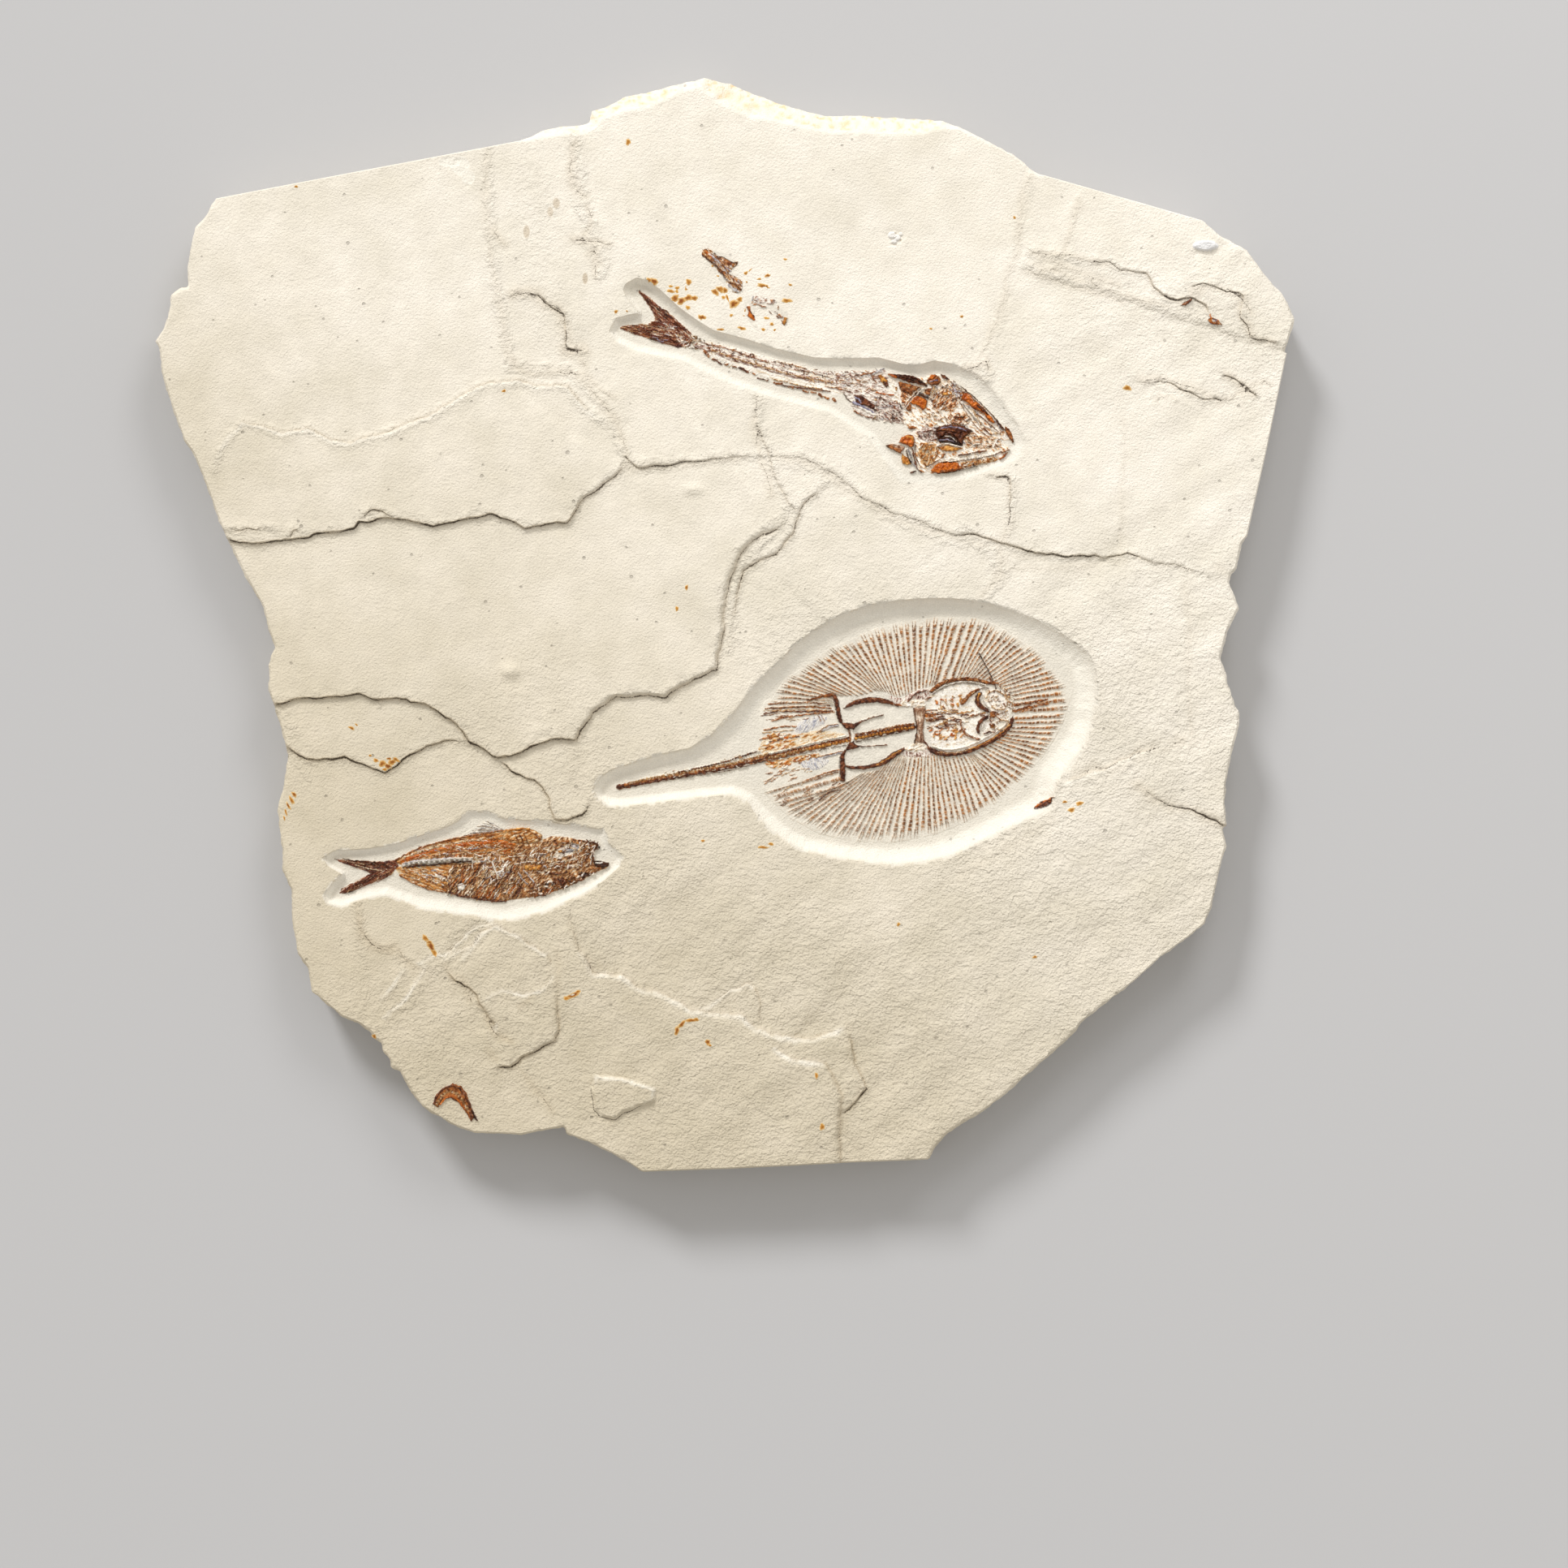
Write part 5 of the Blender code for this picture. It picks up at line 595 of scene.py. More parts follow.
# What is laid over each bed, the later over the earlier: kind, pigment, half width or width of
# the rim, height, line or outline. A weave has a palette for its pigment, and after its outline
# the fibres' degrees, length and width, and how much paler they are. Strokes stand for many small
# bars: their pigments, half width, height, outline, number, degrees, spread and length.
RAY_ITEMS = [
    ("weave", "band", 0.9, 0.4, [
        (19.1, -55.2), (25.9, -53.3), (34.1, -54.4), (39.4, -53.3), (46.1, -52.2), (56.6, -53.3),
        (59.6, -54.4), (50.6, -56.7), (39.4, -59.3), (29.6, -61.5), (19.1, -64.2), (16.1, -61.9),
    ], 17, 4, 0.8, 0.34),
    ("weave", "band", 0.9, 0.4, [
        (19.1, -68.3), (29.6, -66), (39.4, -64.2), (46.1, -63.4), (47.6, -64.9), (44.6, -66),
        (37.1, -67.5), (31.1, -69.4), (26.6, -71.7), (21.4, -70.9),
    ], 17, 4, 0.8, 0.3),
    ("weave", "steel", 0.8, 0.5, [
        (33.7, -52.2), (36.4, -48.4), (40.1, -46.2), (46.1, -44.7), (49.9, -45.4), (50.6, -48.4),
        (46.1, -50.7), (40.9, -53.3), (36.4, -54),
    ], 60, 4.5, 0.4, 0.16),
    ("weave", "steel", 0.8, 0.5, [
        (36.4, -67.5), (40.1, -66), (46.1, -65.5), (51.4, -66.4), (50.6, -69.4), (46.1, -71.7),
        (40.9, -72.4), (37.9, -70.5),
    ], 118, 4.5, 0.4, 0.16),
    ("weave", "chalk", 1, 0.2, [
        (100.8, -35), (112.6, -28.9), (126.8, -29.9), (137, -33), (140.6, -40.1), (140.1, -49.3),
        (133, -55.4), (122.8, -60.5), (109.5, -62.6), (101.3, -59.5),
    ], 10, 3, 1.4, 0.42),
    ("weave", "mess", 0.7, 0.6, [
        (79.9, -35), (86, -31.1), (92.2, -31.1), (100.3, -32), (101.3, -35), (98.8, -39.6),
        (92.7, -39.6), (86, -39.6), (81.9, -38.1),
    ], 80, 2.2, 0.8, 0.06),
    ("weave", "mess", 0.7, 0.6, [
        (86, -61.5), (93.2, -59.5), (99.3, -59), (104.4, -63.1), (101.3, -66.1), (94.2, -65.6),
        (88.1, -65.6),
    ], 100, 2.2, 0.8, 0.06),
    ("bar", "rust", 0.5, 0.6, [(51.4, -39.9), (41.6, -38.4), (29.6, -38.8), (21.4, -39.2)]),
    ("bar", "rust", 0.5, 0.6, [(52.1, -41.3), (40.9, -40.6), (29.6, -41.1), (19.9, -41.5)]),
    ("bar", "maroon", 0.55, 0.7, [
        (53, -42.6), (44.6, -42.9), (35.6, -43), (25.9, -42.7), (19.5, -44.1),
    ]),
    ("bar", "rust", 0.5, 0.6, [
        (53.6, -43.3), (44.6, -43.9), (37.1, -44.8), (29.6, -45.8), (22.9, -47.8),
    ]),
    ("bar", "tan", 0.35, 0.5, [(50.6, -42.3), (39.4, -42), (28.9, -42.3), (19.1, -42.7)]),
    ("bar", "rust", 0.5, 0.6, [(34.9, -50.3), (27.4, -50.5), (19.1, -52.2)]),
    ("bar", "tan", 0.4, 0.5, [(33.4, -52.2), (25.9, -52.8), (18.4, -53.5)]),
    ("bar", "rust", 0.45, 0.6, [(32, -54.1), (24.4, -55.2), (16.9, -56.8)]),
    ("bar", "maroon", 0.4, 0.6, [(36.4, -55.2), (29.6, -56.3), (21.4, -58.3)]),
    ("bar", "rust", 0.5, 0.6, [(56.2, -71.7), (50.6, -73), (44.6, -75.3), (39.4, -77.3)]),
    ("bar", "maroon", 0.4, 0.6, [(55.9, -72.9), (49.9, -74.5), (44.6, -76.8)]),
    ("strokes", ("rust", "tan", "maroon", "rust"), 0.3, 0.6, [
        (27.4, -82), (42.6, -75.6), (54.6, -77.2), (55.4, -86), (42.6, -92.4), (32.6, -94.8),
        (25.8, -89.2),
    ], 34, 27, 8, 5),
    ("strokes", ("rust", "tan", "rust"), 0.28, 0.5, [
        (20.6, -72.4), (36.6, -69.2), (42.6, -72.4), (26.6, -79.6), (21, -78.8),
    ], 22, 22, 8, 4),
    ("strokes", ("rust", "tan", "maroon"), 0.28, 0.5, [
        (17, -44.4), (32.6, -38.8), (48.6, -39.6), (46.6, -45.2), (26.6, -49.2), (17.8, -50.8),
    ], 24, 8, 8, 4.5),
    ("strokes", ("orange", "rust", "amber", "white"), 0.42, 0.7, [
        (19.9, -54.4), (32.6, -53.3), (37.1, -55.2), (33.4, -60.4), (20.6, -62.7),
    ], 40, 15, 30, 1.6),
    ("strokes", ("orange", "rust", "amber", "white"), 0.42, 0.7, [
        (19.9, -67.5), (32.6, -65.8), (44.6, -64.2), (43.1, -66.4), (29.6, -70.9), (21.4, -71.3),
    ], 40, 15, 30, 1.6),
    ("bar", "rust", 0.35, 0.8, [(55.5, -49.2), (50.6, -49.9), (47.6, -51.8), (45.4, -53.3)]),
    ("bar", "maroon", 0.3, 0.8, [(55.1, -50.3), (49.9, -51.4), (46.9, -53.3)]),
    ("bar", "ashy", 0.5, 0.7, [(55.7, -49.8), (51.4, -50.8), (48.7, -52.5)]),
    ("bar", "rust", 0.35, 0.8, [(58.9, -62.5), (53.6, -63.4), (48.4, -64.9), (44.6, -65.8)]),
    ("bar", "ashy", 0.5, 0.7, [(58.1, -63.4), (52.9, -64.5), (48.4, -65.8)]),
    ("bar", "rust", 0.3, 0.8, [(45.7, -44.7), (46.5, -46.2), (47.2, -47.7)]),
    ("bar", "rust", 0.3, 0.8, [(47.6, -45), (48.4, -46.5), (48.7, -47.7)]),
    ("strokes", ("maroon", "rust", "white", "tan", "maroon", "amber"), 0.4, 0.9, [
        (98.6, -42.7), (110.6, -41.7), (120.6, -42.7), (128.3, -43.7), (128.3, -44.9),
        (120.6, -46.1), (110.6, -47.1), (99.3, -46.7),
    ], 60, 6, 14, 3),
    ("strokes", ("maroon", "rust", "white", "tan"), 0.38, 0.9, [
        (99.3, -47.1), (110.6, -46.7), (121.3, -47.1), (120.6, -48.7), (110.6, -49.7),
        (99.9, -49.1),
    ], 36, 4, 14, 2.6),
    ("strokes", ("maroon", "rust", "tan"), 0.36, 0.8, [
        (99.9, -50.1), (107.9, -49.7), (115.9, -50.1), (115.3, -51.4), (106.6, -51.6),
        (100.6, -51.7),
    ], 20, 4, 20, 2),
    ("strokes", ("amber", "orange", "amber", "rust", "tan"), 0.46, 0.8, [
        (103.3, -37.7), (107.9, -36.1), (112.6, -35.4), (117.3, -34.7), (118.6, -37.1),
        (115.9, -40.4), (110.6, -41.7), (105.3, -41.7),
    ], 34, -50, 40, 1.4),
    ("strokes", ("amber", "orange", "rust", "amber"), 0.46, 0.8, [
        (101.3, -52.4), (107.9, -51.7), (117.3, -50.7), (119.3, -53.7), (117.3, -56.1),
        (110.6, -57.1), (103.9, -56.1),
    ], 32, 50, 40, 1.5),
    ("strokes", ("rust", "maroon", "orange"), 0.45, 0.9,
        [(98.5, -43.4), (103.9, -43.4), (104.3, -47.1), (98.9, -47.4)], 12, 5, 40, 1.8),
    ("plate", "rust", 0.6, 1.3, [
        (115.7, -39.6), (117.1, -37.1), (119.3, -34.6), (121.9, -32.6), (125.3, -31.3),
        (126.1, -32.4), (123.3, -34), (121.1, -35.7), (119.1, -38.3), (117.3, -40.1),
    ]),
    ("bar", "tan", 0.28, 1.4, [(117.4, -38), (119.9, -35.2), (123.3, -33.2)]),
    ("bar", "rust", 0.5, 1.2, [
        (116.3, -47.1), (116.3, -49.7), (117.1, -52.4), (119.9, -55.1), (123.3, -56.4),
        (125.9, -56.7),
    ]),
    ("bar", "white", 0.3, 1.1, [(117.3, -49.1), (117.8, -52.1), (120.3, -54.3), (123.6, -55.6)]),
    ("plate", "rust", 0.6, 1.3, [
        (100.3, -32.9), (103.9, -29.6), (107.9, -27.3), (112.6, -26.3), (118.6, -25.7),
        (123.9, -26.3), (127.9, -27.3), (133.4, -28.8), (133.4, -30.1), (127.9, -29.2),
        (123.3, -28.3), (118.6, -27.9), (113.3, -28.3), (108.6, -29.5), (104.6, -31.7),
        (101.8, -34.1),
    ]),
    ("strokes", ("maroon", "tan", "dark"), 0.3, 1.4, [
        (101.3, -32.9), (107.9, -27.9), (118.6, -26.3), (127.9, -27.9), (133.3, -29.3),
        (127.9, -28.8), (118.6, -27.3), (108.6, -29.1), (102.3, -33.5),
    ], 30, 8, 40, 1.8),
    ("bar", "white", 0.38, 1, [
        (101.9, -34.3), (107.9, -30.3), (113.9, -28.5), (119.9, -28.1), (125.3, -28.8),
        (128.9, -29.9),
    ]),
    ("bar", "dark", 0.26, 1.1, [
        (102.6, -34.5), (108.6, -30.9), (113.9, -29.3), (119.9, -28.9), (125.3, -29.7),
        (127.9, -30.4),
    ]),
    ("strokes", ("rust", "white", "tan", "maroon", "white"), 0.32, 1, [
        (133.3, -28.9), (138.6, -31.4), (141.9, -35.7), (142.6, -40.4), (141.6, -43.4),
        (139.8, -42.7), (139.4, -37.7), (137.3, -33.2), (133.3, -31.1),
    ], 64, -60, 50, 1.6),
    ("plate", "maroon", 0.8, 1.6, [
        (142.1, -45.2), (142.9, -47.1), (141.8, -50.7), (138.5, -54.5), (133.4, -58),
        (127.9, -60.7), (121.9, -63.3), (115.9, -64.8), (109.3, -65.5), (103.9, -64.7),
        (100.3, -62.5), (101.1, -60.4), (105.3, -62), (110.6, -63.1), (115.9, -62.4),
        (120.6, -61.2), (125.9, -58.7), (131.3, -56), (136.5, -52.4), (139.8, -48.9),
        (140.9, -46.3),
    ]),
    ("bar", "amber", 0.36, 1.7, [
        (140.3, -49.7), (136.7, -53.2), (130.7, -57.1), (124.7, -60.1), (119.9, -62),
    ]),
    ("bar", "tan", 0.34, 1.6, [(119.9, -62), (115.9, -63.1), (110.6, -63.7), (104.6, -63.1)]),
    ("bar", "white", 0.45, 0.9, [
        (139.3, -47.1), (138.3, -49.7), (134.6, -52.4), (129.9, -55.1), (125.3, -57.6),
        (119.9, -59.9), (113.9, -61.6), (107.9, -61.7), (102.6, -60.4),
    ]),
    ("plate", "maroon", 0.7, 1.6, [
        (127.1, -33.1), (125.3, -33.3), (123.5, -35.1), (123, -37.9), (124.1, -40.4),
        (126.6, -42.3), (129.4, -43.6), (130.7, -43.4), (130.1, -41.7), (128.1, -40.6),
        (126.2, -38.4), (125.7, -36.4), (126.6, -34.7),
    ]),
    ("bar", "amber", 0.4, 1.7, [(125.5, -34.1), (124.6, -36), (124.7, -37.4)]),
    ("bar", "white", 0.45, 1.2, [
        (127.7, -34.7), (127.4, -37.1), (128.6, -39.4), (130.3, -41.1), (131, -42.7),
    ]),
    ("plate", "maroon", 0.7, 1.6, [
        (130.2, -44.4), (127.9, -45.1), (125.8, -46.6), (124.1, -49.1), (123.7, -51.7),
        (124.6, -53.9), (126.1, -54.2), (125.5, -51.7), (126.2, -49.5), (127.7, -47.7),
        (129.9, -46.3),
    ]),
    ("bar", "white", 0.4, 1.2, [(130.2, -46.3), (128.3, -47.9), (127, -49.9), (126.7, -52.1)]),
    ("plate", "rust", 0.6, 1.5, [
        (130.6, -42.9), (133.4, -42.6), (134.4, -44.7), (132.7, -46.5), (130.6, -45.9),
    ]),
    ("bar", "maroon", 0.42, 1.3, [(130.5, -45.2), (131, -47.7), (132.3, -50.4), (133.3, -52.5)]),
    ("bar", "maroon", 0.36, 1.2, [(133.3, -45.2), (135.9, -43.7), (138.9, -42.7)]),
    ("bar", "rust", 0.36, 1.2, [(133.6, -45.1), (135.9, -46.7), (138.6, -47.6)]),
    ("plate", "rust", 0.5, 1.4, [(130.1, -48.7), (133, -49), (133.4, -51.5), (130.8, -51.2)]),
    ("bar", "maroon", 0.45, 1.2, [(127.7, -53.9), (130.6, -53.1), (132.9, -53.2)]),
    ("bar", "dark", 0.35, 1.2, [(125.8, -31.9), (127.9, -31.1), (129.9, -31.4)]),
    ("bar", "tan", 0.42, 1, [
        (128.9, -36.4), (129.9, -34.1), (132.6, -32.6), (135.3, -33.3), (137.3, -34.6),
        (139.1, -37.1), (139.3, -39.7), (137.4, -41.9), (133.9, -42), (131.6, -40.5),
    ]),
    ("bar", "tan", 0.38, 1, [
        (133.8, -48.4), (136.6, -46.9), (139.4, -47.6), (139.8, -49.7), (137.4, -51.9),
        (134.6, -51.9), (133.5, -50.1),
    ]),
    ("strokes", ("tan", "rust", "white", "maroon"), 0.3, 0.9, [
        (129.3, -32.4), (138.6, -33.7), (139.9, -42.4), (139.3, -51.7), (133.3, -53.7),
        (130.6, -47.1), (133.3, -42.4), (129.9, -39.1),
    ], 56, 70, 80, 1.4),
    ("plate", "maroon", 0.7, 1.4, [
        (57.5, -41.8), (61, -38.7), (65.6, -36.7), (70.9, -35.7), (76.1, -35.9), (80.6, -37.2),
        (85.5, -39.6), (85.7, -40.9), (80.6, -39.4), (74.6, -38.7), (69.4, -38.9), (64.1, -39.9),
        (60.2, -41.4),
    ]),
    ("bar", "rust", 0.3, 1.5, [(62.6, -38.4), (67.1, -37), (73.1, -36.4), (78.4, -37.2)]),
    ("bar", "rust", 0.6, 1, [
        (81.9, -38.9), (88.1, -40.1), (93.2, -40.1), (97.8, -38.1), (101.3, -36),
    ]),
    ("plate", "maroon", 0.7, 1.4, [
        (59.3, -69.4), (64.1, -69.9), (70.1, -69.4), (75.4, -68.1), (79.9, -65.1), (83.6, -62.5),
        (88.5, -60.4), (88.9, -62.1), (83.8, -66), (79.9, -68.8), (74.6, -70.8), (68.6, -71.8),
        (62.6, -71.6), (59.5, -70.7),
    ]),
    ("bar", "amber", 0.34, 1.5, [(74.6, -69.4), (79.1, -67), (82.9, -64.3), (86.6, -62.1)]),
    ("weave", "taupe", 1, 1.4, [
        (92.5, -41.1), (99.1, -40.3), (98.5, -45.2), (97.4, -52.4), (98.7, -58.7), (93, -58.7),
        (94.3, -52.4), (93.2, -45.2),
    ], 95, 4, 1, 0.1),
    ("bar", "dark", 0.35, 1.5, [(93, -41.3), (93.8, -46.2), (94.6, -52.4), (93.4, -58.3)]),
    ("bar", "maroon", 0.3, 1.4, [(98.9, -41.1), (98.3, -46.2), (97.5, -52.4), (98.5, -58.3)]),
    ("weave", "chalk", 0.8, 1.1, [
        (86, -38.1), (92.2, -36.8), (99.5, -36.8), (99.5, -40.9), (92.7, -41.3), (87.3, -40.3),
    ], 20, 2.2, 0.9, 0.2),
    ("weave", "chalk", 0.8, 1.1, [
        (88.3, -61.5), (93, -58.5), (99.1, -58.3), (101.1, -60.7), (96.2, -63.1), (90.6, -63.1),
    ], 20, 2.2, 0.9, 0.15),
    ("bar", "maroon", 0.5, 1.2, [(90.1, -38.1), (94.2, -34), (99.3, -32.5)]),
    ("bar", "maroon", 0.55, 1.2, [(97.8, -57.5), (99.8, -59.5), (100.3, -61.1)]),
    ("bar", "rust", 1.35, 0.7, [
        (61.7, -56.8), (50.6, -58.9), (40.9, -61.2), (29.6, -63.9), (19.1, -66.3), (13.1, -67.8),
    ]),
    ("beads", "amber", 0.8, 1.2, [(61.7, -57.4), (50.6, -59.5), (44.6, -60.9), (39.4, -61.9)]),
    ("beads", "tan", 0.75, 1.1, [(40.1, -61.6), (29.6, -64.2), (19.1, -66.6), (13.1, -68.1)]),
    ("beads", "maroon", 0.5, 1.2, [
        (61.7, -55.8), (50.6, -57.9), (40.9, -60.1), (29.6, -62.8), (19.1, -65.2),
    ]),
    ("bar", "dark", 0.28, 1, [
        (62.6, -58.9), (50.6, -61.2), (40.9, -63), (29.6, -65.4), (19.1, -67.8), (13.1, -69.1),
    ]),
    ("bar", "white", 0.3, 0.9, [
        (59.6, -54.9), (50.6, -56.8), (40.9, -58.9), (29.6, -61.8), (19.1, -64.3),
    ]),
    ("bar", "maroon", 1.6, 0.8, [
        (92.6, -50.4), (86.8, -51.1), (79.1, -52.8), (71.6, -54.3), (64.4, -55.8),
    ]),
    ("beads", "rust", 0.8, 1.3, [
        (92.6, -49.3), (86.8, -49.9), (79.1, -51.6), (71.6, -53.1), (64.4, -54.6),
    ]),
    ("beads", "amber", 0.85, 1.4, [
        (92.6, -50.8), (86.8, -51.6), (79.1, -53.3), (71.6, -54.8), (64.4, -56.4),
    ]),
    ("bar", "dark", 0.3, 1, [
        (92.6, -52.3), (86.8, -53.2), (79.1, -54.9), (71.6, -56.4), (64.4, -57.9),
    ]),
    ("strokes", ("white", "tan"), 0.24, 1.5, [
        (64.4, -54.1), (74.6, -51.8), (86.8, -49.2), (86.8, -50.3), (74.6, -52.9), (64.4, -55.3),
    ], 34, -10, 60, 1),
    ("plate", "rust", 0.5, 1.1, [
        (39.7, -37.5), (46.1, -35.1), (52.1, -33.7), (54.4, -34.3), (53.6, -35.8), (47.6, -36.3),
        (41.6, -37.9),
    ]),
    ("plate", "maroon", 0.8, 1.4, [
        (52.5, -34.9), (54.7, -34.3), (56, -37.2), (56.6, -40.2), (57.1, -43.9), (58.1, -47.7),
        (57.7, -49.2), (56, -48.3), (55.1, -45.4), (54.5, -41.7), (53.6, -37.9),
    ]),
    ("bar", "white", 0.3, 1.3, [(53, -37.2), (53.9, -40.9), (54.7, -44.7), (55.7, -47.5)]),
    ("plate", "maroon", 0.8, 1.6, [
        (56.8, -48.3), (60.4, -48.3), (63.4, -49), (66.4, -47.5), (67.5, -48.3), (64.4, -51),
        (63.2, -52.5), (60.5, -52.3), (58.1, -50.5),
    ]),
    ("bar", "maroon", 0.42, 1.1, [(66.4, -48.3), (70.1, -46.8), (74.6, -45.4), (78.1, -44.7)]),
    ("bar", "white", 0.2, 1.2, [(66.8, -47.5), (70.3, -46.2), (74.6, -44.9)]),
    ("bar", "white", 0.85, 1.1, [(62.2, -52.3), (63.1, -55.2), (62.9, -57.4), (62.3, -59.8)]),
    ("bar", "rust", 0.4, 1.2, [(61, -52.6), (61.7, -55.2), (61.6, -57.7), (60.8, -60.4)]),
    ("plate", "maroon", 0.8, 1.5, [
        (59.3, -61.5), (61, -58.8), (63.5, -57.4), (64.7, -59.5), (67.5, -60), (64.4, -61.5),
        (62, -61.9), (60.4, -62.5),
    ]),
    ("bar", "maroon", 0.34, 1, [(67.1, -60.4), (73.1, -59.9), (80, -59.5)]),
    ("plate", "maroon", 0.8, 1.4, [
        (58.9, -61.5), (60.5, -62.1), (59, -64.9), (59.2, -68.3), (59.6, -72.4), (59.3, -76.2),
        (58.9, -77.7), (56.8, -77.5), (56.6, -72.4), (56.5, -68.3), (56.8, -64.5),
    ]),
    ("bar", "white", 0.3, 1.3, [(56.3, -64.9), (56, -68.7), (56.3, -73.2), (56.2, -76.2)]),
    ("bar", "maroon", 0.45, 1, [(57, -81.5), (51.3, -83), (46.2, -86.6)]),
    ("bar", "dark", 0.4, 1.3, [(125.4, -14.4), (128.9, -20.7), (131.5, -25.8), (133, -29.1)]),
    ("bar", "rust", 0.5, 1, [(129.9, -26), (131.9, -28.1), (135, -29.3)]),
    ("bar", "rust", 0.7, 1, [(142.8, -39.9), (150.3, -38.7), (159.5, -36.8)]),
    ("bar", "rust", 0.75, 1, [(142.8, -42.8), (151.3, -40.7), (159.5, -39.1)]),
    ("bar", "maroon", 0.4, 1.1, [(143, -42.4), (150.3, -40.1)]),
    ("bar", "maroon", 1.3, 0.9, [
        (20.6, -65.2), (14.6, -66.8), (2.6, -70), (-17.4, -73.6), (-37.4, -77.2), (-52.6, -80.4),
    ]),
    ("bar", "rust", 0.85, 1, [
        (20.6, -64.4), (2.6, -69.2), (-17.4, -72.8), (-37.4, -76.4), (-49.4, -79.2),
    ]),
    ("beads", "tan", 0.8, 1.2, [
        (20.6, -64), (2.6, -68.8), (-17.4, -72.4), (-37.4, -76), (-47.4, -78.4),
    ]),
    ("beads", "maroon", 0.6, 1.2, [(-23, -72.8), (-12.6, -70.8), (0.6, -67.6), (15.4, -62.8)]),
    ("strokes", ("white", "sand", "rust"), 0.26, 1.3, [
        (20.6, -61.2), (2.6, -66), (-17.4, -70.4), (-37.4, -74), (-37.4, -77.2), (-17.4, -74.4),
        (2.6, -70.8), (20.6, -66.8),
    ], 50, 10, 30, 1.6),
    ("bar", "dark", 0.3, 1, [
        (20.6, -67.2), (2.6, -72), (-17.4, -75.2), (-37.4, -78.4), (-53.4, -80.8),
    ]),
]

# The long fish's backbone, from which its fine ribs and spines start.
BACKBONE = [
    (-14.7, 137.6), (-6, 135.7), (1.9, 131.7), (9.8, 129), (17.7, 127.4), (25.6, 125),
    (33.6, 122.6), (41.4, 121), (49.4, 120.2), (57.3, 118.6), (66, 117.1),
]

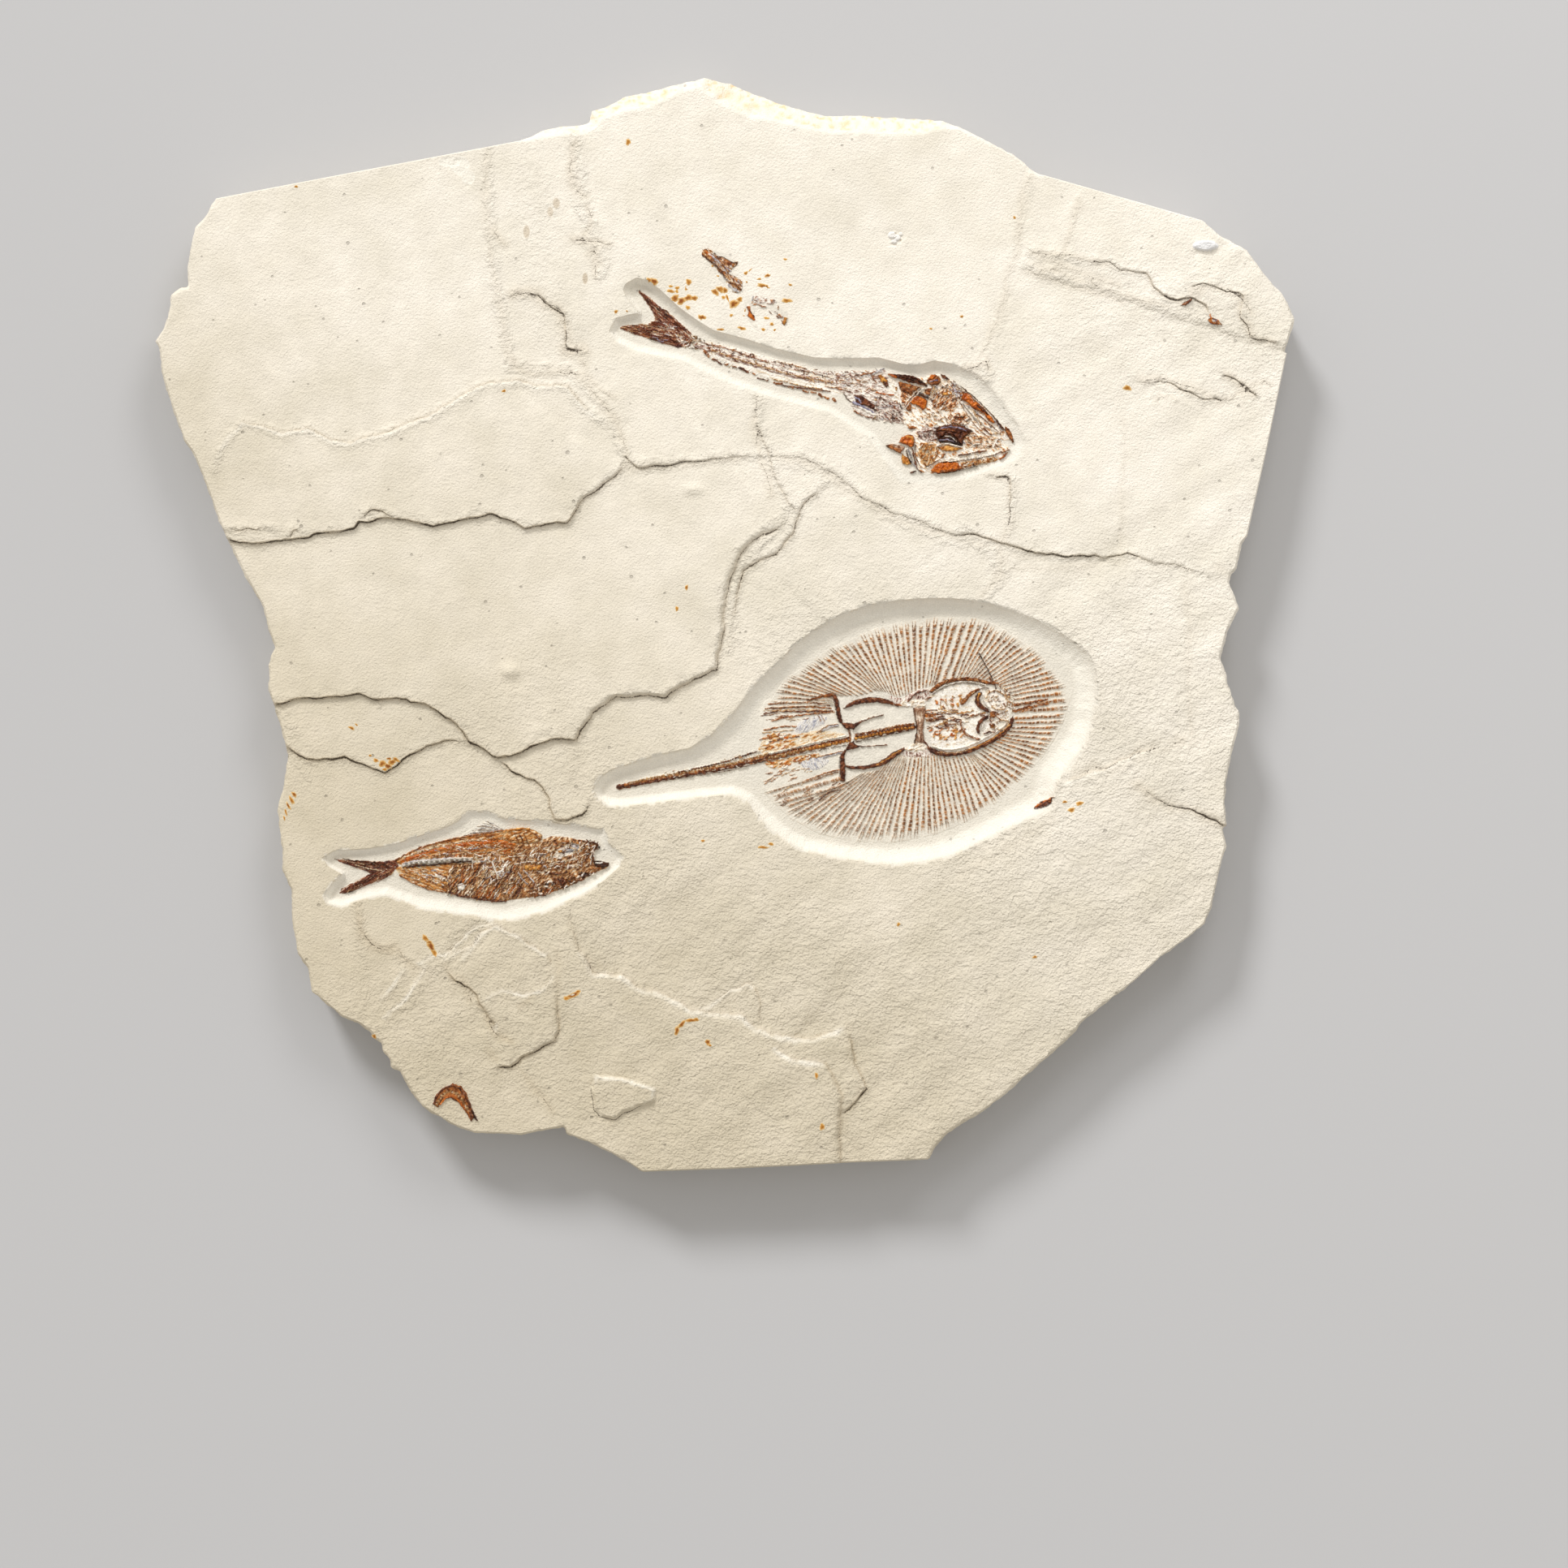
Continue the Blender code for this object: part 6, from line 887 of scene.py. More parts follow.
LONG_ITEMS = [
    ("weave", "chalk", 1, 0.3, [
        (-15.5, 140.8), (-8.4, 139.6), (5.9, 136.5), (21.7, 132.1), (39.9, 126.2), (66, 122.6),
        (66, 113.9), (53.3, 113.1), (41.5, 115.3), (25.6, 119.8), (13.8, 124.2), (2.7, 128.2),
        (-6.8, 132.1), (-13.1, 135.3),
    ], -16, 7, 0.8, 0.33),
    ("weave", "mess", 0.5, 0.6, [
        (-13.1, 140), (-2, 137.6), (13.8, 132.9), (21.7, 130.1), (37.5, 126.2), (66, 122.8),
        (66, 121), (37.5, 124.6), (18.5, 128.9), (10.6, 131.3), (-2, 135.7), (-12.3, 138.4),
    ], -17, 2.2, 0.55, 0.12),
    ("weave", "mess", 0.6, 0.9, [
        (-15.5, 138.8), (-6.8, 137), (2.7, 133.3), (18.5, 128.2), (33.5, 124.2), (45.4, 121.7),
        (66, 118.3), (66, 116.1), (45.4, 119.3), (33.5, 121.5), (18.5, 125.6), (1.1, 130.4),
        (-7.6, 134.5), (-14.7, 136.1),
    ], -18, 2.6, 0.6, -0.04),
    ("bar", "rust", 0.35, 0.8, [
        (-10, 138.4), (-2, 136.8), (5.9, 134.5), (13.8, 131.7), (20.9, 129.3),
    ]),
    ("bar", "rust", 0.35, 0.8, [(26.4, 129.3), (32.8, 128), (39.9, 126.2)]),
    ("bar", "maroon", 0.3, 0.9, [(35.9, 125.8), (45.4, 123.4), (54.9, 121), (66, 119.1)]),
    ("bar", "tan", 0.45, 1, [
        (-6.8, 135.4), (2.7, 131.9), (16.9, 127.5), (29.6, 123.8), (41.5, 121.2), (66, 117.4),
    ]),
    ("bar", "maroon", 0.45, 0.9, [(24.8, 118.5), (34.3, 116.9), (41.5, 116.1), (51.7, 114.9)]),
    ("bar", "tan", 0.4, 0.9, [(24.1, 120.6), (29.6, 119.8), (37.5, 117.5), (47.8, 116.1)]),
    ("bar", "rust", 0.75, 1, [(-10.3, 134.5), (-8.2, 132.3)]),
    ("bar", "maroon", 0.5, 1, [(-6.2, 130.8), (-3.9, 129.9), (-2, 128.3)]),
    ("bar", "rust", 0.45, 1, [(-0.1, 128.2), (1.4, 128)]),
    ("bar", "rust", 0.45, 1, [(3.7, 127.2), (5.5, 126.7)]),
    ("bar", "maroon", 0.65, 1, [(7.1, 126.4), (9.2, 125.6), (11.2, 124.4)]),
    ("bar", "rust", 0.45, 1, [(13.5, 123.8), (14.7, 123.2)]),
    ("bar", "maroon", 0.4, 1, [(15.8, 121.3), (18.4, 120.9), (20.7, 119.9), (21.5, 120.7)]),
    ("bar", "rust", 0.55, 1, [(24.2, 119.1), (26.9, 118.5), (28, 119)]),
    ("bar", "rust", 0.5, 1, [(31.2, 117.1), (33.5, 116.4)]),
    ("bar", "maroon", 0.6, 1, [(35.6, 116.8), (38, 116.4)]),
    ("bar", "rust", 0.6, 1, [(38.4, 115.2), (40.7, 114.5)]),
    ("bar", "rust", 0.5, 1, [(42.4, 114.5), (44.6, 114.1)]),
    ("bar", "rust", 0.7, 1, [(46.4, 113.4), (47.5, 112.3)]),
    ("bar", "rust", 0.7, 1, [(48.9, 112.2), (50.6, 111.4)]),
    ("bar", "rust", 0.8, 1, [(53.3, 111.1), (54.1, 110.3)]),
    ("bar", "rust", 0.35, 0.8, [(49.4, 117.1), (56.5, 115.9), (64.4, 114.5)]),
    ("strokes", ("maroon", "rust", "tan", "white", "dark"), 0.26, 0.8, [
        (-14.7, 140.8), (13.8, 133.7), (39.9, 126.6), (66, 122.6), (66, 115.5), (41.5, 119.8),
        (17.7, 126.2), (-6.8, 133.7), (-15.5, 135.7),
    ], 230, -30, 60, 1.6),
    ("weave", "lobe", 0.6, 0.9, [
        (-43.6, 165.7), (-36.8, 161.4), (-32.9, 157.3), (-28.1, 153.9), (-23.4, 149.9),
        (-19.6, 146.7), (-17.1, 144.4), (-15.5, 140.8), (-17.9, 136.8), (-23.4, 136.5),
        (-27.3, 144), (-34.5, 149.9), (-36, 154.2), (-38.8, 158.6), (-41.6, 162.2),
    ], -42, 6, 0.45, 0.02),
    ("weave", "lobe", 0.6, 0.9, [
        (-52.7, 146.2), (-50.1, 147.6), (-43.2, 147.8), (-38.4, 148.1), (-34.5, 150.3),
        (-25.8, 147.1), (-17.9, 140.8), (-17.9, 137.6), (-23.4, 136.4), (-29.7, 138.1),
        (-36, 140.2), (-43.2, 142.5), (-49.5, 144.6),
    ], -12, 6, 0.45, 0.04),
    ("strokes", ("rust", "tan", "maroon"), 0.26, 1.1, [
        (-52.5, 146.2), (-43.2, 147.8), (-34.5, 150.3), (-33.7, 144), (-36, 140.8), (-43.2, 142.8),
    ], 34, -12, 10, 4),
    ("strokes", ("dark", "maroon"), 0.26, 1.1, [
        (-33.7, 157), (-27.3, 153.5), (-19.4, 146.7), (-20.2, 144.8), (-28.9, 151.9), (-33.7, 155),
    ], 20, -42, 8, 4),
    ("strokes", ("dark", "maroon", "lilac"), 0.26, 1.1, [
        (-35.3, 142.4), (-24.2, 140.8), (-21.8, 136.8), (-29.7, 138.4), (-35.3, 140.2),
    ], 18, -12, 8, 4),
    ("strokes", ("dark", "maroon"), 0.26, 1.1, [
        (-43.2, 165.3), (-36.8, 159.8), (-34.5, 151.9), (-36, 154.2), (-41.6, 162.2),
    ], 16, -52, 8, 4),
    ("strokes", ("white", "ashy", "sand"), 0.26, 1, [
        (-31.3, 149.5), (-24.2, 147.1), (-19.4, 142.4), (-21.8, 138.4), (-27.3, 141.6),
        (-32.1, 145.5),
    ], 34, -35, 40, 1.6),
    ("strokes", ("white", "dark", "tan"), 0.3, 1, [
        (-22.6, 142.4), (-15.5, 143.2), (-10, 139.2), (-13.1, 135.3), (-21, 136.8),
    ], 50, -25, 60, 1.6),
    ("weave", "mess", 0.8, 0.9, [
        (53.4, 124.9), (61.9, 125.5), (73, 125.2), (78.5, 126.4), (80.3, 122.1), (87.7, 111.1),
        (91.3, 101.3), (93.8, 96.4), (88.9, 97.9), (81.5, 98.9), (70.5, 101.3), (63.8, 105),
        (58.3, 113.6), (53.4, 116),
    ], -14, 2.6, 0.6, 0.2),
    ("weave", "chalk", 0.8, 0.7, [
        (78.5, 121.5), (86.4, 120.3), (87.7, 111.1), (91.3, 106.8), (88.9, 102.5), (83.4, 108.7),
        (79.1, 115.4),
    ], -24, 3, 1, 0.3),
    ("bar", "rust", 0.5, 1.1, [(67.2, 123), (70.5, 123.7), (73.9, 124.3)]),
    ("bar", "ashy", 0.45, 1.1, [(72.4, 123), (75.4, 124.9), (78.2, 126.4)]),
    ("bar", "ashy", 0.35, 1.1, [(74.2, 126.4), (76, 124.9), (77.6, 124.3)]),
    ("bar", "maroon", 0.35, 1.1, [(54, 116.6), (61.9, 114.5)]),
    ("bar", "rust", 0.4, 1, [(54.6, 116.5), (58.9, 115.4)]),
    ("bar", "dark", 0.3, 1, [(58.6, 113.6), (60.2, 111.1), (63.8, 108)]),
    ("plate", "maroon", 0.8, 1.3, [
        (63.7, 112.8), (67.2, 113.1), (73, 108.7), (75.1, 107.3), (74.9, 104.7), (69.9, 107.3),
        (64.4, 109.1),
    ]),
    ("bar", "lilac", 0.7, 1.2, [(63.2, 109.3), (67.8, 107.3), (73, 104.1), (77.9, 101.3)]),
    ("bar", "lilac", 0.4, 1.3, [(63.8, 112), (65.9, 111.1), (66.8, 109.3)]),
    ("bar", "white", 0.6, 1.1, [(66.8, 106.8), (72.4, 103.8), (77.9, 102.2)]),
    ("bar", "rust", 0.55, 1.1, [(63.8, 105), (67.2, 102.8), (70.6, 101.9)]),
    ("bar", "tan", 0.55, 1.3, [(70.3, 98.5), (74.8, 102.8), (78.1, 108)]),
    ("bar", "dark", 0.25, 1.4, [(70.6, 99.1), (75.2, 103.3), (78.5, 108.2)]),
    ("strokes", ("ashy", "white", "tan", "dark", "maroon", "rust"), 0.3, 1, [
        (74.8, 112.3), (83.4, 112.3), (88.9, 106.8), (91.3, 101.3), (91.3, 98.9), (81.5, 99.2),
        (74.8, 102.2), (73, 106.8),
    ], 90, 30, 80, 2.2),
    ("strokes", ("ashy", "white", "maroon", "rust", "tan"), 0.28, 1, [
        (54.6, 124.6), (73, 124.6), (74.8, 114.8), (63.8, 114.5), (54.6, 116.6),
    ], 90, -18, 50, 2.4),
    ("bar", "white", 0.3, 0.9, [(77.9, 98.9), (83.4, 97.8), (88.6, 96.4)]),
    ("weave", "skull", 0.9, 1, [
        (86.4, 119.6), (98.6, 123.1), (106.6, 123.6), (113.6, 120.1), (119.6, 115.6),
        (127.1, 108.6), (133.6, 101.6), (137.6, 97.1), (141.4, 90.1), (140.1, 85.6), (134.6, 80.6),
        (119.6, 77.4), (102.6, 74.1), (94.6, 74.9), (93.1, 81.6), (93.6, 93.6), (88.1, 98.6),
        (86.9, 106.6), (86.4, 114.6),
    ], -38, 3, 0.9, 0.36),
    ("weave", "skull", 0.9, 1.5, [
        (102.6, 113.1), (106.6, 116.1), (109.6, 116.5), (113.1, 114.6), (114.9, 109.6),
        (114.6, 107.1), (112.6, 104.6), (107.6, 105.4), (104.6, 105.6), (102.1, 107.6),
    ], 48, 2.6, 0.7, -0.06),
    ("weave", "skull", 0.9, 1.4, [
        (109.6, 103.6), (115.6, 104.6), (119.6, 102.4), (120.9, 99.6), (119.6, 98.4), (114.6, 98.1),
        (111.6, 98.6), (109.6, 100.9),
    ], -40, 2.6, 0.7, -0.02),
    ("weave", "band", 0.9, 1.3, [
        (96.1, 89.6), (102.6, 89.4), (105.6, 87.1), (104.9, 82.6), (102.6, 79.6), (99.6, 77.4),
        (96.6, 79.1), (94.9, 84.1),
    ], 70, 2.4, 1, 0.08),
    ("weave", "mess", 0.9, 1.2, [
        (94.1, 95.1), (98.1, 97.6), (104.1, 97.1), (104.6, 90.6), (100.6, 89.6), (96.1, 91.1),
    ], 10, 2.6, 0.7, -0.02),
    ("weave", "mess", 0.9, 1.2, [
        (74.6, 112.4), (80.6, 112.1), (87.1, 108.1), (88.1, 102.6), (86.1, 99.6), (80.6, 100.1),
        (74.6, 101.6),
    ], -30, 2.2, 0.7, 0),
    ("weave", "skull", 0.9, 1.4, [
        (86.6, 114.9), (89.6, 114.6), (91.9, 113.1), (89.2, 109.6), (88.2, 106.4), (86.4, 110.6),
    ], -50, 2.4, 0.8, -0.1),
    ("weave", "skull", 0.9, 1.2, [
        (117.1, 94.4), (124.6, 94.6), (134.6, 91.6), (136.6, 88.1), (130.6, 86.1), (119.6, 86.6),
        (116.4, 89.6),
    ], -20, 2.6, 0.8, 0.2),
    ("weave", "chalk", 0.9, 1.5, [
        (105.1, 81.4), (109.6, 82.4), (116.1, 82.5), (124.6, 84), (134.1, 85.6), (136.6, 84.6),
        (133.1, 82.9), (125.1, 81.5), (117.1, 80.4), (109.6, 80.4), (106.1, 79.9),
    ], 8, 1.4, 1.2, 0.3),
    ("weave", "band", 0.9, 1.5, [
        (115.6, 79.5), (118.1, 80.1), (124.6, 80.9), (132.1, 82.4), (134.9, 81.5), (133.6, 80.1),
        (128.6, 79.3), (122.1, 77.9), (117.1, 76.7),
    ], -15, 1.6, 1, -0.04),
    ("strokes", ("ashy", "maroon", "tan", "dark", "white"), 0.3, 1.5, [
        (102.6, 117.6), (112.6, 119.6), (117.1, 115.1), (116.6, 110.1), (112.6, 114.6),
        (106.6, 116.1), (102.6, 112.6), (101.6, 108.6), (100.6, 113.1),
    ], 70, -50, 70, 1.8),
    ("strokes", ("ashy", "lilac", "ashy", "rust"), 0.34, 1.4, [
        (111.6, 117.6), (114.6, 117.6), (116.9, 114.6), (116.1, 111.6), (113.6, 112.1),
        (111.9, 115.1),
    ], 26, -60, 50, 1.5),
    ("strokes", ("white", "dark", "rust", "white", "tan"), 0.26, 1.7, [
        (102.6, 113.1), (113.1, 115.1), (114.6, 108.6), (109.6, 105.1), (102.6, 106.6),
    ], 56, 48, 24, 2.4),
    ("strokes", ("white", "dark", "orange", "white"), 0.26, 1.6, [
        (109.6, 103.6), (116.1, 104.6), (120.6, 101.1), (119.1, 98.4), (111.6, 98.6),
    ], 44, 35, 30, 1.8),
    ("strokes", ("white", "maroon", "tan", "amber"), 0.28, 1.5, [
        (96.1, 89.6), (102.6, 89.4), (105.6, 86.6), (102.6, 79.6), (98.6, 77.6), (94.9, 84.1),
    ], 50, 60, 60, 2),
    ("strokes", ("dark", "white", "maroon", "ashy"), 0.26, 1.4,
        [(94.1, 95.1), (104.6, 97.1), (105.6, 90.1), (96.1, 90.6)], 44, 20, 80, 2),
    ("strokes", ("dark", "white", "maroon", "rust", "white", "ashy"), 0.3, 1.3,
        [(74.6, 112.6), (87.6, 108.6), (88.1, 100.1), (74.6, 99.6)], 80, -35, 60, 2.2),
    ("strokes", ("lilac", "white", "rust", "dark", "ashy"), 0.3, 1.9, [
        (103.9, 97.1), (110.6, 98.7), (117.1, 98.1), (122.1, 95.2), (117.7, 91.6), (117.2, 87.8),
        (110.6, 89.6), (104.6, 91.1),
    ], 30, -28, 30, 2.6),
    ("strokes", ("white", "rust", "dark", "tan"), 0.26, 1.4,
        [(117.1, 94.6), (136.6, 91.6), (136.1, 86.6), (118.6, 86.6)], 60, -15, 60, 2.2),
    ("strokes", ("white", "tan", "rust"), 0.26, 1.3,
        [(96.6, 105.6), (108.6, 104.6), (109.6, 98.6), (97.6, 97.6)], 36, -20, 70, 2),
    ("bar", "white", 0.55, 1.5, [
        (116.5, 109.6), (119.6, 106.1), (123.6, 101.6), (128.6, 97.6), (134.6, 94.6),
    ]),
    ("bar", "rust", 0.32, 1.5, [
        (115.4, 109.9), (118.6, 104.6), (122.1, 99.6), (126.1, 95.1), (130.1, 92),
    ]),
    ("bar", "dark", 0.22, 1.6, [(117.1, 109.1), (121.1, 103.6), (124.6, 99.1), (127.6, 95.1)]),
    ("bar", "tan", 0.5, 1.4, [(121.4, 107.4), (123.9, 102.4), (126.1, 98.6)]),
    ("bar", "ashy", 0.4, 1.4, [(118.6, 108.1), (122.6, 106.1), (127.1, 101.6)]),
    ("bar", "maroon", 0.34, 1.5, [(123.9, 103.9), (127.1, 101.6), (131.1, 98.1), (134.6, 95.1)]),
    ("bar", "maroon", 0.5, 1.5, [(127.6, 96.6), (129.4, 94.9), (131.2, 93.5)]),
    ("plate", "maroon", 0.3, 1.4, [(130.2, 97.6), (131.1, 97.8), (131.5, 97), (130.7, 96.5)]),
    ("bar", "tan", 0.35, 1.4, [(132.1, 94.1), (134.1, 94.6), (135.9, 94.4)]),
    ("plate", "maroon", 0.8, 1.9, [
        (81.1, 123.7), (84.6, 123.6), (88.6, 123.3), (92.6, 122.6), (94.7, 121.9), (97.2, 120.5),
        (100.2, 117.7), (99.6, 117), (95.6, 118.2), (91.1, 119.2), (86.1, 120.8), (82.6, 122.1),
    ]),
    ("plate", "orange", 0.5, 1.9, [
        (80, 123.8), (82.1, 123.7), (85.1, 122.3), (84.9, 120.9), (82.5, 121.8), (80.6, 122.8),
    ]),
    ("bar", "dark", 0.75, 1.9, [(86.6, 122.4), (91.1, 121.1), (95.6, 119.8), (98.1, 118.7)]),
    ("plate", "rust", 0.8, 1.6, [
        (84.9, 119.8), (89.6, 119.2), (94.6, 117.5), (97.5, 117.5), (93.8, 115), (91.3, 113),
        (88.9, 114.6), (86.9, 114.6), (85.9, 116.6),
    ]),
    ("bar", "tan", 0.3, 1.7, [(88.6, 117.1), (91.6, 116.5), (94.6, 116.7)]),
    ("plate", "orange", 0.8, 1.7, [
        (92.2, 112.1), (94.6, 113.1), (98.1, 111.6), (99.9, 110.3), (99.4, 107), (97.6, 105.3),
        (95.1, 107.3), (92.2, 108.5), (90.5, 109.5),
    ]),
    ("plate", "rust", 0.5, 1.5, [
        (89.5, 109.5), (91.9, 108.4), (91.9, 104.7), (90.2, 105), (88.6, 107),
    ]),
    ("bar", "dark", 0.6, 1.7, [(94, 113.8), (96.6, 113.1), (99.9, 111.6)]),
    ("bar", "ashy", 0.3, 1.8, [(94.4, 114.6), (97.1, 114), (100.2, 112.6)]),
    ("plate", "rust", 0.6, 1.6, [(98, 116), (101.9, 116.8), (101.1, 112.6), (99.1, 113.2)]),
    ("bar", "tan", 0.5, 1.6, [(103.2, 117), (102.4, 115.1), (101.9, 112.9)]),
    ("plate", "rust", 0.6, 1.8, [
        (99, 120.4), (100.6, 122.1), (103.4, 123.8), (105.7, 122.1), (106.7, 119.6), (104.6, 117.8),
        (101.6, 117.8), (99.6, 119),
    ]),
    ("plate", "orange", 0.6, 1.9, [
        (99.6, 120.8), (101.1, 122.5), (103.2, 123.6), (104.6, 122.1), (102.6, 120.8),
        (100.6, 120.3),
    ]),
    ("bar", "lilac", 0.4, 2, [(100.9, 119.7), (102.6, 120.1), (104.7, 120.4)]),
    ("bar", "dark", 0.22, 2, [(101.1, 119.4), (102.9, 119.7), (104.8, 120)]),
    ("plate", "maroon", 0.5, 1.8, [
        (105.8, 124), (108.6, 123.1), (111, 120.8), (109.6, 120.2), (107.2, 121.5),
    ]),
    ("plate", "amber", 0.6, 1.7, [
        (106.6, 113.7), (109.1, 115), (111.7, 114.6), (111.9, 113), (109.6, 112.7), (107.6, 112.6),
    ]),
    ("bar", "white", 0.4, 1.8, [(109.9, 114.3), (110.7, 113.5)]),
    ("plate", "amber", 0.5, 1.3, [
        (75.1, 122.5), (77.1, 123.4), (80.2, 120.5), (80.6, 117.6), (79.4, 116.4), (77.6, 118.5),
    ]),
    ("plate", "maroon", 0.4, 1.4, [
        (77.6, 120.1), (80.1, 119.6), (80.5, 117.6), (79.4, 116.5), (78.1, 118.1),
    ]),
    ("plate", "amber", 0.4, 1.1, [(83.7, 117.3), (84.9, 117.6), (85, 115.1), (84.1, 115.1)]),
    ("bar", "orange", 0.5, 1.1, [(74.6, 114.2), (78.6, 113.5), (82.9, 113)]),
    ("bar", "dark", 0.22, 1.9, [(87.9, 106.5), (91.1, 111), (94.6, 114.6), (96.6, 116.4)]),
    ("bar", "white", 0.3, 1.8, [(88.6, 106.1), (91.9, 110.6), (95.4, 114.3), (98.1, 116.5)]),
    ("bar", "dark", 0.24, 1.5, [(81.6, 98.2), (83.4, 101.4), (85.2, 104.2)]),
    ("bar", "dark", 0.2, 1.5, [(108.2, 102.6), (109.1, 100.1), (109.7, 98.5)]),
    ("bar", "dark", 0.3, 1.9, [
        (112.6, 120.1), (117.1, 116.7), (122.1, 112.9), (127.1, 108.1), (132.1, 103), (135.7, 98.5),
        (139.6, 93.5), (142.2, 88.5),
    ]),
    ("bar", "white", 0.3, 1.8, [(113.1, 119.4), (117.1, 115.9), (121.9, 112.1), (126.9, 107.3)]),
    ("plate", "orange", 0.8, 2.1, [
        (116.3, 110.8), (117.1, 114.2), (119.6, 114.2), (121.9, 112.4), (122.7, 110.6),
        (127.1, 107.3), (129.4, 104.6), (132.1, 101.6), (133, 99.6), (132.1, 98.8), (129.1, 100.8),
        (127.6, 103.5), (124.6, 105.5), (122.1, 106.2), (119.6, 109), (117.1, 110.3),
    ]),
    ("plate", "maroon", 0.4, 2.2, [
        (123.9, 108.7), (127.1, 107.1), (129.4, 104.5), (130.6, 102.4), (128.6, 103.6),
        (126.1, 105.6), (124.1, 107.1),
    ]),
    ("bar", "white", 0.22, 2.3, [(119.6, 113.1), (121.6, 111.1), (122.9, 109.6)]),
    ("plate", "rust", 0.5, 1.9, [
        (137.8, 97.9), (140.1, 96.7), (141.4, 94.1), (142.7, 89.6), (142.1, 88.5), (140.1, 91.5),
        (138.1, 94.5),
    ]),
    ("bar", "maroon", 0.4, 1.8, [(133.6, 100.1), (135.4, 98.1), (137.1, 95.8)]),
    ("bar", "ashy", 0.4, 1.8, [(132.9, 100.1), (134.6, 97.6), (136.6, 95.1)]),
    ("plate", "maroon", 1.2, 1.6, [
        (103.9, 97.1), (106.6, 97.8), (110.6, 98.7), (117.1, 98.1), (122.1, 95.2), (119.9, 93.6),
        (117.7, 91.6), (117.2, 87.8), (114.1, 88), (110.6, 89.6), (106.6, 90.9), (104.6, 91.1),
        (103.6, 94.6),
    ]),
    ("plate", "maroon", 0.7, 1.8, [
        (103.5, 96.5), (106.6, 97.6), (110.6, 98.6), (115.6, 98.2), (119.6, 96.7), (122.2, 95.1),
        (121.1, 94.3), (117.1, 94.5), (115.6, 93.5), (111.6, 94.5), (107.1, 95), (104.6, 95),
    ]),
    ("plate", "maroon", 0.6, 1.7, [
        (103.1, 95.1), (106.6, 95.1), (109.6, 94.6), (109.1, 92.6), (106.6, 92.1), (104.1, 92.6),
    ]),
    ("plate", "dark", 0.7, 1.8, [
        (104.7, 91.4), (106.6, 92.5), (108.7, 94.5), (112.7, 93.5), (114.7, 91.5), (116.7, 88),
        (114.6, 88), (111.1, 89.5), (106.6, 89.5), (104.9, 89.8),
    ]),
    ("bar", "lilac", 0.4, 1.9, [(106.6, 96.6), (110.6, 97.3), (114.6, 97), (118.6, 95.6)]),
    ("bar", "rust", 0.35, 1.9, [(105.1, 95.8), (109.6, 96), (113.6, 95.1)]),
    ("bar", "white", 0.25, 1.9, [(108.1, 92.4), (111.1, 92.5), (114.1, 90.1)]),
    ("bar", "lilac", 0.3, 1.9, [(105.6, 90.6), (109.6, 91.1), (112.6, 89.6)]),
    ("plate", "amber", 0.5, 1.6, [
        (104.6, 87.2), (108.6, 88.2), (112.6, 87.5), (116.2, 86.6), (114.6, 85.3), (109.6, 85),
        (106.6, 85.6),
    ]),
    ("bar", "white", 0.5, 1.7, [(104.1, 87.7), (107.6, 89), (112.6, 88.3), (116.6, 87.1)]),
    ("plate", "rust", 0.4, 1.6, [(106.6, 84), (109.1, 84.5), (107.7, 82.1), (106.1, 81.6)]),
    ("bar", "white", 0.4, 1.7, [(99.6, 77.1), (102.6, 79.1), (105.6, 81.6)]),
    ("bar", "dark", 0.3, 1.7, [(98.1, 79.6), (99.1, 77.6), (101.6, 78.6), (104.6, 80.9)]),
    ("bar", "maroon", 0.6, 1.7, [(115.4, 83.3), (118.1, 83.6), (120.7, 84)]),
    ("bar", "maroon", 0.5, 1.7, [(121.7, 84.5), (125.1, 85), (128.6, 85.5)]),
    ("bar", "maroon", 0.45, 1.7, [(133.6, 84), (136.2, 85.1)]),
    ("plate", "orange", 0.8, 2, [
        (101.4, 75.8), (102.6, 77.4), (105.1, 79.6), (109.6, 80), (114.6, 79.8), (116.1, 77.6),
        (117.7, 76.7), (113.6, 75.3), (108.6, 74.5), (104.6, 74.1), (101.9, 74.5),
    ]),
    ("bar", "rust", 0.4, 2.1, [(106.6, 75.1), (111.6, 76), (116.6, 76.9)]),
    ("strokes", ("dark", "tan", "white", "rust"), 0.28, 1.7, [
        (115.6, 79.5), (124.6, 80.9), (132.1, 82.4), (134.9, 81.5), (128.6, 79.3), (117.1, 76.7),
    ], 40, 10, 70, 1.6),
    ("plate", "orange", 0.5, 1.9, [
        (134.5, 81.3), (137.1, 83.6), (140.2, 85.4), (137.7, 82.1), (135.6, 80.7),
    ]),
    ("bar", "rust", 0.4, 1.8, [(136.6, 84.6), (138.6, 85.6), (140.4, 86)]),
    ("bar", "dark", 0.28, 1.6, [
        (106.6, 79.8), (112.6, 80.1), (119.6, 81.2), (126.6, 82.1), (133.6, 83.6),
    ]),
    ("bar", "dark", 0.25, 1.8, [
        (104.6, 74.1), (109.6, 74.4), (114.6, 75.4), (119.6, 76.8), (124.6, 78),
    ]),
    ("plate", "orange", 0.8, 1.8, [
        (85.4, 89.5), (86.6, 92.2), (89.1, 93.4), (91.4, 93.8), (93.2, 92.4), (93.7, 90.1),
        (92.9, 87.5), (91.1, 87), (88.6, 88.3),
    ]),
    ("bar", "amber", 0.5, 1.9, [(89.6, 92.5), (91.9, 92.1), (92.7, 90.1)]),
    ("plate", "rust", 0.5, 1.5, [
        (78.6, 88.3), (81.6, 88.9), (85.7, 88.4), (88.7, 87.1), (87.2, 84.8), (86.6, 83.8),
        (83.1, 85.5), (80.1, 87),
    ]),
    ("weave", "taupe", 0.6, 1.6, [
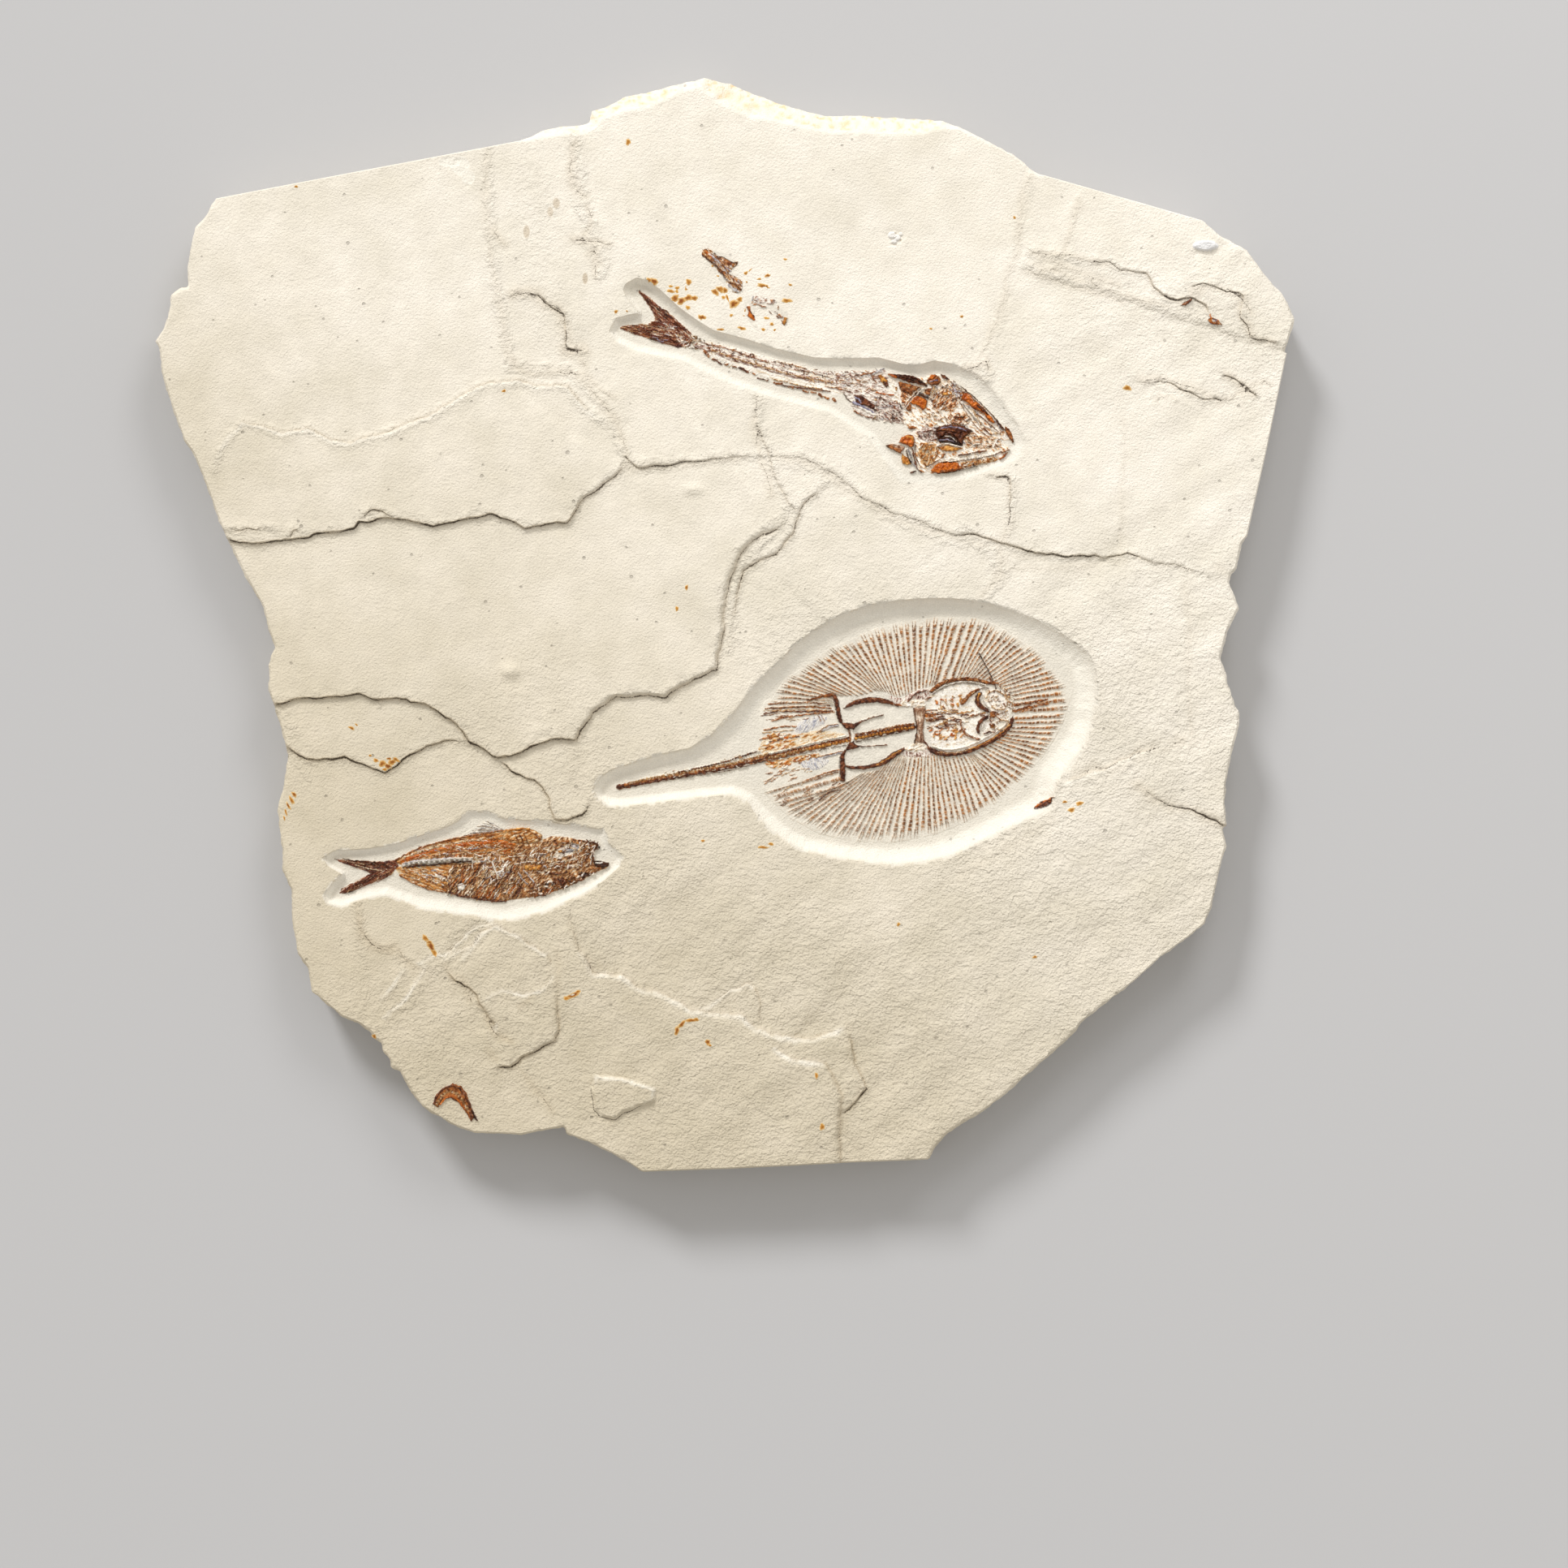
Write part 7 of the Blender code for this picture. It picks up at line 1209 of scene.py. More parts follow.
        (81.1, 89), (85.6, 88.5), (89.1, 87.2), (87.6, 85.6), (84.6, 86.6), (81.6, 87.9),
    ], -12, 2.6, 0.6, 0),
    ("plate", "amber", 0.6, 1.5, [
        (87.1, 84.6), (88.2, 83.1), (91.2, 81.6), (91.7, 78.5), (89.6, 78.3), (87.3, 78.8),
        (86.6, 81.1),
    ]),
    ("bar", "dark", 0.4, 1.7, [(89.1, 85.6), (90.1, 82.6), (91.4, 79.6)]),
    ("bar", "ashy", 0.4, 1.7, [(90.1, 86.6), (91.4, 83.1), (92.1, 79.6), (94.6, 76.6)]),
    ("bar", "maroon", 0.45, 1.7, [(92.1, 86.6), (93.1, 81.6), (94.6, 76.6), (96.6, 74.9)]),
    ("bar", "dark", 0.3, 1.8, [(93.9, 88.6), (93.6, 84.6), (94.6, 80.6), (96.6, 77.1)]),
    ("plate", "maroon", 0.4, 1.2, [(90.4, 74.3), (93.1, 75.6), (94.7, 75.2), (92.1, 74)]),
    ("plate", "rust", 0.5, 1.3, [
        (88.7, 96.5), (91.9, 98.1), (94.7, 97.1), (93.6, 96.2), (89.6, 95.9),
    ]),
]

DEEP_ITEMS = [
    ("weave", "band", 1, 0.9, [
        (-164, -117.5), (-158.6, -113.8), (-150.9, -110.1), (-143.1, -107.8), (-135.4, -105.9),
        (-127.6, -104.3), (-119.8, -102.9), (-110.1, -101.5), (-100.5, -100), (-94.6, -101),
        (-89.8, -103.9), (-100.5, -113.6), (-104.3, -117.5), (-125.7, -116.5), (-144.1, -117.5),
        (-158.6, -119.4),
    ], 8, 7, 0.9, -0.05),
    ("weave", "band", 1, 0.8, [
        (-164, -119.6), (-158.6, -119.6), (-135.4, -118), (-125.7, -117.5), (-129.5, -125.2),
        (-137.3, -132.5), (-145, -131.5), (-152.8, -128.6), (-158.6, -125.7), (-161.7, -122.3),
    ], -14, 6, 0.9, 0.1),
    ("weave", "flank", 1, 1, [
        (-135.4, -118.5), (-123.7, -117.5), (-102.4, -116.5), (-94.6, -127.2), (-96.6, -134.9),
        (-110.1, -136.7), (-119.8, -135.9), (-129.5, -134.4), (-138.3, -132.5), (-140.2, -129.1),
    ], 60, 5, 0.62, -0.12),
    ("weave", "flank", 1, 1.3, [
        (-106.3, -110.7), (-100.5, -107.8), (-89.8, -105.9), (-85.9, -104.4), (-78.2, -104.9),
        (-72.3, -106.3), (-62.5, -108.3), (-64.6, -112.6), (-65.1, -116.5), (-57.3, -117.7),
        (-57.2, -119.6), (-61.7, -121.6), (-67.5, -124.5), (-73.3, -127.4), (-79.1, -130.3),
        (-85.9, -132.5), (-92.7, -134.5), (-97.5, -135.1), (-100.5, -129.1), (-104.3, -120.4),
    ], 40, 2.4, 0.8, -0.02),
    ("weave", "lobe", 0.6, 0.9, [
        (-193.5, -115.7), (-186.7, -116.3), (-178, -116.5), (-169.3, -117), (-162.5, -115.9),
        (-161, -119.6), (-168.3, -122.5), (-175.1, -122.9), (-180.9, -120.6), (-187.7, -118.5),
    ], -7, 7, 0.4, -0.06),
    ("weave", "lobe", 0.6, 0.9, [
        (-162, -119.9), (-165.2, -124.3), (-173.2, -127.4), (-179.9, -130.3), (-186.7, -133.2),
        (-191, -133), (-189.6, -130.5), (-182.9, -127.2), (-177, -123.7), (-170.3, -120.9),
    ], 30, 7, 0.4, -0.02),
    ("strokes", ("dark", "maroon", "dark"), 0.26, 1.1, [
        (-191.6, -115.9), (-178, -116.7), (-168.3, -117.5), (-166.4, -121.4), (-175.1, -122.3),
        (-182.9, -119.2),
    ], 36, -8, 9, 5),
    ("strokes", ("dark", "maroon", "tan"), 0.26, 1.1, [
        (-164.4, -120.9), (-173.2, -124.3), (-182.9, -128.1), (-189.6, -132), (-186.7, -132.8),
        (-173.2, -127.2), (-165.4, -123.9),
    ], 36, 31, 9, 5),
    ("bar", "sand", 0.3, 1.2, [(-182.9, -118.6), (-176.1, -120.6), (-169.3, -121.6)]),
    ("bar", "sand", 0.25, 1.2, [(-188.7, -116.5), (-182.9, -117.7), (-178, -118.5)]),
    ("bar", "rust", 0.5, 1.1, [
        (-162.5, -116.3), (-158.6, -114), (-150.9, -110.3), (-143.1, -108), (-135.4, -106),
        (-127.6, -104.7), (-119.8, -103.3), (-110.1, -101.8),
    ]),
    ("bar", "orange", 1, 1.2, [
        (-159.1, -116.7), (-151.8, -114.4), (-144.6, -112.1), (-139.2, -110.7), (-131.5, -109.1),
        (-124.7, -108.3), (-116.9, -107.6), (-110.1, -107.4), (-104.3, -108.6),
    ]),
    ("bar", "sand", 0.6, 1.1, [
        (-158.6, -115.2), (-150.9, -112.2), (-143.1, -109.9), (-135.4, -108.2), (-127.6, -106.8),
        (-119.8, -105.9),
    ]),
    ("bar", "rust", 0.7, 1.2, [
        (-150.9, -116.7), (-143.1, -114.4), (-135.4, -112.4), (-129.5, -111.3), (-119.8, -109.9),
        (-110.1, -109.3), (-104.3, -110.5),
    ]),
    ("bar", "tan", 0.5, 1.1, [
        (-156.7, -117.5), (-147, -115.4), (-137.3, -113.8), (-127.6, -112.8), (-119.8, -112.4),
        (-112.1, -112.4),
    ]),
    ("plate", "ashy", 0.7, 1.1, [
        (-130.5, -111.3), (-125.7, -109.9), (-120.8, -109.7), (-119.8, -110.9), (-125.7, -111.5),
    ]),
    ("strokes", ("rust", "orange", "tan", "sand", "rust"), 0.28, 1.1, [
        (-160.6, -116.5), (-143.1, -108.8), (-127.6, -105.4), (-110.1, -102.9), (-104.3, -107.8),
        (-106.3, -113.6), (-125.7, -115.5), (-156.7, -118.5),
    ], 190, 16, 14, 3),
    ("strokes", ("rust", "maroon", "sand"), 0.25, 1.2, [
        (-155.7, -117.5), (-135.4, -113.1), (-114, -112.6), (-110.1, -115.5), (-125.7, -116),
        (-147, -117.1),
    ], 110, 58, 14, 1.8),
    ("beads", "white", 1.2, 1.8, [
        (-158.6, -118.6), (-153.8, -117.5), (-144.1, -116.9), (-134.4, -115.9), (-125.2, -115.9),
    ]),
    ("bar", "white", 0.5, 2.1, [
        (-158.1, -117.9), (-153.8, -116.9), (-144.1, -116.3), (-134.4, -115.4), (-125.2, -115.4),
    ]),
    ("bar", "ashy", 0.4, 1.2, [
        (-158.6, -118.3), (-153.8, -116.7), (-144.1, -115.9), (-134.4, -115.2),
    ]),
    ("bar", "dark", 0.55, 1.3, [
        (-158.8, -119.9), (-153.8, -119.4), (-144.1, -118.6), (-134.4, -117.6), (-124.9, -116.9),
    ]),
    ("bar", "maroon", 0.35, 1.2, [(-129.5, -119.4), (-121.8, -118.5), (-115, -118.1)]),
    ("strokes", ("ashy", "white", "sand"), 0.4, 1, [
        (-155.7, -121.4), (-143.1, -121.8), (-135.4, -124.3), (-139.2, -128.1), (-148.9, -126.2),
    ], 40, -22, 14, 4.2),
    ("strokes", ("rust", "amber", "tan"), 0.35, 1, [
        (-160.6, -120.9), (-137.3, -121.4), (-130.5, -120.4), (-135.4, -131.1), (-145, -131.1),
        (-154.7, -127.2),
    ], 80, -22, 18, 3.6),
    ("strokes", ("maroon", "rust", "maroon", "dark"), 0.36, 1.2, [
        (-135.4, -120.4), (-104.3, -118.5), (-98.5, -129.1), (-104.3, -134.9), (-116, -135.9),
        (-129.5, -133.5), (-138.3, -131.5),
    ], 190, 58, 9, 4.2),
    ("strokes", ("tan", "sand", "orange", "tan", "white"), 0.28, 1.25, [
        (-135.4, -120.4), (-104.3, -118.5), (-97.5, -129.1), (-104.3, -134.9), (-116, -135.9),
        (-129.5, -133.5), (-138.3, -131.5),
    ], 170, 58, 9, 4.6),
    ("bar", "maroon", 0.6, 1, [
        (-135.4, -132.6), (-129.5, -134.4), (-121.8, -135.5), (-114, -136.6), (-108.2, -136.7),
    ]),
    ("bar", "rust", 0.45, 0.9, [
        (-160.6, -123.9), (-154.7, -127.4), (-147, -130.7), (-139.2, -132.2),
    ]),
    ("bar", "white", 0.5, 1.3, [(-115, -117.5), (-113.8, -120.4), (-112.1, -124.5)]),
    ("bar", "white", 0.45, 1.3, [(-112.1, -124.5), (-109.7, -120.4), (-107.2, -116.7)]),
    ("bar", "white", 0.45, 1.3, [(-116, -121.8), (-113.1, -122.5), (-109.7, -121.8)]),
    ("bar", "white", 0.4, 1.3, [(-124.7, -116.7), (-124.7, -120.4)]),
    ("strokes", ("white", "sand", "ashy", "white"), 0.26, 1.5, [
        (-156.7, -113.6), (-143.1, -108.3), (-123.7, -105.9), (-110.1, -107.8), (-104.3, -113.6),
        (-106.3, -117.5), (-123.7, -113.8), (-143.1, -114.6),
    ], 46, -14, 12, 3.4),
    ("strokes", ("white", "sand", "ashy"), 0.26, 1.5, [
        (-156.7, -122.3), (-139.2, -122.3), (-123.7, -119.4), (-104.3, -120.4), (-100.5, -127.2),
        (-110.1, -134), (-129.5, -132), (-147, -129.1),
    ], 60, 40, 30, 2.2),
    ("strokes", ("white", "ashy", "sand"), 0.28, 1.7, [
        (-102.4, -112.6), (-83, -108.8), (-68.5, -109.7), (-69.4, -119.4), (-83, -123.3),
        (-98.5, -121.4),
    ], 60, 20, 70, 2.2),
    ("plate", "white", 0.5, 1.1, [
        (-132.6, -128.3), (-129.5, -127.4), (-128, -129.1), (-129.3, -131.6), (-131.9, -131.1),
    ]),
    ("bar", "maroon", 0.3, 1.2, [(-131.9, -129.1), (-129.5, -128.3)]),
    ("strokes", ("white", "sand", "ashy"), 0.32, 1.2, [
        (-123.7, -114.6), (-110.1, -115.5), (-104.3, -120.4), (-110.1, -126.2), (-116, -125.2),
    ], 46, 70, 60, 2.2),
    ("bar", "ashy", 0.26, 0.8, [(-109.7, -101.2), (-115, -98.1), (-118.4, -97.1)]),
    ("bar", "maroon", 0.22, 0.9, [(-110.6, -101.4), (-115, -98.9), (-117.4, -97.3)]),
    ("bar", "ashy", 0.26, 0.8, [(-111.1, -101.4), (-117.9, -99.3), (-120.8, -98.9)]),
    ("bar", "maroon", 0.22, 0.9, [(-111.9, -101.6), (-117.9, -99.8), (-122.8, -99.6)]),
    ("bar", "ashy", 0.26, 0.8, [(-112.6, -101.7), (-118.4, -100.6), (-123.2, -100.8)]),
    ("bar", "maroon", 0.22, 0.9, [(-113.3, -102), (-119.8, -101.4), (-124.7, -101.8)]),
    ("bar", "ashy", 0.26, 0.8, [(-114, -102.2), (-119.8, -102.2), (-126.1, -102.9)]),
    ("bar", "white", 0.3, 0.7, [(-111.6, -100.8), (-116.9, -98.5), (-119.8, -97.9)]),
    ("bar", "maroon", 0.22, 0.8, [(-115, -102.6), (-121.8, -102.9), (-129.1, -104.1)]),
    ("plate", "tan", 1.6, 1.5, [
        (-110.6, -105.1), (-108.2, -102), (-104.3, -100.6), (-98.5, -100.2), (-93.7, -101.2),
        (-90, -104.1), (-90.8, -106.8), (-95.6, -108.3), (-101.4, -108.3), (-107.2, -107.8),
    ]),
    ("weave", "band", 1.4, 1.6, [
        (-110.1, -105.1), (-107.7, -102.4), (-103.8, -101), (-98.5, -100.8), (-94.1, -101.6),
        (-91, -104.1), (-91.7, -106.4), (-96.1, -107.8), (-101.4, -107.8), (-107.2, -107.4),
    ], 20, 3, 0.9, 0),
    ("bar", "maroon", 0.4, 1.8, [(-101.4, -103.9), (-100.1, -106.8), (-99.5, -108.8)]),
    ("bar", "maroon", 0.35, 1.8, [(-99.3, -103.5), (-97.9, -106.4), (-97.4, -108.4)]),
    ("bar", "maroon", 0.3, 1.8, [(-103.4, -104.7), (-102, -107.4)]),
    ("bar", "amber", 0.5, 1.8, [(-107.2, -102), (-102.4, -100.8), (-96.6, -101)]),
    ("bar", "rust", 0.5, 1.8, [(-96.6, -102), (-93.2, -103.9), (-91.2, -106.4)]),
    ("weave", "chalk", 0.8, 1.5, [
        (-85.1, -115), (-83, -110.9), (-75.2, -107.2), (-71.2, -109.2), (-70.2, -112.2),
        (-76.2, -113.8), (-82, -115.7),
    ], 38, 2.4, 0.8, 0.34),
    ("plate", "ashy", 1, 1.4, [
        (-81.5, -112.6), (-79.1, -110.3), (-75.1, -108.2), (-72.3, -109.5), (-72, -111.5),
        (-76.2, -112.6),
    ]),
    ("bar", "amber", 0.45, 1.7, [
        (-75.1, -107.4), (-72.3, -108.4), (-71.4, -110.5), (-72.8, -112.1),
    ]),
    ("plate", "amber", 0.4, 1.6, [(-83, -111.7), (-80.5, -111.3), (-80.3, -112.6), (-82.4, -113)]),
    ("bar", "rust", 0.5, 1.6, [(-84.9, -109.2), (-81.1, -107.8), (-76.2, -106.8)]),
    ("bar", "maroon", 0.4, 1.7, [(-72.3, -106.4), (-67.5, -107.4), (-62.5, -108.4)]),
    ("bar", "dark", 0.45, 1.7, [(-65.6, -107.4), (-62.5, -108.4), (-62.1, -110.9)]),
    ("bar", "dark", 0.4, 1.6, [(-68.5, -105.9), (-66.5, -108.8), (-67.1, -111.7)]),
    ("bar", "white", 0.35, 1.7, [(-64.4, -109), (-65, -112.6), (-64.6, -116.1)]),
    ("plate", "dark", 0.5, 1.5, [
        (-65.4, -116.5), (-61.7, -116.7), (-57.2, -117.7), (-57.4, -119.6), (-61.3, -120.4),
        (-64.4, -119.2),
    ]),
    ("bar", "white", 0.4, 1.7, [(-64, -117.9), (-60.7, -117.5)]),
    ("bar", "rust", 0.5, 1.6, [(-65.6, -120.4), (-61.7, -120.4)]),
    ("plate", "amber", 0.8, 1.5, [
        (-99.5, -119), (-94.6, -118.1), (-89.8, -119), (-90.8, -121.4), (-95.6, -121.8),
        (-99, -121.2),
    ]),
    ("bar", "ashy", 0.45, 1.6, [(-99.5, -121.4), (-96.6, -124.5), (-94.6, -127)]),
    ("bar", "ashy", 0.45, 1.6, [(-101.9, -122.3), (-100.5, -125.6), (-97.5, -128.1)]),
    ("bar", "white", 0.35, 1.6, [(-100.5, -117.5), (-94.6, -117.1), (-89.8, -117.5)]),
    ("bar", "maroon", 0.6, 1.6, [(-93.5, -114), (-91.3, -115.2)]),
    ("bar", "maroon", 0.5, 1.6, [(-88.8, -122.3), (-83, -123.3), (-78.2, -122.3)]),
    ("bar", "white", 0.3, 1.7, [(-84.9, -117.5), (-77.2, -116.5), (-68.5, -113.2)]),
    ("bar", "rust", 0.5, 1.6, [(-83, -118.5), (-75.2, -117.5), (-67.5, -113.8)]),
    ("plate", "maroon", 0.6, 1.4, [
        (-84.9, -126.4), (-79.5, -125), (-77.2, -127.2), (-81.1, -129.1), (-84.9, -128.3),
    ]),
    ("plate", "dark", 0.6, 1.4, [
        (-72.7, -123.5), (-68.5, -122.3), (-66.9, -123.9), (-70.4, -125.6),
    ]),
    ("plate", "orange", 0.6, 1.4, [
        (-88.8, -130.3), (-84.9, -129.9), (-84.4, -132.2), (-87.9, -132.6),
    ]),
    ("strokes", ("maroon", "dark", "white", "rust"), 0.34, 1.5, [
        (-96.6, -128.1), (-81.1, -125.2), (-67.5, -121.4), (-64.6, -123.3), (-77.2, -129.5),
        (-88.8, -134), (-96.6, -134.9),
    ], 120, 28, 50, 2.2),
    ("strokes", ("tan", "sand", "maroon", "white", "rust"), 0.3, 1.6, [
        (-104.3, -111.7), (-84.9, -107.8), (-67.5, -107.8), (-66.5, -117.5), (-81.1, -122.3),
        (-96.6, -123.3), (-103.4, -118.5),
    ], 190, 35, 50, 2.8),
    ("strokes", ("dark", "maroon", "white"), 0.3, 1.6, [
        (-68.5, -105.9), (-62.1, -108.2), (-64.4, -117.5), (-68.5, -120.4), (-69.4, -112.6),
    ], 40, 70, 50, 2),
]

# The small bones on the face: the solid's name, the bed's outline, what is laid over it.
SMALL_BONES = [
    ("curled_fish_fossil", [
        (-141.5, -238.5), (-144.5, -236.5), (-142.5, -231.5), (-139.5, -228.5), (-134.5, -226),
        (-130, -227.5), (-127, -231.5), (-124.5, -238.5), (-121.5, -245.5), (-124.5, -243.5),
        (-125.5, -246), (-128, -240.5), (-131.5, -236), (-135.5, -233.5), (-139.5, -235),
    ], [
        ("plate", "rust", 1.2, 0.9, [
            (-141.5, -238.5), (-144.5, -236.5), (-142.5, -231.5), (-139.5, -228.5), (-134.5, -226),
            (-130, -227.5), (-127, -231.5), (-124.5, -238.5), (-121.8, -245), (-124, -243.5),
            (-125.2, -245.6), (-128, -240.5), (-131.5, -236), (-135.5, -233.5), (-139.5, -235),
        ]),
        ("bar", "maroon", 0.6, 1.3, [
            (-143.6, -236), (-141.6, -231.6), (-138.6, -228.8), (-134.5, -227.2), (-130.8, -228.6),
            (-128, -232), (-125.6, -238),
        ]),
        ("beads", "tan", 0.8, 1.1, [
            (-142, -236.8), (-139.6, -232.2), (-136, -230.2), (-132.4, -231), (-129.6, -234.2),
            (-126.8, -239.4),
        ]),
        ("bar", "orange", 0.5, 1.1, [
            (-140.4, -236.8), (-137.6, -233.2), (-134.4, -232.4), (-131.4, -234.6), (-128.4, -239),
        ]),
        ("bar", "dark", 0.5, 1.2, [(-124.8, -239.8), (-122.4, -244.4)]),
        ("bar", "maroon", 0.5, 1.1, [(-125.6, -240.2), (-125, -244.6)]),
    ]),
    ("loose_jaw_bone", [
        (-11.5, 185), (-8, 186.5), (1.5, 182), (6.5, 178.5), (5, 175.5), (-1, 172.5), (3.5, 171.5),
        (8, 168.5), (7.5, 164.5), (2.5, 163), (-2.5, 168.5), (-7, 177), (-11, 181.5),
    ], [
        ("plate", "rust", 0.6, 0.6, [
            (-11.4, 184), (-10.2, 185), (-8.2, 185.1), (-6.2, 183.3), (-3.8, 181.4), (-1.4, 181.1),
            (1, 179.7), (3.8, 178.3), (6.3, 178.9), (6.5, 177.6), (5.5, 176.3), (3.8, 175.3),
            (2.6, 175.1), (2.4, 174), (3.4, 172.1), (5.9, 172.5), (9.1, 170.1), (9.1, 168.3),
            (10.3, 166.6), (9.1, 165.1), (8.2, 163.5), (6.6, 162.7), (4.2, 163.1), (1.8, 167.5),
            (0.2, 169.9), (-2.2, 172.7), (-5.4, 176.3), (-8.2, 179.1), (-11, 181.1), (-11.8, 182.4),
        ]),
        ("weave", "flank", 0.5, 0.8, [
            (-11.4, 184), (-8.2, 185.1), (-3.8, 181.4), (1, 179.7), (3.8, 178.3), (6.3, 178.9),
            (6.5, 177.6), (3.8, 175.3), (2.4, 174), (3.4, 172.1), (5.9, 172.5), (9.1, 170.1),
            (10.3, 166.6), (8.2, 163.5), (6.6, 162.7), (4.2, 163.1), (0.2, 169.9), (-5.4, 176.3),
            (-11, 181.1),
        ], -42, 3.4, 0.6, -0.05),
        ("bar", "orange", 0.7, 0.85, [(-9.8, 183.6), (-8.2, 182.4), (-6.8, 181)]),
        ("bar", "rust", 0.9, 0.85, [(-4.2, 180.8), (-0.6, 178.8), (3.8, 176.8)]),
        ("bar", "rust", 0.9, 0.85, [(3.4, 170.8), (5.8, 168.8), (7.4, 166)]),
        ("bar", "dark", 0.35, 0.9, [
            (-11.2, 181.8), (-8.2, 179.4), (-5, 176.7), (-1.8, 172.8), (0.6, 169.8),
        ]),
        ("bar", "dark", 0.3, 0.9,
            [(-3.8, 181.3), (-1, 180.9), (1.4, 179.4), (4.2, 178), (6, 178.4)]),
        ("bar", "lilac", 0.4, 0.85, [(-7.4, 182), (-4.2, 179.2), (-0.2, 176.4), (2.6, 174)]),
        ("bar", "ashy", 0.35, 0.9, [(-6.2, 182.4), (-5.4, 180), (-1.8, 177.6)]),
        ("bar", "ashy", 0.7, 0.8, [(1.8, 167.2), (4.2, 164.8), (7.4, 163.4)]),
        ("bar", "dark", 0.22, 0.9, [(2.6, 167.6), (5.4, 165.4), (7.8, 164)]),
        ("bar", "white", 0.3, 0.9, [(-3.4, 178.4), (-0.2, 176.4), (2.6, 175.8)]),
        ("strokes", ("dark", "ashy", "rust", "maroon", "white"), 0.26, 0.85, [
            (-11, 184), (-8.2, 184.8), (-1.4, 180), (3.8, 177.6), (5.8, 178), (2.6, 174.8),
            (4.2, 171.6), (9, 169.2), (9, 166), (5.4, 163.6), (-1.4, 172.4), (-8.2, 179.6),
        ], 60, -42, 16, 3),
        ("bar", "maroon", 0.3, 0.65, [(4.2, 170.8), (5.8, 172.4), (9, 170)]),
    ]),
    ("scattered_bone", [
        (9.5, 161.5), (14.5, 161), (24.5, 159.5), (25.5, 157), (31, 154.5), (31.5, 149),
        (28.5, 147.5), (26, 152), (20.5, 155), (15.5, 155.5), (13.5, 150.5), (17.5, 146),
        (15, 145.5), (9, 151.5),
    ], [
        ("plate", "orange", 0.5, 0.7, [
            (10.5, 156.3), (12.2, 156.9), (12.7, 154), (14.3, 151.6), (15.9, 149.8), (14.2, 149.3),
            (12.2, 150.7), (10.8, 151.9), (11.5, 154),
        ]),
        ("bar", "maroon", 0.3, 0.75, [(11, 156.4), (12.2, 154.4), (14.6, 151.2)]),
        ("weave", "mess", 0.5, 0.8, [
            (14.2, 162.4), (17.8, 163), (20.2, 160), (26.6, 159.8), (27.5, 157.9), (22.6, 157.5),
            (17.8, 157.9), (14.6, 159.4),
        ], 0, 1.6, 0.9, 0.2),
        ("strokes", ("maroon", "white", "rust", "ashy"), 0.24, 0.65, [
            (14.2, 162), (20.2, 160.4), (27, 159.6), (26.6, 157.6), (17.8, 158), (12.2, 157.2),
            (12.6, 159.6),
        ], 34, 5, 60, 1.4),
        ("bar", "rust", 0.42, 0.7, [(14.2, 157.6), (16.2, 157.6), (18.2, 156.4), (19.9, 156.3)]),
        ("bar", "rust", 0.5, 0.7, [(22.8, 159.4), (24.6, 159.6)]),
        ("bar", "ashy", 0.45, 0.6, [(11.9, 165.6), (13.8, 162.8), (13.5, 159.6)]),
        ("bar", "maroon", 0.22, 0.65, [(12.2, 165.4), (14.2, 162.2)]),
        ("bar", "maroon", 0.42, 0.7, [(21.8, 154.1), (23.5, 151.6), (25.9, 150.8), (28.2, 151.6)]),
        ("bar", "maroon", 0.3, 0.65, [(24.5, 154.2), (26.3, 152.3)]),
        ("bar", "rust", 0.35, 0.65, [(26.3, 156.9), (26.1, 155.1)]),
        ("bar", "rust", 0.4, 0.65, [(25, 151.6), (26.6, 152.4), (27.8, 151.6)]),
        ("plate", "amber", 0.5, 0.7, [
            (28.6, 151.5), (30.7, 151.1), (30.3, 149.1), (29.1, 146.8), (27.7, 148.3),
            (28.6, 149.9),
        ]),
        ("bar", "maroon", 0.26, 0.75, [(27.7, 149.6), (29.1, 146.8), (30.2, 148.8)]),
        ("bar", "rust", 0.34, 0.65, [(21, 152.2), (21.8, 151.2), (22.8, 150.4)]),
    ]),
    ("crack_bone_left", [(222, 154), (225.5, 157.5), (230, 160), (231.5, 158), (226.5, 155)], [
        ("plate", "maroon", 0.4, 1, [
            (224, 156.6), (226.4, 159), (230.8, 160.8), (229.5, 158.6), (226.9, 156.7),
        ]),
        ("bar", "rust", 0.4, 1.1, [(225, 157.2), (227.8, 158.8), (230.2, 160.4)]),
    ]),
    ("crack_bone_right", [(238, 151), (240.5, 153.5), (245.5, 150.5), (247.5, 146), (240, 147.5)], [
        ("plate", "rust", 0.5, 0.9, [
            (236.2, 149.2), (239.4, 151.4), (242.6, 150.2), (245.4, 147.2), (240.6, 147.4),
        ]),
        ("strokes", ("lilac", "white", "rust", "orange"), 0.26, 1, [
            (236.2, 149.2), (239.4, 151.4), (242.6, 150.2), (245.4, 147.2), (240.6, 147.4),
        ], 16, -40, 30, 1.6),
        ("bar", "orange", 0.4, 1, [(237.8, 154.8), (239, 152.4), (239.4, 150)]),
    ]),
    ("edge_bone", [(151, -90.8), (158, -85.5), (162, -81.5), (164.5, -85), (158, -89)], [
        ("plate", "maroon", 0.5, 1, [
            (150.6, -92.8), (153, -89.6), (156.2, -87.6), (161.4, -85.2), (161, -88.4),
            (157.8, -90.8),
        ]),
        ("bar", "orange", 0.4, 1.2, [(153, -90), (157, -87.6), (160.2, -86)]),
        ("strokes", ("white", "rust", "dark"), 0.26, 1.2, [
            (150.6, -92.8), (153, -89.6), (156.2, -87.6), (161.4, -85.2), (161, -88.4),
            (157.8, -90.8),
        ], 14, 30, 40, 1.6),
        ("bar", "white", 0.5, 0.8, [(154.6, -92.4), (159.4, -90.4)]),
    ]),
]

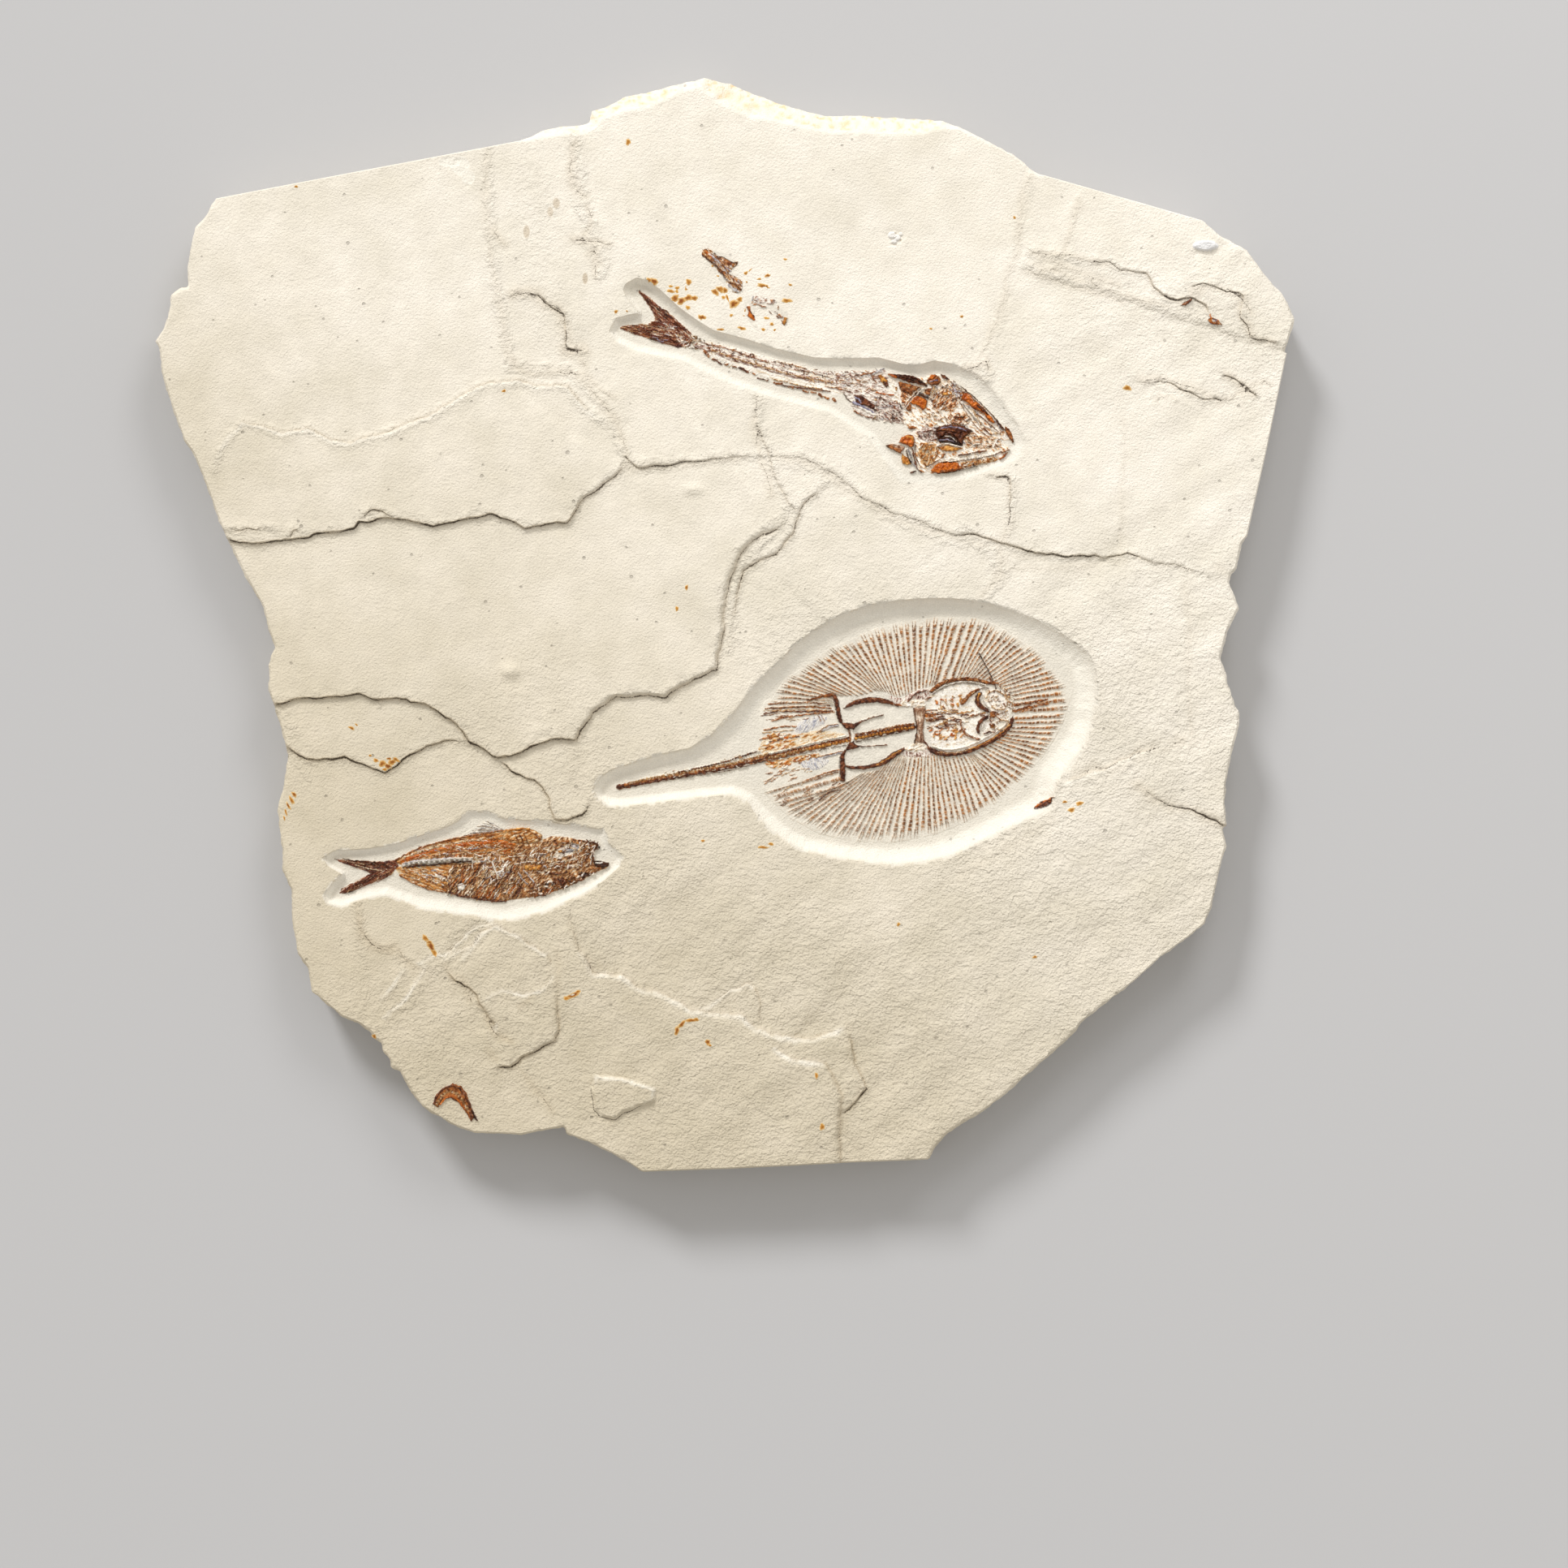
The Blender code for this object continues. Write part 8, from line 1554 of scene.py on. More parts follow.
# Flecks: x, y, half length, half width, degrees, how dark the middle is.
FLECKS = [
    (-53.8, 154, 1.06, 1.06, 0, 0.5), (-47.8, 237.6, 1.27, 2.12, 0, 0.5),
    (198.2, 116.4, 2.12, 1.7, 0, 0.5), (-173, -203.2, 1.27, 1.27, 0, 0.5),
    (45, -222.4, 1.06, 1.7, 0, 0.5), (47.8, -247.6, 1.7, 1.7, 0, 0.5),
    (-109, 114.8, 1.27, 0.85, 0, 0.5), (-19, 18, 0.85, 1.7, 0, 0.5),
    (-23.8, 7.6, 0.85, 1.7, 0, 0.5), (18.6, -110, 2.98, 0.85, 0, 0.5),
    (22.6, -108.4, 1.7, 0.85, 0, 0.5), (-11, -106.8, 1.27, 0.64, 0, 0.5),
    (85.4, -148, 1.06, 1.06, 0, 0.5), (152.6, -164, 1.27, 0.85, 0, 0.5),
    (116.6, 151.6, 0.85, 0.85, 0, 0.5), (101.4, 145.6, 0.85, 0.64, 0, 0.5),
    (142.6, 200.4, 0.85, 0.85, 0, 0.5), (-211.4, 215.6, 1.27, 0.64, 0, 0.5),
    (170.6, -91.6, 2.12, 1.27, 0, 0.5), (174.6, -88.4, 2.12, 1.27, 0, 0.5),
    (167.4, -87.6, 1.27, 0.85, 0, 0.5), (-184.2, -51.2, 1.7, 1, -20, 0.6),
    (-181.8, -49.6, 1, 0.5, -30, 0.4), (-172.2, -67.2, 1.7, 1, -10, 0.6),
    (-169, -68.8, 2.5, 1.6, 20, 0.8), (-166.2, -70, 2.3, 1.5, -40, 0.9),
    (-164.2, -68, 2.2, 1.7, 10, 0.7), (-162.2, -66.8, 2, 1.1, -30, 0.5),
    (-165.8, -66, 1.3, 1.3, 0, 0.9), (-167.8, -71.6, 1.5, 0.8, 10, 0.5),
    (-175, -64.8, 1, 0.6, 0, 0.6), (-212.6, -84, 2, 1, -60, 0.8),
    (-213.8, -86.8, 2.5, 1.1, -65, 0.6), (-215.4, -89.6, 2.2, 0.8, -60, 0.9),
    (-216.6, -92.8, 2, 0.6, -70, 0.7), (-217.4, -95.6, 1.5, 0.5, -70, 0.5),
    (29.6, 179.8, 0.75, 1, 80, 0.2), (10.2, 173, 1.4, 0.9, 20, 0.4),
    (12.3, 174.5, 1.4, 0.35, 38, 0.3), (20.8, 171.8, 1.5, 1.1, 10, 0.6),
    (16.8, 170.1, 1.2, 0.6, 10, 0.3), (10.6, 168.6, 0.55, 0.55, 0, 0.5),
    (18.6, 166.6, 3.9, 1.2, -12, 0.5), (20.4, 166.4, 1.1, 0.9, 0, 0.9),
    (32.1, 167.2, 1.1, 0.7, -30, 0.6), (30.4, 159.4, 2.7, 1.4, -5, 0.5),
    (-2.8, 171.4, 1.75, 0.6, -15, 0.3), (-6, 176.5, 0.9, 0.9, 0, 0.2),
    (0, 169.2, 1.1, 1.3, 60, 0.2), (-4.9, 163.6, 1.7, 2.2, 60, 0.6), (-2.4, 165, 1.8, 2.3, 80, 0.6),
    (0, 164.4, 1.5, 1.7, 60, 0.6), (-0.8, 161, 1.1, 1.2, 0, 0.2), (1.1, 160.8, 2.2, 0.7, -65, 0.4),
    (4.4, 157.8, 3.1, 2.2, 48, 0.8), (7.2, 160, 1.9, 1.3, 15, 0.5), (3, 152.2, 1.1, 0.8, 0, 0.2),
    (-11.2, 151.2, 2.1, 1.3, -10, 0.9), (-2.2, 145.2, 2, 0.75, 0, 0.6),
    (8.2, 145.8, 2.3, 1, -10, 0.5), (20.4, 150.8, 1.8, 0.75, 0, 0.3), (23, 147.8, 1.3, 0.9, 0, 0.3),
    (18.8, 145.2, 1.3, 0.8, -30, 0.2), (24.4, 145, 0.75, 0.7, 0, 0.3),
    (9.8, 154.6, 1, 0.45, 80, 0.6), (9.2, 152, 0.55, 0.35, 0, 0.2),
    (-35, 168.9, 2.5, 1.8, -20, 0.9), (-37.4, 169.6, 2, 1, -15, 0.3),
    (-18, 168.6, 1.9, 1.7, 30, 0.5), (-19, 165.6, 1.3, 1.1, 40, 0.5),
    (-23.6, 165.7, 1.3, 1.1, 0, 0.5), (-26.8, 166.5, 1.2, 0.8, 0, 0.2),
    (-26.8, 164.1, 2.3, 1, -5, 0.5), (-23.8, 164, 1, 1, 0, 0.1), (-24.8, 160.6, 2.9, 1.8, 30, 0.8),
    (-21.6, 159.2, 2.5, 2, 10, 1), (-18.2, 160.8, 2.25, 1.9, 0, 0.6),
    (-15.4, 160.7, 2.1, 1.6, 0, 0.5), (-18.4, 156, 1.3, 1.3, 0, 0.2),
    (-48.4, 154.2, 0.8, 0.4, -40, 0.9), (-12, 151.2, 1.4, 1.6, 60, 0.7),
    (-147.8, -154.8, 2.5, 1.3, -60, 0.5), (-145, -158.8, 3, 1.8, -70, 0.9),
    (-143.4, -162, 2, 1.5, -60, 0.5), (-145.8, -156.8, 1.5, 1, 0, 0.7),
    (-75, -182.8, 5, 1.3, 28, 0.8), (-78.2, -184.4, 2, 1, 0, 0.5), (-72.6, -181.2, 2, 0.8, 20, 0.4),
    (-23.8, -200.4, 2.5, 1.3, 70, 0.9), (-21.4, -197.2, 2.5, 1.3, 45, 0.7),
    (-16.6, -195.2, 3.5, 1.1, 5, 0.6), (-14.2, -194.8, 1.5, 1, 0, 0.5),
    (-8.6, -206, 1.7, 1.5, 0, 0.9), (-7.4, -207.6, 1, 0.6, -30, 0.4),
]

# Odd multipliers that scatter a noise cell's number into a direction.
SCATTER_X, SCATTER_Y, SCATTER_SEED, SCATTER_AGAIN = 374761393, 668265263, 362437, 1274126177


def plane_points(line):
    """The x and y of a line's points, without its other columns."""
    return np.asarray([point[:2] for point in line], float)


def mesh_noise(points, size, seed):
    """Smooth noise between about -1 and 1, with lumps of this size. Each use has its own seed."""
    q = points / size
    cell = np.floor(q).astype(np.int64)
    f = q - cell
    ease = f * f * f * (f * (f * 6 - 15) + 10)
    corners = []
    for dx, dy in ((0, 0), (1, 0), (0, 1), (1, 1)):
        n = (cell[:, 0] + dx) * SCATTER_X + (cell[:, 1] + dy) * SCATTER_Y + seed * SCATTER_SEED
        n &= 0xFFFFFFFF
        n = ((n ^ (n >> 13)) * SCATTER_AGAIN) & 0xFFFFFFFF
        turn = ((n ^ (n >> 16)) & 0xFFFF) * (math.tau / 65536)
        corners.append(np.cos(turn) * (f[:, 0] - dx) + np.sin(turn) * (f[:, 1] - dy))
    low = corners[0] + ease[:, 0] * (corners[1] - corners[0])
    high = corners[2] + ease[:, 0] * (corners[3] - corners[2])
    return 1.6 * (low + ease[:, 1] * (high - low))


def fractal(points, size, seed, octaves=3):
    """Noise with finer noise on it, each octave half the size and half the strength."""
    return sum(mesh_noise(points, size / 2**k, seed + 17 * k) / 2**k for k in range(octaves))


def noise_along(way, size, seed):
    """Noise that depends on the millimetres along a line alone."""
    return mesh_noise(np.stack([way, 0 * way], 1), size, seed)


def step(x, low, high):
    """A smooth rise from 0 at low to 1 at high."""
    t = np.clip((x - low) / (high - low), 0.0, 1.0)
    return t * t * (3 - 2 * t)


def along_line(points, line, closed=False):
    """Each point's distance to the nearest segment of a line, that segment, the share along it."""
    starts = plane_points(line)
    ends = np.roll(starts, -1, 0)
    if not closed:
        starts, ends = starts[:-1], ends[:-1]
    best = np.full(len(points), 1e9)
    segment = np.zeros(len(points), int)
    share = np.zeros(len(points))
    for number, (start, run) in enumerate(zip(starts, ends - starts)):
        away = points - start
        part = np.clip(away @ run / (run @ run), 0.0, 1.0)
        distance = np.hypot(*(away - part[:, None] * run).T)
        nearer = distance < best
        best[nearer], segment[nearer], share[nearer] = distance[nearer], number, part[nearer]
    return best, segment, share


def left_normals(line, closed):
    """Unit normals to the left of the line, of its segments and of its points."""
    starts = plane_points(line)
    runs = np.roll(starts, -1, 0) - starts
    if not closed:
        runs = runs[:-1]
    normals = np.stack([-runs[:, 1], runs[:, 0]], 1) / np.hypot(*runs.T)[:, None]
    if closed:
        corners = normals + np.roll(normals, 1, 0)
    else:
        corners = np.vstack([normals[:1], normals[1:] + normals[:-1], normals[-1:]])
    return normals, corners / np.hypot(*corners.T)[:, None]


def line_lengths(line, closed):
    """The lengths of a line's segments."""
    starts = plane_points(line)
    runs = np.roll(starts, -1, 0) - starts
    lengths = np.hypot(*runs.T)
    return lengths if closed else lengths[:-1]


def signed_distance(points, line, closed=False):
    """Distance to a line, positive on its left, and how far along it the nearest place is."""
    distance, segment, share = along_line(points, line, closed)
    starts = plane_points(line)
    ends = np.roll(starts, -1, 0)
    normals, corners = left_normals(line, closed)
    nearest = starts[segment] + share[:, None] * (ends[segment] - starts[segment])
    normal = normals[segment]
    normal = np.where((share == 0.0)[:, None], corners[segment], normal)
    normal = np.where((share == 1.0)[:, None], corners[(segment + 1) % len(corners)], normal)
    side = np.where(((points - nearest) * normal).sum(1) < 0, -1.0, 1.0)
    lengths = line_lengths(line, closed)
    before = np.concatenate([[0.0], np.cumsum(lengths)])
    return side * distance, before[segment] + share * lengths[segment]


def inside(points, outline):
    """Whether each point is inside a closed outline, by counting the sides crossed."""
    starts = plane_points(outline)
    crossings = np.zeros(len(points), bool)
    for (ax, ay), (bx, by) in zip(starts, np.roll(starts, -1, 0)):
        if ay != by:
            spans = (ay > points[:, 1]) != (by > points[:, 1])
            crossings ^= spans & (points[:, 0] < ax + (bx - ax) * (points[:, 1] - ay) / (by - ay))
    return crossings


def resampled(line, spacing, closed=False):
    """Points at an even spacing along a line, with every column of the line's points kept."""
    line = np.array(line, float)
    if closed:
        line = np.vstack([line, line[:1]])
    before = np.concatenate([[0.0], np.cumsum(np.hypot(*(line[1:, :2] - line[:-1, :2]).T))])
    count = max(2, round(before[-1] / spacing))
    at = np.linspace(0.0, before[-1], count + 1)
    found = np.stack([np.interp(at, before, column) for column in line.T], 1)
    return found[:-1] if closed else found


def offset_line(line, distances, closed):
    """The line moved to its left; points that fold over become None."""
    corners = left_normals(line, closed)[1]
    distances = np.broadcast_to(distances, len(line))
    moved = plane_points(line) + corners * distances[:, None]
    clear = along_line(moved, line, closed)[0] >= 0.8 * np.abs(distances)
    return [tuple(point) if good else None for point, good in zip(moved, clear)]


def slope_share(points, loop):
    """How far each point is across the slope along a loop of x, y, width; the width; the way."""
    starts = plane_points(loop)
    widths = np.array([point[2] for point in loop])
    ends, end_widths = np.roll(starts, -1, 0), np.roll(widths, -1)
    before = np.concatenate([[0.0], np.cumsum(line_lengths(loop, True))])
    best = np.full(len(points), 1e9)
    width = np.ones(len(points))
    way = np.zeros(len(points))
    for number, (start, run) in enumerate(zip(starts, ends - starts)):
        away = points - start
        part = np.clip(away @ run / (run @ run), 0.0, 1.0)
        here = widths[number] + part * (end_widths[number] - widths[number])
        share = np.hypot(*(away - part[:, None] * run).T) / here
        nearer = share < best
        best[nearer], width[nearer] = share[nearer], here[nearer]
        way[nearer] = before[number] + part[nearer] * (before[number + 1] - before[number])
    return np.clip(best, 0.0, 1.0), width, way


def near(points, line, reach):
    """Which points are within reach of the line's box."""
    spots = plane_points(line)
    return ((points > spots.min(0) - reach) & (points < spots.max(0) + reach)).all(1)


def wobble(points):
    """The small sideways wander that makes straight runs of a break jagged."""
    return 0.75 * np.stack([fractal(points, 8.0, 3), fractal(points, 8.0, 5)], 1)


def unwobbled(points):
    """The points that wobble onto these."""
    found = points.copy()
    for _ in range(4):
        found = points - wobble(found)
    return found


def ray_floor(points):
    """The flat floor of the ray's recess."""
    return np.full(len(points), THICKNESS - RAY_DEPTH)


def deep_fish_floor(points):
    """The flat floor of the deep-bodied fish's recess."""
    return np.full(len(points), THICKNESS - DEEP_FISH_DEPTH)


def long_fish_floor(points):
    """A flat floor that rises towards the snout and towards the fish's belly."""
    tail, snout = np.array(LONG_FISH_TAIL), np.array(LONG_FISH_SNOUT)
    axis = (snout - tail) / np.hypot(*(snout - tail))
    upward = np.array([-axis[1], axis[0]])
    share = (points - tail) @ axis / np.hypot(*(snout - tail))
    depth = LONG_FISH_DEPTHS[0] + (LONG_FISH_DEPTHS[1] - LONG_FISH_DEPTHS[0]) * share
    return THICKNESS - depth - LONG_FISH_SIDE_TILT * ((points - tail) @ upward)


RECESSES = [
    (RAY_RIM, ray_floor), (DEEP_FISH_RIM, deep_fish_floor), (LONG_FISH_RIM, long_fish_floor),
]


def swell(points):
    """The face's slow waves, under half a millimetre high."""
    x, y = points[:, 0], points[:, 1]
    return (
        0.30 * np.sin(x / 61.0 + 0.7) * np.cos(y / 74.0 - 0.4)
        + 0.18 * np.sin(x / 33.0 - y / 41.0)
    )


def grain(points):
    """The stone's own roughness: lumps, a leathery crinkle that leans to the right, and pits."""
    along = points[:, 0] * 0.8 + points[:, 1] * 0.6
    across = (points[:, 1] * 0.8 - points[:, 0] * 0.6) * 1.8
    lean = np.stack([along, across], 1)
    rough = 0.14 * fractal(points, 30.0, 11) + 0.12 * fractal(lean, 7.5, 12, 2)
    lower_right = 0.004 * (points[:, 0] - points[:, 1])
    crinkle = step(fractal(points, 90.0, 14, 2) + lower_right, -0.2, 0.9)
    rough += crinkle * 0.7 * mesh_noise(lean * (0.5, 1.0), 24.0, 17)
    rough += crinkle * 0.22 * (1 - np.abs(mesh_noise(lean, 9.0, 15)) * 2)
    pits = mesh_noise(points, 4.2, 16)
    return rough - 0.35 * step(pits, 0.62, 0.95)


def raise_mark(marks, name, here, values):
    """Raises a mark to these values at the points here, where it is lower."""
    marks[name][here] = np.maximum(marks[name][here], values)


def add_ledges(q, height, marks):
    """Each ledge as a main slope with two lips, painted shade along its foot, a painted highlight
    where the light meets it, and a painted shadow line where it faces away.
    """
    for line, rises, ramps, reach in LEDGES:
        here = near(q, line, 2.2 * reach)
        distance, way = signed_distance(q[here], line)
        share = way / line_lengths(line, False).sum()
        rise = np.interp(share, *zip(*rises))
        ramp = np.interp(share, *zip(*ramps)) * 0.55
        fade = np.exp(-((distance / reach) ** 2))
        lip = 1.6 + 1.5 * noise_along(way, 9.0, len(line))
        low_lip = 0.22 * np.clip((distance + lip) / 0.6, -0.5, 0.5)
        high_lip = 0.16 * np.clip((distance - 1.3 * lip) / 0.6, -0.5, 0.5)
        main = 0.75 * np.clip(distance / ramp, -0.5, 0.5)
        height[here] += rise * (main + low_lip + high_lip) * fade
        steep = rise / np.maximum(ramp, 0.8) > 0.45
        trench = np.clip(1 - np.abs(distance + 0.65 * ramp) / 0.55, 0, 1)
        groove = np.where(steep, 0.5, 0.12) * trench
        height[here] -= groove * np.minimum(rise, 1.0)
        # Painted shade along the ledge's foot.
        dark = np.where(steep, 0.2, 0.05) * np.exp(-((distance + 0.5 * ramp) / 0.8) ** 2)
        raise_mark(marks, "dirt_and_shade", here, dark * np.minimum(rise, 1.0))
        downhill = -left_normals(line, False)[0][along_line(q[here], line)[1]]
        shaded = downhill @ np.array(AWAY_FROM_LIGHT)
        hidden = step(shaded, 0.1, 0.7)
        # A painted highlight, stored as chalk, on the ledge where it faces the light.
        patchy = 0.8 + 0.5 * mesh_noise(q[here], 6.0, 28)
        lit = step(-shaded, 0.0, 0.5) * np.minimum(1.6 * rise, 1.0) * patchy
        raise_mark(marks, "chalk", here, lit * np.exp(-((distance / (0.4 * ramp + 0.5)) ** 2)))
        # A painted shadow line at the ledge's foot, only where the ledge faces away from the light.
        ragged = 1 + 1.3 * mesh_noise(q[here], 9.0, 23)
        half_width = (0.17 * np.minimum(rise, 1.3) * ragged + 0.04) * hidden
        shadow_line_here = 1 - (np.abs(distance + 0.6 * ramp) - half_width) / SHADOW_LINE_REACH
        raise_mark(marks, "shadow_line", here, np.where(steep & (rise > 0.25), shadow_line_here, 0.0))
        raise_mark(marks, "rugged", here, 1.2 * np.exp(-((distance / 2.6) ** 2)))


def add_flake(q, height, marks):
    """The thin flake that stands on the face at the slab's foot, with a painted highlight on its
    upper rim and a painted shadow line below.
    """
    distance = signed_distance(q, FLAKE, True)[0]
    height += 1.4 * FLAKE_RISE * np.clip(1.6 * distance / FLAKE_RAMP + 0.5, 0.0, 1.0)
    # Painted highlight along the upper rim, stored as chalk, and painted shadow along the lower
    # side.
    place = 0.3 * q[:, 0] + q[:, 1]
    rim_highlight = np.exp(-(((distance - 0.4) / 0.7) ** 2)) * step(place, -248.0, -240.0)
    marks["chalk"] = np.maximum(marks["chalk"], rim_highlight)
    shadow_below = 1 - (np.abs(distance + 0.5 * FLAKE_RAMP) - 0.12) / SHADOW_LINE_REACH
    marks["shadow_line"] = np.maximum(marks["shadow_line"], shadow_below * step(-place, 244.0, 250.0))


def add_cracks(q, height, marks):
    """Each crack as a ragged cut that tapers at its start, with crumbled sides, painted shade
    beside it and a painted shadow line along it.
    """
    for half_width, depth, dark, line in CRACKS:
        here = near(q, line, 4.0)
        distance, segment, share = along_line(q[here], line)
        ends = np.where((segment == 0) & (share < 0.1), share * 10, 1.0)
        broad = half_width * (2.6 + 1.6 * mesh_noise(q[here], 9.0, 22))
        ragged = 0.7 + 0.5 * mesh_noise(q[here], 5.0, 21)
        cut = np.clip(1 - distance / broad, 0, 1) * ragged * ends
        height[here] -= 0.7 * depth * cut
        crumbs = 0.35 * dark * mesh_noise(q[here], 2.6, 25)
        height[here] += crumbs * step(2.4 * broad - distance, 0.0, 1.5)
        # Painted shade beside the crack.
        raise_mark(marks, "dirt_and_shade", here, 0.16 * dark * np.exp(-((distance / (2 * broad)) ** 2)))
        # A painted shadow line along the crack.
        ragged = 1 + 1.4 * mesh_noise(q[here], 8.0, 24)
        shadow_width = 0.46 * half_width * (dark - 0.35) * ragged * ends
        crack_shadow_line = 1 - (distance - shadow_width) / SHADOW_LINE_REACH
        raise_mark(marks, "shadow_line", here, np.where(shadow_width > 0.03, crack_shadow_line, 0.0))
        fall = np.exp(-((distance / (0.6 + 2.2 * dark)) ** 2))
        raise_mark(marks, "rugged", here, (0.15 + dark) * fall)


def add_veins(q, height, marks):
    """Each vein as a rugged band of small flakes that stand above the face."""
    for half_width, amount, line in VEINS:
        here = near(q, line, 2 * half_width)
        distance = along_line(q[here], line)[0]
        ragged = half_width * (1.3 + 0.5 * mesh_noise(q[here], 8.0, 26))
        band = step(ragged - distance, 0.0, 0.8 * half_width)
        flaky = np.abs(fractal(q[here], 5.0, 27, 3)) - 0.3
        height[here] += 0.28 * amount * band * np.clip(flaky * 1.6, -0.6, 0.9)
        raise_mark(marks, "rugged", here, amount * band)


def add_bumps(points, height, marks):
    """Bumps and pits, and where they are white: shell on a bump, chalk in a chip."""
    for x, y, half_length, half_width, bump, pale in BUMPS:
        across = (points[:, 0] - x) / half_length
        span = across**2 + ((points[:, 1] - y) / half_width) ** 2
        height += bump * step(1.0 - span, 0.0, 1.0 - 0.5 * pale)
        mark = "pale" if bump > 0 else "chalk"
        marks[mark] = np.maximum(marks[mark], pale * step(1.0 - span, -0.05, 0.1))
        marks["dirt_and_shade"] = np.maximum(marks["dirt_and_shade"], -pale * step(1.0 - span, -0.1, 0.6))


def sheet_height(points):
    """The face with its ledges and cracks, before the recesses are cut, and the marks there."""
    height = THICKNESS + swell(points)
    marks = {name: np.zeros(len(points)) for name in ("dirt_and_shade", "shadow_line", "chalk", "pale")}
    lower_right = 0.0028 * (0.6 * points[:, 0] - points[:, 1])
    lower_right = lower_right + 0.45 * fractal(points, 110.0, 72, 2)
    marks["rugged"] = 0.04 + 0.86 * step(lower_right, -0.25, 0.75)
    q = points + wobble(points)
    add_ledges(q, height, marks)
    add_flake(q, height, marks)
    add_cracks(q, height, marks)
    add_veins(q, height, marks)
    add_bumps(points, height, marks)
    return height, marks


def face(points):
    """The finished face's height and the marks on it: stains and painted shade, painted shadow
    lines, painted highlights, fresh cuts and the crown.
    """
    height, marks = sheet_height(points)
    marks["fresh"], marks["cut"] = np.zeros(len(points)), np.zeros(len(points))
    rough = grain(points)
    q = points + 0.25 * wobble(points)
    for rim, floor in RECESSES:
        here = near(points, rim, 2.0)
        share, _, way = slope_share(q[here], rim)
        within = inside(q[here], rim)
        wall = 1.0 - (1.0 - share) ** 2.0
        bulge = np.sin(math.pi * share)
        scribe = mesh_noise(np.stack([way, share * 3.0], 1), 2.4, 31) * 0.32 * bulge
        scallop = noise_along(way, 7.0, 32) * 0.3 * bulge
        cut = np.maximum(height[here] - floor(points[here]), 0.15)
        carved = height[here] - cut * wall + (scribe + scallop) * np.minimum(cut / 4.0, 1.0)
        height[here] = np.where(within, carved, height[here])
        rough[here] *= np.where(within, 0.35, 1.0)
        for mark in ("dirt_and_shade", "shadow_line", "rugged", "chalk"):
            marks[mark][here] *= np.where(within, 0.0, 1.0)
        raise_mark(marks, "fresh", here, within)
        # A paler tooled band on the walls: partly fresh-cut stone, partly painted light that lifts
        # the walls' shade.
        tooled = within * step(share, 0.02, 0.2) * step(1.0 - share, 0.0, 0.3)
        raise_mark(marks, "cut", here, tooled)
    share, width, _ = slope_share(points, OUTLINE)
    drop = np.minimum(0.8 + 0.8 * width, 14.0) * (1.0 - share)
    broken = np.abs(fractal(points, 9.0, 41)) * np.minimum(width, 10.0)
    facets = broken * 0.18 * np.sin(math.pi * share)
    marks["crown"] = step(width, 3.0, 7.0) * step(1.0 - share, 0.05, 0.3)
    marks["shadow_line"] = marks["shadow_line"] * (share >= 1.0)
    return height + rough - drop + facets, marks


def triangulated(outline, creases, fill):
    """A flat triangulation inside the outline that keeps the creases: points, triangles."""
    points = [(float(x), float(y)) for x, y in plane_points(outline)]
    count = len(points)
    edges = []
    for crease in creases:
        kept = [None if point is None else (float(point[0]), float(point[1])) for point in crease]
        for start, end in zip(kept, kept[1:]):
            if start is not None and end is not None:
                edges.append((len(points), len(points) + 1))
                points += [start, end]
    points += [(float(x), float(y)) for x, y in fill]
    found = delaunay_2d_cdt(points, edges, [list(range(count))], 1, 1e-4)
    return np.array([tuple(point) for point in found[0]]), [tuple(face) for face in found[2]]


def border(faces):
    """The points along the triangulation's border, in order."""
    sides = set()
    for a, b, c in faces:
        sides.update(((a, b), (b, c), (c, a)))
    following = {start: end for start, end in sides if (end, start) not in sides}
    loop = [next(iter(following))]
    while following[loop[-1]] != loop[0]:
        loop.append(following[loop[-1]])
    return loop


def hex_grid(outline, spacing):
    """Points in staggered rows over the outline's box, and the numbers of rows and columns."""
    edge = plane_points(outline)
    low, high = edge.min(0), edge.max(0)
    rows = np.arange(low[1], high[1] + spacing, spacing * math.sqrt(0.75))
    columns = np.arange(low[0], high[0] + spacing, spacing)
    x = columns[None] + np.where(np.arange(len(rows)) % 2, spacing / 2, 0.0)[:, None]
    y = np.broadcast_to(rows[:, None], x.shape)
    return np.stack([x.ravel(), y.ravel()], 1), x.shape


def nearest_gap(points, others):
    """Distance from each point to the nearest of the others."""
    tree = KDTree(len(others))
    for number, (x, y) in enumerate(others):
        tree.insert((x, y, 0.0), number)
    tree.balance()
    return np.array([tree.find((x, y, 0.0))[2] for x, y in points])


def linear(colours):
    """Linear colours from levels of 0 to 255."""
    return np.clip(np.asarray(colours, float) / 255.0, 0.0, 1.0) ** 2.2


def toward(colours, target, share):
    """Moves the colours, in place, towards a target by a share that may vary by point."""
    colours += share * (np.array(target) - colours)


def placed(name, data, place=(0.0, 0.0, 0.0)):
    """A new object in the scene, at its place in metres."""
    body = bpy.data.objects.new(name, data)
    bpy.context.scene.collection.objects.link(body)
    body.location = place
    return body


def make_mesh(name, points, faces, colours, gloss, material, extra=()):
    """A mesh in millimetres with a colour and gloss for each point, and other values by name."""
    mesh = bpy.data.meshes.new(name)
    mesh.from_pydata(
        (np.asarray(points) * MM).tolist(), [], [tuple(map(int, one)) for one in faces]
    )
    tint = mesh.color_attributes.new("tint", "FLOAT_COLOR", "POINT")
    rows = np.column_stack([linear(colours), np.ones(len(colours))]).astype(np.float32)
    tint.data.foreach_set("color", rows.ravel())
    for label, values in [("gloss", gloss), *extra]:
        value = mesh.attributes.new(label, "FLOAT", "POINT")
        value.data.foreach_set("value", np.asarray(values, np.float32))
    mesh.materials.append(material)
    mesh.shade_smooth()
    mesh.set_sharp_from_angle(angle=math.radians(50))
    return placed(name, mesh)


